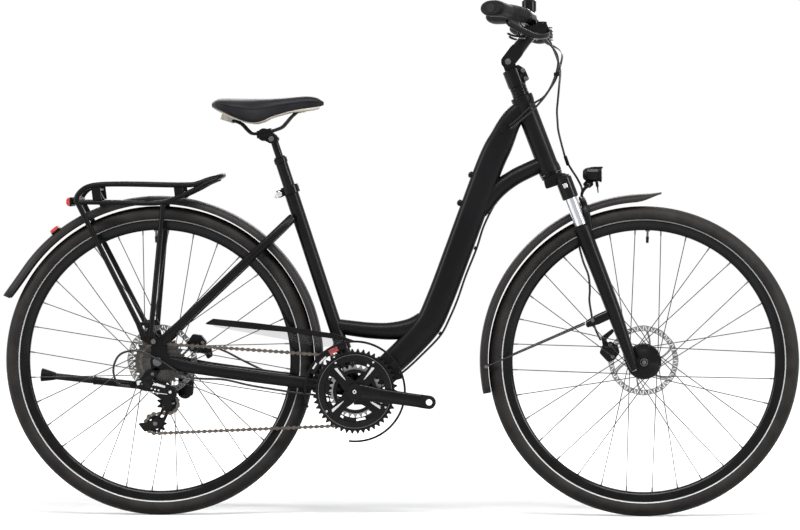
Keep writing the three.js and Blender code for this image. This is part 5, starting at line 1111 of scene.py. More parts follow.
def guard_shell(crown, start, end, flares, steps=90, tip=0):
    """A thin channel swept round an axle. Its front narrows and flattens over the share called tip."""
    outside = GUARD_HALF + [(-y, drop) for y, drop in reversed(GUARD_HALF[:-1])]
    inside = [(y * GUARD_INSET, drop + GUARD_WALL) for y, drop in reversed(outside)]
    inside[0] = (inside[0][0], outside[-1][1] - 0.2)
    inside[-1] = (inside[-1][0], outside[0][1] - 0.2)
    rings = []
    for k in range(steps + 1):
        share = k / steps
        flare = sum(rise * max(0, (share - a) / (b - a)) ** 2 for a, b, rise in flares)
        angle = start + (end - start) * share
        nearest = min(share, 1 - share)
        narrow = 0.62 + 0.38 * math.sqrt(nearest / END_ROUND) if nearest < END_ROUND else 1
        sides = 1
        if share < tip:
            sides = 0.12 + 0.88 * math.sin(0.5 * math.pi * share / tip) ** 1.5
            narrow = narrow * (0.45 + 0.55 * share / tip)
        section = outside + inside
        drops = [d if d < CROWN_DROP else CROWN_DROP + (d - CROWN_DROP) * sides for y, d in section]
        widths = [y * narrow for y, d in section]
        rings.append([polar(crown + flare - drop, angle, y) for y, drop in zip(widths, drops)])
    return loft(rings)


guard = Piece("front_mudguard_shell", FRONT, guard_plastic)
flares = [(0.06, 0, 5), (1, 0, 9)]
guard.add(guard_shell(FRONT_CROWN, math.radians(84), math.radians(191.6), flares, tip=0.085))
for side in SIDES:
    eye, edge = Vector((-133, side * 56, 86)), polar(357, math.radians(181.9), side * 27.6)
    guard.painted(spoke_black).add(rod(eye, edge, 1.8, 16))
    guard.painted(steel).add(hex_head(edge + Vector((0, side * 0.5, 0)), (0, side, 0), 4.6, 3.2))
guard.riding("lowers", "front_mudguard", slot="guard")

guard = Piece("rear_mudguard_shell", REAR, guard_plastic)
flares = [(0, 1, 6), (0.93, 1, 9)]
guard.add(guard_shell(REAR_CROWN, math.radians(-9.5), math.radians(157.5), flares, 130))
guard.riding("frame", "rear_mudguard", slot="guard")

angle = math.radians(128.8)
prism = Piece("rear_prism", REAR, red_glow)
prism.add(block(21, 40, 9, polar(381.7, angle), angle - math.pi / 2))
prism.painted(plastic).add(block(23, 42.4, 3.4, polar(378, angle), angle - math.pi / 2))
prism.riding("frame", "rear_reflector", slot="red", bevel=1.2)
print("mudguards", len(made))

# %% [markdown]
# The rack is bent and welded from round tube: a top rail that dips and turns down behind, a lower rail
# below it, two legs to each axle plate and a few rungs.

# %% Rack
RACK_HALF, LEG_HALF = 60, 79
RACK_UPPER = [(144, 8, 773.5), (141, 22, 772), (132, 36, 769), (114, 48, 764), (83, RACK_HALF, 753.5),
              (50, RACK_HALF, 752), (-140, RACK_HALF, 752), (-166, RACK_HALF, 744), (-182, RACK_HALF, 728),
              (-186, RACK_HALF, 712)]
RACK_LOWER = [(-181, RACK_HALF, 713), (-100, RACK_HALF, 712), (10, RACK_HALF, 712), (40, RACK_HALF, 722),
              (88, 57, 744), (112, 52, 757), (134, 42, 766)]
RACK_FOOT = [(-38, 402), (-34, 420), (-6, 420), (-2, 402), (-2, 392), (-12, 390)]
RACK_PLATE = [(-50, 442), (-9, 442), (-7, 402), (-35, 402)]
RACK_LEGS = (((-184, 716), (-27, 408)), ((12, 708), (-15, 408)))
rack = Piece("rack_tubes", finish=paint)
for side in SIDES:
    rack.add(pipe(mirrored(RACK_UPPER, side), 6, 20, 130), pipe(mirrored(RACK_LOWER, side), 5.4, 20, 90))
    for top, foot in RACK_LEGS:
        rack.add(rod(on_side(top, side * RACK_HALF), on_side(foot, side * LEG_HALF), 6, 20))
    for point in ((-139, 733), (48, 736)):
        rack.add(block(20, 5, 30, on_side(point, side * RACK_HALF), 0.12))
    holes = [circle(7, 20, -28, 428), circle(4, 16, -18, 409)]
    rack.add(cut(RACK_PLATE, 4, side * 77, side * 80.4, holes))
    rack.add(cut(RACK_FOOT, 4, side * 75.6, side * 82))
    rack.painted(steel).add(bar(-8, 398, side * 73.8, side * 84.2, 4, 20))
    rack.add(hex_head((-8, side * 82, 398), (0, side, 0), 6.2, 3.6))
    rack.painted(paint)
for x in (60, -30, -120):
    rack.add(bar(x, 752, -RACK_HALF, RACK_HALF, 4.5, 20))
rack.add(bar(-184, 720, -61, 61, 6, 20), bar(144, 773.5, -9, 9, 6, 20))
rack.add(block(14, 56, 14, (-191.4, 0, 714)))
rack.add(block(16, 18, 34, (-134, 0, 716), 0.5), block(12, 118, 4, (-139, 0, 741)))
rack.riding("frame", "rear_rack", slot="frame_black", bevel=0.4)

TAIL_LAMP = [(-199.6, 704), (-199.6, 723), (-206, 723), (-210, 718), (-210, 709), (-206, 704)]
lamp = Piece("tail_lamp", finish=red_glow)
lamp.add(cut(TAIL_LAMP, 2, -41, 41))
lamp.painted(plastic).add(block(5, 84, 21, (-199.8, 0, 713.5)))
lamp.riding("frame", "tail_light", slot="red", bevel=0.8)
print("rack and tail lamp", len(made))

# %% [markdown]
# ## Drive
# The cranks carry three toothed rings on a four-armed spider. A moulded hoop guards the outer ring and runs
# back in a long bar above the chain, with a thin see-through strip under it.

# %% Chain guard
GUARD_Y, HOOP_RADIUS, HOOP_STEPS, HOOP_THICK = -58, 113, 160, 5
HOOP_FROM, HOOP_TURN = -97, 296
GUARD_BAR = [(104.2, 437), (125.6, 449.4), (212, 441), (300, 430.5), (400, 416), (447, 399.8), (447, 396.2),
             (400, 404), (300, 418.5), (212, 426)]
GUARD_STRIP = [(100, 436.5), (212, 428), (300, 420.5), (400, 406), (424, 399), (396, 387), (366.6, 385.2),
               (296.8, 400.9), (200, 418)]
HOOP_ARM, ARM_BACK, ARM_FACE = math.radians(34), -34.6, -36.6


def band(inner, outer, start, end, y_one, y_two, steps):
    """A band between two radii about the crank axle."""
    angles = [start + (end - start) * k / steps for k in range(steps + 1)]
    outline = [spot(outer, a, *BRACKET_AT) for a in angles]
    outline += [spot(inner, a, *BRACKET_AT) for a in reversed(angles)]
    return plate(outline, y_one, y_two)


guard = Piece("chain_guard_hoop", finish=plastic)
hoop = []
for k in range(HOOP_STEPS + 1):
    out, side = polar(1, math.radians(HOOP_FROM + HOOP_TURN * k / HOOP_STEPS)), ACROSS
    middle = Vector(BRACKET) + out * HOOP_RADIUS + side * GUARD_Y
    hoop.append(ring_points(middle, out, side, HOOP_THICK, HOOP_THICK, 16, 3))
guard.add(loft(hoop), cut(GUARD_BAR, 3, GUARD_Y + 2, GUARD_Y - 2))
guard.painted(smoke_strip).add(cut(GUARD_STRIP, 3, GUARD_Y + 0.4, GUARD_Y - 0.4))
guard.painted(plastic)
for radius, inner, face in ((24, 13.4, ARM_FACE), (101, 101, GUARD_Y - 2)):
    half = 8 / radius
    guard.add(band(inner, HOOP_RADIUS, HOOP_ARM - half, HOOP_ARM + half, ARM_BACK, face, 1))
collar_profile = [(13.4, ARM_BACK), (24, ARM_BACK), (24, ARM_FACE), (13.4, ARM_FACE)]
guard.add(turned(collar_profile, 48, *BRACKET_AT))
guard.riding("frame", "chain_guard", bevel=0.5)
print("chain guard", len(made))

# %% [markdown]
# A tooth is a narrow crest between two round seats for the chain's rollers. The outline of a ring is drawn
# by walking round the pitch circle: root, flank, crest, flank.

# %% Toothed rings
PITCH, ROLLER = 12.7, 3.9
TOOTH = ((-0.5, -ROLLER), (-0.36, -ROLLER + 0.8), (-0.27, -1.2), (-0.16, 1.8), (-0.07, 3.6), (0.07, 3.6),
         (0.16, 1.8), (0.27, -1.2), (0.36, -ROLLER + 0.8))


def pitch_radius(teeth):
    return PITCH / (2 * math.sin(math.pi / teeth))


def ring_plate(teeth, y, half, hole, windows=()):
    radius = pitch_radius(teeth)
    outline = [spot(radius + rise, TURN * (k + share) / teeth) for k in range(teeth) for share, rise in TOOTH]
    return plate(outline, y - half, y + half, [circle(hole, 64), *windows])


print("pitch radius of the large ring", round(pitch_radius(46), 2))

# %% [markdown]
# The cassette is a stack of eight cogs with spacers between them, so a loop over the tooth counts makes it.
# The large cogs have slots that save weight, and the middle ones round holes, because they have less room.

# %% Cassette
COGS = (28, 25, 22, 20, 17, 15, 13, 11)
COG_FIRST, COG_GAP, COG_HALF = -30.6, 4.8, 0.85
WINDOWS, WINDOW_IN, WINDOW_MARGIN = 7, 22, 9.5
COG_WINDOW = ((0.1, -0.16), (0.1, 0.16), (0.95, 0.28), (0.95, -0.12))


def cog_window(angle, room):
    """A slot where there is room, and a round hole where there is not."""
    if room > 6:
        return [spot(WINDOW_IN + room * share, angle + turn) for share, turn in COG_WINDOW]
    return circle(2.4, 10, *spot(21.5, angle))


cogs = Piece("cassette_stack", REAR, cog_steel)
for k, teeth in enumerate(COGS):
    y = COG_FIRST - COG_GAP * k
    room = pitch_radius(teeth) - WINDOW_MARGIN - WINDOW_IN
    windows = [cog_window(TURN * j / WINDOWS + 0.3 * k, room) for j in range(WINDOWS)] if teeth >= 20 else []
    cogs.add(ring_plate(teeth, y, COG_HALF, 17, windows))
    cogs.add(turned([(16.6, y - 0.8), (19.4, y - 0.8), (19.4, y - 4), (16.6, y - 4)], 48))
cogs.painted(steel).add(turned([(7, -64.2), (16, -64.2), (17.4, -65.4), (15.6, -66.6), (7, -66.6)], 48))
cogs.add(turned([(7, -29), (17, -29), (17, -65), (7, -65)], 40))
cogs.riding("cogs", "cassette", slot="dark_steel", bevel=0.12)
print("cassette", len(made))

# %% [markdown]
# A crank arm is forged and then smoothed, so a soft sweep gives its body, and plates give the eye and the
# boss. The right one stands before a spider with four arms, to which the three rings are bolted.

# %% Cranks
ARM, DROOP = 170, math.radians(8)
ARM_Y, EYE_RADIUS, EYE_HOLE = 69.9, 15.2, 7.2
ARM_SIZES = [(0, 40, 15.4), (0.12, 38.4, 15.2), (0.38, 31.6, 14.6), (0.8, 30, 14), (1, 30.4, 13.6)]
EYE_STEPS, EYE_FROM, EYE_STEP = 24, -88, 7.333
SPIDER = [math.radians(angle) for angle in (47, 135, 226, 322)]
SPIDER_HALF = [(0, 17), (24, 15.5), (40, 12.4), (56, 13.2), (70, 17.2), (80, 19)]
RINGS = ((46, -51.5, 70, ring_black), (38, -45, 60, ring_black), (28, -38.5, 46, rotor_steel))
RING_SLOTS = 8
RING_SLOT = ((-2.4, -0.16), (-2.4, 0.16), (2.4, 0.16), (2.4, -0.16))


def crank_arm(side, direction):
    """A forged arm with a crowned face, a slight waist and an open pedal eye."""
    turn = leaning(direction)
    middle = side * ARM_Y
    arm = sweep([(x, middle, 0) for x in (0, 60, 159)], ARM_SIZES, 48, 48, 2.9, side=(0, 0, 1))
    round_end = [spot(EYE_RADIUS, math.radians(EYE_FROM + EYE_STEP * k), ARM) for k in range(EYE_STEPS + 1)]
    outline = [(150, -EYE_RADIUS), *round_end, (150, EYE_RADIUS)]
    eye = plate(outline, middle - 7, middle + 7, [circle(EYE_HOLE, 32, ARM, 0)])
    boss = turned([(9, middle - 7.5), (18, middle - 7.5), (19.6, middle - 5.5), (19.6, middle + 5.5),
                   (18, middle + 7.5), (9, middle + 7.5)], 56)
    return [placed(part, turn) for part in (arm, eye, boss)]


crank = Piece("crank_and_rings", CRANK)
crank.add(bar(0, 0, -54, -63, 24, 56, 0.8), bar(0, 0, -62, -78.6, 18.4, 56, 1))
crank.painted(ring_black).add(turned([(9.4, -78), (13.2, -78), (13.2, -79.6), (9.4, -79.6)], 56))
crank.painted(steel).add(bar(0, 0, -62, 79, 12, 32))
crank.painted(chrome).add(bar(0, 0, -77, -79.2, 4.6, 32, 0.4))
crank.painted(plastic).add(hex_head((0, -79.1, 0), (0, -1, 0), 2.4, 0.3))
for angle in SPIDER:
    outline = [(r, -h) for r, h in SPIDER_HALF] + list(reversed(SPIDER_HALF))
    turn = leaning(angle)
    crank.painted(satin).add(placed(cut(outline, 4, -54.2, -59.5), turn))
    up = -1 if math.cos(angle) < 0 else 1
    # Silver facets stand for the shine of the bevelled arm edges: a painted highlight, set only on the upper
    # edge of each arm, where the light from above falls.
    highlight_facet = [(28, up * 3), (66, up * 9.5), (70, up * 3.5), (50, up * 2.4)]
    crank.painted(silver).add(placed(cut(highlight_facet, 1.5, -59.2, -60.3), turn))
    bolt = polar(78, angle + 0.19 * up)
    crank.add(bar(bolt.x, bolt.z, -53, -60.6, 2.4, 20, 0.4))
for teeth, y, inner, finish in RINGS:
    slots = []
    middle = (inner + pitch_radius(teeth) - 6) / 2
    for j in range(RING_SLOTS if teeth > 28 else 0):
        start = TURN * j / RING_SLOTS + 0.2
        slots.append([spot(middle + rise, start + turn) for rise, turn in RING_SLOT])
    crank.painted(finish).add(ring_plate(teeth, y, 0.9, inner, slots))
crank.painted(ring_black).add(turned([(70, -54), (84.5, -54), (86, -55), (84.5, -56.4), (70, -56.4)], 96))
crank.painted(steel).add(turned([(82.6, -56.2), (83.8, -56.2), (83.8, -56.8), (82.6, -56.8)], 96))
for angle in SPIDER:
    bolt = polar(52, angle)
    crank.add(bar(bolt.x, bolt.z, -37.6, -52, 5, 20))
crank.painted(satin).add(turned([(42, -38), (50, -38), (50, -58), (42, -58)], 72))
crank.riding("cranks", "crankset", bevel=0.35)

crank = Piece("right_crank_arm", CRANK)
crank.add(*crank_arm(RIGHT, -DROOP))
crank.riding("cranks", bevel=2.4)

crank = Piece("left_crank_arm", CRANK)
crank.add(*crank_arm(LEFT, math.pi - DROOP), bar(0, 0, 62, 80.6, 17.4, 56, 1.2))
crank.painted(steel).add(bar(0, 0, 78, 81.6, 9, 32, 0.6))
crank.riding("cranks", "crank_left", bevel=2)
print("cranks", len(made))

# %% [markdown]
# ## Chain
# A roller chain is two kinds of link in turn: an inner pair of plates on two rollers, and an outer pair on
# two pins. The chain runs over the cog and the middle ring, back under the tension pulley and up round the
# guide pulley, so its pins are set one pitch apart along that closed line.


# %% Chain line
CHAIN_Y = -45
GUIDE_AT, TENSION_AT = (22.6, 256.2), (-7.1, 210.5)
LINE_STEPS = 60
chain_wheels = [((0, AXLE), pitch_radius(20), 1), (BRACKET_AT, pitch_radius(38), 1),
                (TENSION_AT, pitch_radius(11), 1), (GUIDE_AT, pitch_radius(11), -1)]


def stretch(one, two):
    """The straight stretch that leaves one wheel and meets the next."""
    run = Vector(two[0]) - Vector(one[0])
    cosine = (one[2] * one[1] - two[2] * two[1]) / run.length
    along = run.normalized()
    normal = along * cosine + Vector((-along.y, along.x)) * math.sqrt(1 - cosine * cosine)
    return Vector(one[0]) + normal * one[2] * one[1], Vector(two[0]) + normal * two[2] * two[1]


stretches = [stretch(wheel, chain_wheels[(k + 1) % 4]) for k, wheel in enumerate(chain_wheels)]
loop = []
for k, (centre, radius, sense) in enumerate(chain_wheels):
    centre = Vector(centre)
    arrive, leave = stretches[k - 1][1] - centre, stretches[k][0] - centre
    start, end = math.atan2(arrive.y, arrive.x), math.atan2(leave.y, leave.x)
    wrap = sense * ((sense * (start - end)) % TURN)
    for j in range(LINE_STEPS):
        a = start - wrap * j / LINE_STEPS
        loop.append(centre + Vector((math.cos(a), math.sin(a))) * radius)
    one, two = stretches[k]
    loop += [one.lerp(two, j / LINE_STEPS) for j in range(LINE_STEPS)]
lengths = [0]
for one, two in zip(loop, loop[1:] + loop[:1]):
    lengths.append(lengths[-1] + (two - one).length)
links = 2 * round(lengths[-1] / PITCH / 2)
pins, j = [], 0
for k in range(links):
    goal = lengths[-1] * k / links
    while lengths[j + 1] < goal:
        j += 1
    share = (goal - lengths[j]) / (lengths[j + 1] - lengths[j])
    pins.append(loop[j].lerp(loop[(j + 1) % len(loop)], share))
print("chain links", links, "pitch", round(lengths[-1] / links, 3))

# %% Chain links
INNER_LINK, OUTER_LINK = (2.1, 4.1), (3, 4.3)
LINK_HALF, LINK_WAIST, LINK_STEPS = 0.42, 1.7, 8
PIN, ROLLER_DRUM = (3.7, 1.75, 8), (1.6, 3.8, 12)


def link_plate(one, two, y, radius):
    """A figure-of-eight side plate between two pins."""
    along = (two - one).normalized()
    beside = Vector((-along.y, along.x))
    outline = []
    for sign, base, facing in ((1, two, along), (-1, one, -along)):
        for k in range(LINK_STEPS + 1):
            a = math.radians(-104 + 208 * k / LINK_STEPS)
            outline.append(base + facing * math.cos(a) * radius + beside * sign * math.sin(a) * radius)
        outline.append((one + two) / 2 + beside * sign * LINK_WAIST)
    return plate([(p.x, p.y) for p in outline], y - LINK_HALF, y + LINK_HALF)


chain = Piece("roller_chain", finish=chain_steel)
for k, pin in enumerate(pins):
    gap, radius = INNER_LINK if k % 2 else OUTER_LINK
    for side in SIDES:
        chain.add(link_plate(pin, pins[(k + 1) % links], CHAIN_Y + side * gap, radius))
    for half, size, sides in (PIN, ROLLER_DRUM):
        chain.add(bar(pin.x, pin.y, CHAIN_Y - half, CHAIN_Y + half, size, sides))
chain.riding("frame", "chain", slot="dark_steel")

# %% [markdown]
# The two jockey wheels of the cage have the same tooth, and so the same function draws them. They spin by
# themselves, so each is a piece of its own on its own body.

# %% Jockey wheels
for name, at in (("guide", GUIDE_AT), ("tension", TENSION_AT)):
    wheel = Piece(f"{name}_jockey_wheel", Matrix.Translation(on_side(at)), plastic)
    windows = [circle(2.6, 12, *spot(12.5, TURN * j / 5)) for j in range(5)]
    wheel.add(ring_plate(11, CHAIN_Y, 1.2, 3.5, windows))
    bush = [(3.5, CHAIN_Y - 3), (8.6, CHAIN_Y - 3), (8.6, CHAIN_Y + 3), (3.5, CHAIN_Y + 3)]
    wheel.painted(steel).add(turned(bush, 36))
    wheel.riding(f"{name} pulley", f"{name}_pulley", slot="plastic", bevel=0.2)
print("jockey wheels", len(made))

# %% [markdown]
# ## Derailleurs and brakes
# The front derailleur is a pressed cage on a band round the seat tube. The rear one hangs from its plate on
# a knuckle, and its cage holds the two small toothed wheels. Both are pressed and cast parts, so plates
# with rounded corners, set one on the other, give their layers.

# %% Front derailleur
SEAT_BAND = (96, 114)
BAND_LUG = [(394, 374), (424, 382), (424, 400), (398, 402)]


def cage_band(inner, outer, start, end, y_one, y_two, steps):
    """A band with its ends in degrees."""
    return band(inner, outer, math.radians(start), math.radians(end), y_one, y_two, steps)


mech = Piece("front_shifter_cage")
mech.add(rod(on_seat(SEAT_BAND[0]), on_seat(SEAT_BAND[1]), 20.2, 48, edge=0.8))
mech.add(cut(BAND_LUG, 5, -15, -38))
mech.painted(steel).add(bar(408, 390, -37, -40.6, 5, 24, 0.6), bar(400, 380, -37, -39.6, 3, 20, 0.4))
mech.painted(ring_black)
mech.add(cage_band(99, 112, 101, 158, -38.4, -39.6, 24), cage_band(99, 112, 101, 158, -50.2, -51.4, 24))
mech.add(cage_band(107, 112, 101, 104.5, -38.6, -51.2, 3), cage_band(107, 112, 154.5, 158, -38.6, -51.2, 3))
mech.painted(red_glow).add(cage_band(99, 113, 112, 124, -51.3, -52.2, 8))
mech.painted(chrome)
mech.add(cage_band(100, 104, 130, 142, -51.3, -52, 6), cage_band(106, 110, 144, 152, -51.3, -52, 6))
mech.riding("frame", "front_derailleur", bevel=0.4)
print("front derailleur", len(made))

# %% Rear derailleur
KNUCKLE, KNUCKLE_SIZES = [(-9.5, 327), (-26, 313), (-12, 298)], [(0, 12, 24), (1, 12, 28)]
MECH_BODY = [(-50, 314), (-24, 311), (2, 306), (40, 296), (45, 272), (22, 258), (-10, 280), (-46, 292)]
MECH_COVER = [(-44, 309), (-22, 306), (0, 301), (34, 291), (38, 276), (24, 266), (-8, 286), (-40, 297)]
MECH_PANEL = [(-36, 305), (-12, 301), (20, 292), (30, 280), (22, 275), (-8, 291)]
MECH_SHINE = [(-20, 305), (0, 304), (20, 298), (18, 293.5), (-2, 298.6), (-19, 300)]
MECH_MARK = [(-46, 309), (-34, 311), (-36, 301), (-45, 299)]
MECH_CLIP = [(-26, 286), (-14, 283), (-15, 280), (-27, 283)]
MECH_SCREWS = ((-12, 292), (-4, 290), (4, 288), (-8, 284), (2, 281))
MECH_WIRE = [(-26, -85, 286), (-10, -86, 283.5), (8, -85.6, 281), (24, -84, 279)]
CAGE = [(36, 268), (34, 252), (22, 232), (14, 214), (4, 200), (-12, 197), (-22, 204), (-20, 216), (-2, 226),
        (10, 244), (14, 262), (20, 272)]
CAGE_WINDOW = [(0, 222), (10, 222), (18, 238), (15, 243), (8, 232)]
CAGE_FOOT = [(-47, 212), (-31, 192), (-18, 196), (-10, 206), (-18, 214)]
PIVOTS = ((-9.5, 325), (-34, 302))
mech = Piece("rear_shifter_arm")
mech.add(sweep([on_side(p, -80) for p in KNUCKLE], KNUCKLE_SIZES, 24, 16, 3))
mech.add(cut(MECH_BODY, 9, -63, -80), cut(MECH_COVER, 6, -80, -84))
mech.painted(ring_black).add(cut(MECH_PANEL, 5, -83.6, -84.8))
mech.painted(chrome).add(cut(MECH_SHINE, 1.8, -84.6, -85.6), cut(MECH_MARK, 3, -83.8, -84.6))
mech.add(bar(30, 284, -84, -86, 3.4, 24, 0.4), cut(MECH_CLIP, 1.2, -83.8, -85))
for x, z in MECH_SCREWS:
    mech.add(bar(x, z, -84.4, -86, 2.1, 16, 0.4))
mech.add(pipe(MECH_WIRE, 0.9, 8, 24))
mech.painted(satin).add(bar(*GUIDE_AT, -49.6, -78, 11, 40, 0.8))
mech.add(bar(*PIVOTS[0], -74, -87, 9, 32, 1), bar(*PIVOTS[1], -84, -87, 5.5, 28, 0.6))
for one, two in ((-49.6, -51.2), (-38.8, -40.4)):
    mech.add(cut(CAGE, 5, one, two, [circle(3.1, 16, *GUIDE_AT), circle(3.1, 16, *TENSION_AT), CAGE_WINDOW]))
mech.add(cut(CAGE_FOOT, 4, -49.6, -51.4))
mech.painted(steel)
for x, z in (GUIDE_AT, TENSION_AT):
    mech.add(bar(x, z, -38.4, -52.2, 3, 20, 0.4), bar(x, z, -51.2, -53, 5, 24, 0.5))
mech.add(bar(*PIVOTS[0], -86.6, -87.8, 4, 6), bar(*PIVOTS[1], -86.6, -87.6, 2.4, 6))
mech.riding("frame", "rear_derailleur", bevel=0.7)
print("rear derailleur", len(made))

# %% [markdown]
# A caliper is two halves that straddle the disc and meet beyond its edge, with a foot that is bolted to the
# fork or the stay. Both brakes share one outline, drawn at smaller sizes for each further layer.

# %% Calipers
CALIPER = [(-27, -16), (-10, -26), (16, -24), (27, -8), (24, 16), (2, 27), (-22, 20)]
BODY_SHARE, LID_SHARE, BOLT_SHARE = 0.8, 0.62, 0.5
FRONT_FOOT = [(-31, 60), (-27, 84), (4, 93), (6, 85), (-18, 74), (-16, 60)]
REAR_FOOT = [(84, 396), (96, 384), (112, 384), (116, 360), (104, 352), (98, 364), (78, 372)]


def caliper_outline(centre, tip, size):
    cosine, sine = math.cos(tip), math.sin(tip)
    return [(centre[0] + size * (x * cosine - z * sine), centre[1] + size * (x * sine + z * cosine))
            for x, z in CALIPER]


def caliper_piece(name, place, centre, tip, y, foot, foot_y):
    """A brake at a disc that turns in the plane y."""
    caliper = Piece(name, place, satin)
    body = caliper_outline(centre, tip, BODY_SHARE)
    for low, high in ((y - 12, y - 2.4), (y + 2.4, y + 14)):
        caliper.add(cut(body, 6, low, high))
    caliper.add(cut(caliper_outline(centre, tip, LID_SHARE), 5, y + 13, y + 17))
    caliper.add(cut(body[3:6] + body[:1], 5, y - 4, y + 4))
    caliper.add(cut(foot, 5, *foot_y))
    caliper.painted(steel)
    for k in (1, 4):
        x, z = caliper_outline(centre, tip, BOLT_SHARE)[k]
        caliper.add(hex_head((x, y + 16.6, z), (0, 1, 0), 4.4, 2.6, 12))
        caliper.add(hex_head((x, y - 12, z), (0, -1, 0), 4.4, 2.4, 12))
    return caliper


caliper = caliper_piece("front_brake_body", STEER, (-20, 47), math.radians(30), 40, FRONT_FOOT, (43.4, 54))
caliper.riding("lowers", "front_caliper", bevel=0.8)
caliper = caliper_piece("rear_brake_body", HERE, (80, 389), math.radians(-25), 52, REAR_FOOT, (54.6, 66))
caliper.riding("frame", "rear_caliper", bevel=0.8)
print("drive and brakes", len(made))

# %% [markdown]
# ## Kickstand
# A plate on the left chain stay carries a leaning hinge. The leg lies along the stay when it is up. Its
# lower leg slides in the upper one and ends in a rubber foot.

# %% Stand
HINGE_AT = (50, 84, 280)
STAND_RING = [(-10, 15.4), (-10, 22), (14, 22), (20, 4), (16, -2), (15.8, 4), (13, 16), (-2, 16)]
STAND_PLATE = [(36, 268), (70, 268), (74, 334), (36, 334)]
FOOT_RIBS, FOOT_RIB_GAP = 4, 6
stowed = Vector((-0.995, 0.02, 0.104)).normalized()
deployed = Vector((0.3, 0.46, -0.835)).normalized()
hinge = deployed.cross(stowed).normalized()
leg_x = -stowed
leg_z = leg_x.cross(hinge)
STAND = Matrix.Translation(HINGE_AT) @ Matrix((leg_x, hinge, leg_z)).transposed().to_4x4()


def along_leg(start, end, radius, sides=32, end_radius=None, edge=0):
    """A round part of the leg, between two distances from the hinge."""
    return rod((-start, 0, 0), (-end, 0, 0), radius, sides, end_radius, edge)


stand = Piece("stand_bracket", STAND)
stand.add(bar(0, 0, -12, -6.6, 16, 40, 0.6), bar(0, 0, 6.6, 10, 14, 40, 0.6))
stand.add(cut(STAND_RING, 2, -12, 10))
stand.painted(steel).add(bar(0, 0, -12.6, 10.6, 5, 24, 0.5), hex_head((0, 10, 0), (0, 1, 0), 8, 5))
stand.place = HERE
stand.painted(satin).add(cut(STAND_PLATE, 8, 60, 69.4))
stand.riding("frame", "kickstand_bracket", slot="plastic", bevel=0.6)

leg = Piece("stand_upper_leg", STAND, paint)
leg.add(bar(0, 0, -6, 6, 15, 48, 0.8), along_leg(14, 212, 9, edge=0.6))
leg.add(block(24, 12, 16, (-12, 0, 0)), along_leg(206, 213, 9.8, edge=1))
leg.riding("kickstand", "kickstand_leg", slot="frame_black", bevel=0.6)
leg = Piece("stand_lower_leg", STAND, guard_plastic)
leg.add(along_leg(151, 214, 6.4, 28), along_leg(214, 322, 7.6, edge=0.6))
leg.painted(soft_rubber).add(along_leg(300, 334, 9, end_radius=15.5, edge=1.6))
for k in range(FOOT_RIBS):
    leg.add(along_leg(302 + FOOT_RIB_GAP * k, 305 + FOOT_RIB_GAP * k, 9.2 + k * 1.1, edge=0.8))
leg.riding("kickstand foot", "kickstand_lower_leg", slot="rubber")
print("kickstand", len(made))

# %% [markdown]
# ## Fork
# Two bright tubes hang from a forged crown and slide in black lowers, which an arch joins over the tyre.
# Rubber wipers close their tops. The lowers end in plates for the axle.

# %% Fork crown and bright tubes
LEG_X, LEG_Y = 22, 65
CROWN = [(-23, 444), (-21, 462), (-14, 468), (18, 468), (31, 462), (38, 450), (38, 438), (26, 441), (2, 443)]


def leg_rod(side, low, high, radius, sides=48, edge=0):
    """A round part on one fork leg."""
    return rod((LEG_X, side * LEG_Y, low), (LEG_X, side * LEG_Y, high), radius, sides, edge=edge)


fork = Piece("fork_crown", STEER)
fork.add(cut(CROWN, 5, -62, 62))
for side in SIDES:
    fork.painted(satin).add(leg_rod(side, 405, 455, 18.5, edge=1.6))
    fork.painted(silver).add(block(10, 2, 10, (LEG_X - 1, side * 83.4, 436)))
    fork.painted(plastic).add(leg_rod(side, 454, 459, 15.5, 40, 1.4))
    fork.painted(bright_tube).add(leg_rod(side, 132, 420, 14))
fork.painted(satin).add(upright(454, 716, 14.3, 40), upright(462, 470, 22.5, edge=1))
fork.riding("fork", "fork_upper", slot="crown", bevel=1.4)
print("fork crown", len(made))

# %% [markdown]
# The lowers are one casting, whose legs taper to a small foot. The arch is swept as an oval over the tyre
# and carries a short tongue that holds the lamp's bracket.

# %% Fork lowers
LEG_LINE = [(18, LEG_Y, -8), (20, LEG_Y, 60), (21.6, LEG_Y, 126), (LEG_X, LEG_Y, 160), (LEG_X, LEG_Y, 331)]
LEG_SIZES = [(0, 20, 16), (0.05, 24, 21), (0.14, 29, 26), (0.35, 34, 32), (0.85, 37, 36), (1, 37, 37)]
ARCH = [(28, -66, 306), (40, -63, 340), (45, -48, 378), (45, 0, 393.5), (45, 48, 378), (40, 63, 340),
        (28, 66, 306)]
ARCH_SIZES = [(0, 16, 16), (0.2, 16, 15), (0.5, 14, 15), (0.8, 16, 15), (1, 16, 16)]
TONGUE, TONGUE_SIZES = ((45, 396), (50, 406), (58, 413), (70, 418)), [(0, 18, 6), (1, 18, 9)]
FORK_FOOT = [(6, 40), (32, 14), (54, 12), (56, -10), (40, -15), (8, -16), (4, 10)]
STAY_BLOCK = [(12, 119), (12, 137), (-20, 135), (-48, 130), (-48, 119), (-20, 117)]
FOOT_SCREW_X = 17.6
lowers = Piece("fork_lower_legs", STEER, paint)
for side in SIDES:
    lowers.painted(paint).add(sweep(mirrored(LEG_LINE, side), LEG_SIZES, 40, 60))
    lowers.add(cut(FORK_FOOT, 6, side * 50.4, side * 58, [circle(5.6, 24, FORK_RAKE, 0)]))
    lowers.painted(plastic)
    lowers.add(leg_rod(side, 327, 337, 18.9, edge=1.6), leg_rod(side, 336, 341, 16.4, edge=1.6))
    lowers.painted(satin).add(cut(STAY_BLOCK, 5, side * 52, side * 72))
    lowers.painted(steel).add(bar(-30, 130, side * 71, side * 74.6, 4.2, 24, 0.5))
    lowers.add(rod((FOOT_SCREW_X, side * LEG_Y, -11), (FOOT_SCREW_X, side * LEG_Y, -6), 6, 24, edge=0.8))
lowers.painted(paint)
lowers.add(sweep(ARCH, ARCH_SIZES, 28, 64, 3, side=(1, 0, 0)))
lowers.add(block(10, 16, 12, (44, 0, 382.6)))
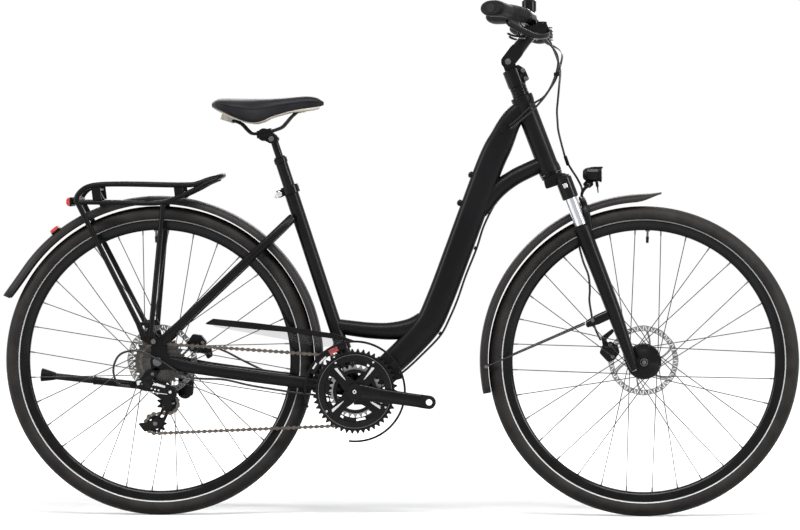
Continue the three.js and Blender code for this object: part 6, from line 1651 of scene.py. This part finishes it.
lowers.painted(satin).add(sweep([on_side(p) for p in TONGUE], TONGUE_SIZES, 16, 12, 6))
lowers.riding("lowers", "fork_lowers", slot="frame_black", bevel=0.6)
print("fork lowers", len(made))

# %% [markdown]
# The headlight is a short drum that is nearly square in front. Lofting rounded squares along its axis gives
# the body, the rim and the ribbed glass, and it hangs on a small plate that can tilt.

# %% Headlight
LAMP_X, LAMP_Z = 987, 776
LAMP_SHAPE = [(-25.5, 6), (-24.6, 10), (-22, 13.4), (-18, 15.8), (-14, 17.2), (-9, 17.6), (-8.4, 18.6),
              (-2, 19), (7, 19.2), (7.8, 18.4), (8, 17)]
LAMP_NECK = [(6, 17.4), (15, 17.4), (15, 15)]
LAMP_RIM = [(12.4, 19.2), (17.6, 19.2), (17.6, 17), (12.4, 17)]
LAMP_GLASS = [(14, 16.6), (16.4, 16.6), (18.4, 15), (19.2, 9), (19.4, 3)]
LAMP_BRACKET = [(966, 746), (962, 754), (970, 764), (984, 764), (986, 752), (978, 745)]
LAMP_VISOR = [(985, 793), (1007, 793.6), (1007, 790), (985, 789)]


def drum(profile):
    """A body lofted forwards through rounded squares; the profile holds x and half the width."""
    up = Vector((0, 0, 1))
    rings = [(Vector((LAMP_X + x, 0, LAMP_Z)), 2 * r, 1.86 * r) for x, r in profile]
    return loft([ring_points(middle, ACROSS, up, wide, high, 56, 3.2) for middle, wide, high in rings])


lamp = Piece("head_lamp", finish=plastic)
lamp.add(drum(LAMP_SHAPE), drum(LAMP_NECK), drum(LAMP_RIM))
lamp.painted(lamp_glass).add(drum(LAMP_GLASS))
lamp.painted(steel).add(block(25, 2, 5.5, (LAMP_X - 3, -18.3, LAMP_Z + 8.6)))
lamp.painted(plastic)
lamp.add(rod((993, 0, 760), (995, 0, 748), 3.4, 20), rod((995, 0, 749), (996.5, 0, 734), 2, 16, 1.2))
lamp.add(cut(LAMP_BRACKET, 3, -4, 4), cut(LAMP_VISOR, 1, -15, 15))
lamp.painted(steel).add(bar(974, 752, -7, 7, 3, 20, 0.4), hex_head((974, -4, 752), (0, -1, 0), 4.6, 3))
lamp.riding("headlight", "headlight", slot="plastic", bevel=0.6)
print("front end", len(made))

# %% [markdown]
# ## Stem and handlebar
# The stem is in two parts: a collar clamped on the steerer by two bolts, and an arm that tilts on a pin and
# is locked. The bar is swept back and rises a little. Its grips widen into a rest for the palm.

# %% Stem base and arm
STEM_STACK = ((661, 668, 19.4), (668.3, 676, 19), (676.3, 683.7, 19.2))
STEM_YOKE = [(-14, 718), (14, 718), (14, 746), (-14, 746)]
STEM_EAR = [(8, 686), (31, 690), (30, 716), (19, 730), (8, 730)]
CHEEK = ((-15, -7), (-15, 7), (-6, 15.5), (30, 16.2), (40, 15), (40, -15), (30, -16.2), (-6, -15.5))
ARM_BODY = [(30, 40, 31), (38, 41, 31.5), (60, 40, 30), (84, 42, 33), (92, 43, 38)]
stem = Piece("stem_collar", STEER)
for low, high, radius in STEM_STACK:
    stem.add(upright(low, high, radius, edge=0.5))
stem.add(upright(684, 725.6, 20.7, 56, 1.2), cut(STEM_YOKE, 4, -13.2, 13.2))
for side in SIDES:
    stem.add(cut(STEM_EAR, 4, side * 1.4, side * 11))
stem.add(bar(0, STEM_PIVOT, -13.7, 13.7, 15.5, 48, 0.6))
stem.painted(steel)
for z in (694, 714):
    stem.add(bar(25, z, -12.6, 12.6, 3.4, 20), hex_head((25, -11, z), (0, -1, 0), 5.4, 4, 24))
    stem.add(turned([(2.2, -15.2), (4.6, -15.2), (4.6, -14.6), (2.2, -14.6)], 24, 25, z))
stem.riding("fork", "stem_base", bevel=0.9)

arm = Piece("stem_tilting_arm", COCKPIT)
reach = arm_reach.normalized()
beside = Vector((math.cos(ARM_LEAN), 0, -math.sin(ARM_LEAN)))
cheek = [reach * z + beside * x for z, x in CHEEK]
for side in SIDES:
    arm.add(cut([(point.x, point.z) for point in cheek], 9, side * 14.1, side * 20.5))
arm.add(loft([ring_points(reach * s, ACROSS, beside, w, d, 40, 3.4) for s, w, d in ARM_BODY]))
arm.add(bar(arm_reach.x, arm_reach.z, -22, 22, 21, 56, 1.4))
arm.painted(steel).add(bar(0, 0, -22.4, 22.4, 7, 32, 0.6), bar(0, 0, -23, 23, 3.4, 6))
for side in SIDES:
    for lift in (-13, 13):
        base = arm_reach + beside * 17 + reach * lift + Vector((0, side * 14, 0))
        arm.add(hex_head(base, beside, 4.2, 5, 20))
arm.riding("bars", "stem_arm", bevel=1)
print("stem", len(made))

# %% Handlebar
BAR_SHAPE = [(0, 0, 0), (0, 60, 0), (-2, 100, 8), (-9, 150, 21), (-42, 225, 30), (-86, 303, 37)]
BAR_THIN, BAR_THICK = 22.2, 31.8
BAR_SIZES = [(share, size, size) for share, size in ((0, BAR_THIN), (0.37, BAR_THIN), (0.44, BAR_THICK),
                                                     (0.56, BAR_THICK), (0.63, BAR_THIN), (1, BAR_THIN))]
bar_line = mirrored(reversed(BAR_SHAPE[1:]), RIGHT) + mirrored(BAR_SHAPE, LEFT)
handlebar = Piece("handlebar_tube", BARS)
handlebar.add(sweep(bar_line, BAR_SIZES, 32, 140, side=(1, 0, 0)))
handlebar.riding("bars", "handlebar")
print("handlebar", len(made))

# %% [markdown]
# A grip is one sweep that starts round and widens to a flat rest. Ribs go round its narrow part, each a
# short loft that reads its size from the same table, so it always stands half a millimetre proud.

# %% Grips
GRIP = [(-19, 176, 24.2), (-44, 228, 30.4), (-67, 267, 34), (-84, 293, 36.5), (-92, 306.5, 37.4)]
GRIP_SIZES = [(0, 29, 29), (0.03, 33, 33), (0.4, 33, 31), (0.55, 36, 30), (0.7, 45, 31), (0.84, 55, 35),
              (0.93, 59, 36.5), (0.98, 57, 34), (1, 51, 28)]
GRIP_STEPS, RIB_FROM, RIB_TO, RIB_EVERY = 60, 5, 34, 3
RIB = ((-1.6, -0.6), (-0.8, 1), (0.8, 1), (1.6, -0.6))
for side, word in NAMED_SIDES:
    grip = Piece(f"grip_{word}_rubber", BARS, soft_rubber)
    grip.add(sweep(mirrored(GRIP, side), GRIP_SIZES, 36, GRIP_STEPS, 2.2, side=(1, 0, 0)))
    line = smooth_line(mirrored(GRIP, side), GRIP_STEPS)
    for k in range(RIB_FROM, RIB_TO, RIB_EVERY):
        centre, along = line[k]
        wide = (Vector((1, 0, 0)) - along * along.x).normalized()
        deep = along.cross(wide)
        width, depth = read_table(GRIP_SIZES, k / GRIP_STEPS)
        rings = [(centre + along * s, width + r, depth + r) for s, r in RIB]
        grip.add(loft([ring_points(middle, wide, deep, w, d, 36, 2.2) for middle, w, d in rings]))
    end, out = line[-1]
    grip.painted(plastic).add(rod(end - out * 2, end + out * 1.2, 10.5, 40, edge=0.6))
    centre, along = line[1]
    grip.painted(satin).add(rod(centre - along * 3, centre + along * 6, 17.4, 40, edge=1))
    grip.riding("bars", f"grip_{word}", slot="rubber")
print("grips", len(made))

# %% [markdown]
# Each control joins a brake lever on a small hydraulic body, a shifter with its little window, and a thumb
# paddle below. The left and right ones are mirror images, so every point is given once, for the left, and
# turned over.

# %% Controls
CONTROL_AT = [(-7, 138, 18.4), (-18, 173, 24), (19, 137, 4), (19, 137, 12)]
MASTER = [(14, 112, 4), (24, 136, -4), (26, 160, -8)]
MASTER_SIZES = [(0, 16, 16), (0.12, 18.5, 18.5), (0.5, 23, 22), (1, 22, 20)]
HOUSING = [(34, -2), (30, 8), (-8, 2), (-34, -2), (-38, -14), (-10, -16), (26, -16)]
LEVER = [(34, 158, -12), (30, 184, -20), (8, 218, -23), (-24, 252, -11), (-47, 276, 2), (-57, 288, 9)]
LEVER_SIZES = [(0, 11, 13), (0.3, 10, 12), (0.7, 10, 13), (0.93, 11, 16), (0.98, 10, 13), (1, 6, 8)]
PADDLE = [(-24, 150, -21), (-38, 155, -21), (-50, 158, -18), (-58, 160, -14)]
PADDLE_SIZES = [(0, 14, 5), (0.5, 15, 5), (0.9, 24, 6), (0.97, 22, 5), (1, 16, 3)]
BRAKE_PIN, SHIFT_PIN = (34, 158), (-24, 150)


def pin_rod(pin, side, low, high, radius, sides, edge=0):
    """A round part about one of the two upright pins of a control."""
    x, y = pin[0], side * pin[1]
    return rod((x, y, low), (x, y, high), radius, sides, edge=edge)


for side, word in NAMED_SIDES:
    control = Piece(f"control_{word}_body", BARS)
    inner, outer, block_at, window_at = mirrored(CONTROL_AT, side)
    control.add(rod(inner, outer, 16, 40, edge=1.4))
    control.add(sweep(mirrored(MASTER, side), MASTER_SIZES, 32, 24, side=(1, 0, 0)))
    control.painted(plastic).add(cut(HOUSING, 6, side * 120, side * 168))
    control.add(block(22, 25, 15, block_at))
    control.painted(window_grey).add(block(15, 17, 2, window_at))
    control.painted(satin)
    control.add(pin_rod(BRAKE_PIN, side, -23, -20.4, 9, 36, 0.6),
                pin_rod(BRAKE_PIN, side, -3.6, -1, 9, 36, 0.6))
    control.painted(steel).add(pin_rod(BRAKE_PIN, side, -23.4, -0.6, 3, 20))
    control.add(pin_rod(SHIFT_PIN, side, -27, -12, 3.2, 20),
                pin_rod(SHIFT_PIN, side, -27, -24.3, 6.5, 28, 0.6))
    control.riding("bars", f"control_{word}", bevel=1.2)

    lever = Piece(f"brake_lever_{word}_blade", BARS)
    lever.add(sweep(mirrored(LEVER, side), LEVER_SIZES, 28, 48, 2.8, side=(1, 0, 0)))
    lever.add(pin_rod(BRAKE_PIN, side, -18, -6, 8, 36, 0.8))
    lever.riding(f"brake lever {word}", f"brake_lever_{word}")

    paddle = Piece(f"shift_paddle_{word}", BARS, plastic)
    paddle.add(sweep(mirrored(PADDLE, side), PADDLE_SIZES, 24, 30, 3))
    paddle.add(pin_rod(SHIFT_PIN, side, -23.5, -18.5, 8, 32, 0.6))
    paddle.riding(f"shift lever {word}", f"shift_lever_{word}", slot="plastic")
print("controls", len(made))

# %% [markdown]
# The bell is a small drum on a band round the bar. Its thumb lever flicks, so it is a piece of its own.

# %% Bell
BELL_X, BELL_Y = -10, -100
bell = Piece("bell_dome", BARS)
bell.add(rod((-1.8, BELL_Y + 5, 6), (-2.6, BELL_Y - 5, 8), 14.8, 40, edge=0.8))
bell.add(rod((BELL_X, BELL_Y, 34), (BELL_X, BELL_Y, 62), 16.2, 56, edge=3),
         block(22, 22, 16, (-8, BELL_Y, 26)))
bell.add(rod((BELL_X, BELL_Y, 61), (BELL_X, BELL_Y, 63), 9, 40, edge=0.8))
bell.riding("bars", "bell", slot="frame_black")
thumb = Piece("bell_thumb_lever", BARS, plastic)
thumb.add(block(6, 19.6, 3.6, (-6, -116.6, 34)))
thumb.riding("bell lever", "bell_lever", slot="plastic", bevel=1)
print("cockpit", len(made))

# %% [markdown]
# ## Cables
# Two housings leave the controls in one loose loop, meet in a clip in front of the head, and dive into the
# main tube. Each crosses two joints, so it is drawn in two halves, an upper one from the bar to the head and
# a lower one from the head to the main tube; both stay fixed where they are drawn.

# %% Cables
RIGHT_UPPER = [(872, -138, 1088.7), (876, -137, 1079), (889, -120, 1066), (903, -90, 1046), (906, -62, 1027),
               (903, -49, 1010), (900, -45, 1000)]
LEFT_UPPER = [(872, 138, 1088.7), (876, 137, 1079), (897, 112, 1068), (911, 60, 1058), (915, 0, 1046),
              (912, -36, 1027), (907, -42, 1009), (904, -42, 1000)]
RIGHT_LOWER = [(900, -45, 1000), (896, -42, 989), (886, -37.5, 968), (872, -33, 950), (852, -30.5, 937),
               (822, -28.5, 908), (797, -26.3, 886)]
LEFT_LOWER = [(904, -42, 1000), (899, -41.5, 988), (888, -39.5, 970), (875, -37, 951), (857, -35.5, 930),
              (826, -33.5, 901), (798, -31.6, 879)]
CABLE = 2.5
upper = Piece("cable_loop_high", finish=cable_skin)
upper.add(pipe(RIGHT_UPPER, CABLE, 16, 60), pipe(LEFT_UPPER, CABLE, 16, 80))
upper.painted(plastic).add(block(12, 13, 8, (902, -43.5, 1002)))
upper.bending("bars", "fork", (872, -100, 1086), (902, -44, 1012), "cable_loop_upper", slot="rubber")
lower = Piece("cable_loop_low", finish=cable_skin)
lower.add(pipe(RIGHT_LOWER, CABLE, 16, 60), pipe(LEFT_LOWER, CABLE, 16, 60))
lower.bending("fork", "frame", (902, -43, 996), (830, -30, 915), "cable_loop_lower", slot="rubber")
print("cable loops", len(made))

# %% [markdown]
# The front brake hose runs from the left control to the caliper. It crosses the steering and the fork's
# travel, so one smooth line is drawn and cut where the crown is; both halves stay fixed where they are drawn.

# %% Front brake hose
FRONT_HOSE = [(866, 101, 1101), (880, 90, 1090), (893, 72, 1065), (903, 54, 1040), (910, 42, 1012),
              (908, 30, 979), (905, 26, 945), (903, 24, 921), (904, 22, 899), (906, 20, 876), (911, 18, 854),
              (917, 20, 831), (924, 30, 808), (936, 38, 787), (951, 44, 763), (960, 46, 742), (957, 46, 714),
              (950, 46, 680), (949, 45.1, 640), (962, 45.1, 580), (975, 44.4, 545), (978, 43, 512),
              (977, 42.6, 489), (981, 42, 462), (985, 40, 440), (994, 38, 416), (1003, 38, 398)]
CROWN_HEIGHT = 921
whole = smooth_line(FRONT_HOSE, 240)
split = next(k for k, (point, along) in enumerate(whole) if point.z < CROWN_HEIGHT)
hose = Piece("front_hose_high", finish=cable_skin)
hose.add(pipe(None, CABLE, 16, line=whole[:split + 1]))
hose.bending("bars", "fork", (880, 80, 1085), (903, 26, 940), "front_brake_hose", slot="rubber")
hose = Piece("front_hose_low", finish=cable_skin)
hose.add(pipe(None, CABLE, 16, line=whole[split:]))
hose.painted(plastic).add(rod((921.5, 25, 817), (928.4, 34, 797), 4, 24, edge=0.6))
hose.bending("fork", "lowers", (905, 22, 900), (940, 43, 740), slot="rubber")
print("front hose", len(made))

# %% [markdown]
# Two cables run together under the main tube in small clips. At the bracket they part: the gear cable goes
# under the right chain stay and loops to the rear derailleur, and the brake hose follows the left stay to
# the caliper.

# %% Cables along the frame
TUBE_HOSE = [(860, 0, 779), (830, 0, 768), (801, 0, 753), (776, 0, 730), (757, 0, 699), (737, 0, 658),
             (721, 0, 608), (696, 0, 545), (677, 0, 490), (660, 0, 450), (641, 0, 413), (598, 0, 367),
             (558, 0, 330), (505, 0, 291), (455, 0, 257)]
HOSE_CLIPS = [(801, 755, 0.5), (719, 608, 1.2), (639, 414, 0.9)]
RIGHT_CABLE = [(455, -8, 257), (425, -24, 262), (380, -33, 272), (300, -42, 283), (209, -50, 298),
               (150, -53, 311), (70, -66, 318), (0, -90, 360), (-48, -92, 378), (-84, -92, 368),
               (-98, -90, 335), (-88, -86, 304), (-62, -78, 296)]
LEFT_HOSE = [(455, 8, 257), (425, 24, 262), (380, 36, 275), (300, 50, 298), (232, 59, 327), (180, 60, 352),
             (146, 57, 370), (118, 54, 381)]
held = Piece("frame_housings", finish=cable_skin)
held.add(pipe(TUBE_HOSE, CABLE, 16, 120), pipe(RIGHT_CABLE, CABLE, 16, 160), pipe(LEFT_HOSE, CABLE, 16, 100))
held.painted(plastic).add(block(26, 26, 9, TUBE_HOSE[-1]))
for x, z, tip in HOSE_CLIPS:
    held.add(block(8, 9, 8, (x, 0, z), tip))
held.riding("frame", "frame_cables", slot="rubber", bevel=0.6)
print("pieces", len(made), "faces", sum(len(obj.data.polygons) for obj in made))

# %% [markdown]
# ## Floor and backdrop
# The photograph is cut out on plain white. The floor is a broad pale sheet that keeps a soft shadow near
# the wheels and glows white further out. What the camera, a mirror or a glass sees is white, while the
# light that the object receives comes from a weaker grey sky, so the black paint stays black.

# %% Floor
FLOOR_X, FLOOR_Y = 9, 7
SHADOW_REACH, GLOW_FROM, GLOW_TO, GLOW_NEAR = 0.9, 0.3, 1.5, 0.2
sheet = bmesh.new()
floor_corners = ((-1, -1), (1, -1), (1, 1), (-1, 1))
sheet.faces.new([sheet.verts.new((x * FLOOR_X, y * FLOOR_Y, 0)) for x, y in floor_corners])
floor_mesh = bpy.data.meshes.new("floor")
sheet.to_mesh(floor_mesh)
sheet.free()
floor = bpy.data.objects.new("floor", floor_mesh)
bpy.context.collection.objects.link(floor)
pale = Finish("pale_floor", (0.9, 0.9, 0.9), 0.9, level=0.1)


def seen_rays(tree):
    """1 where the camera, a mirror or a glass looks, 0 for the light that the object receives."""
    rays = [finish_node(tree, "ShaderNodeLightPath", output=k) for k in (0, 3, 6)]
    return rays[0].most(rays[1]).most(rays[2])


looked_at = seen_rays(pale.tree)
pale.link("Base Color", pale.mix(looked_at, (0.22, 0.22, 0.22), (0.74, 0.74, 0.74)))
along, across = pale.parts()[:2]
away = across.size().most(along.size() - SHADOW_REACH)
glow = away.step(GLOW_FROM, GLOW_TO) * (1 - GLOW_NEAR) + GLOW_NEAR
pale.link("Emission Color", pale.mix(looked_at * glow, (0, 0, 0), (1, 1, 1)))
pale.set("Emission Strength", 1)
floor_mesh.materials.append(pale.material)
print("floor finish", pale.material.name)

# %% Sky
GREY_SKY, SKY_STRENGTH = (0.8, 0.82, 0.85, 1), 0.2
WHITE, WHITE_STRENGTH = (1, 1, 1, 1), 1
world = bpy.data.worlds.new("sky")
bpy.context.scene.world = world
world.use_nodes = True
sky = world.node_tree
grey = sky.nodes["Background"]
grey.inputs["Color"].default_value = GREY_SKY
grey.inputs["Strength"].default_value = SKY_STRENGTH
white = sky.nodes.new("ShaderNodeBackground")
white.inputs["Color"].default_value = WHITE
white.inputs["Strength"].default_value = WHITE_STRENGTH
choice = sky.nodes.new("ShaderNodeMixShader")
sky.links.new(seen_rays(sky).socket, choice.inputs[0])
sky.links.new(grey.outputs[0], choice.inputs[1])
sky.links.new(white.outputs[0], choice.inputs[2])
sky.links.new(choice.outputs[0], sky.nodes["World Output"].inputs["Surface"])
print("sky nodes", len(sky.nodes))
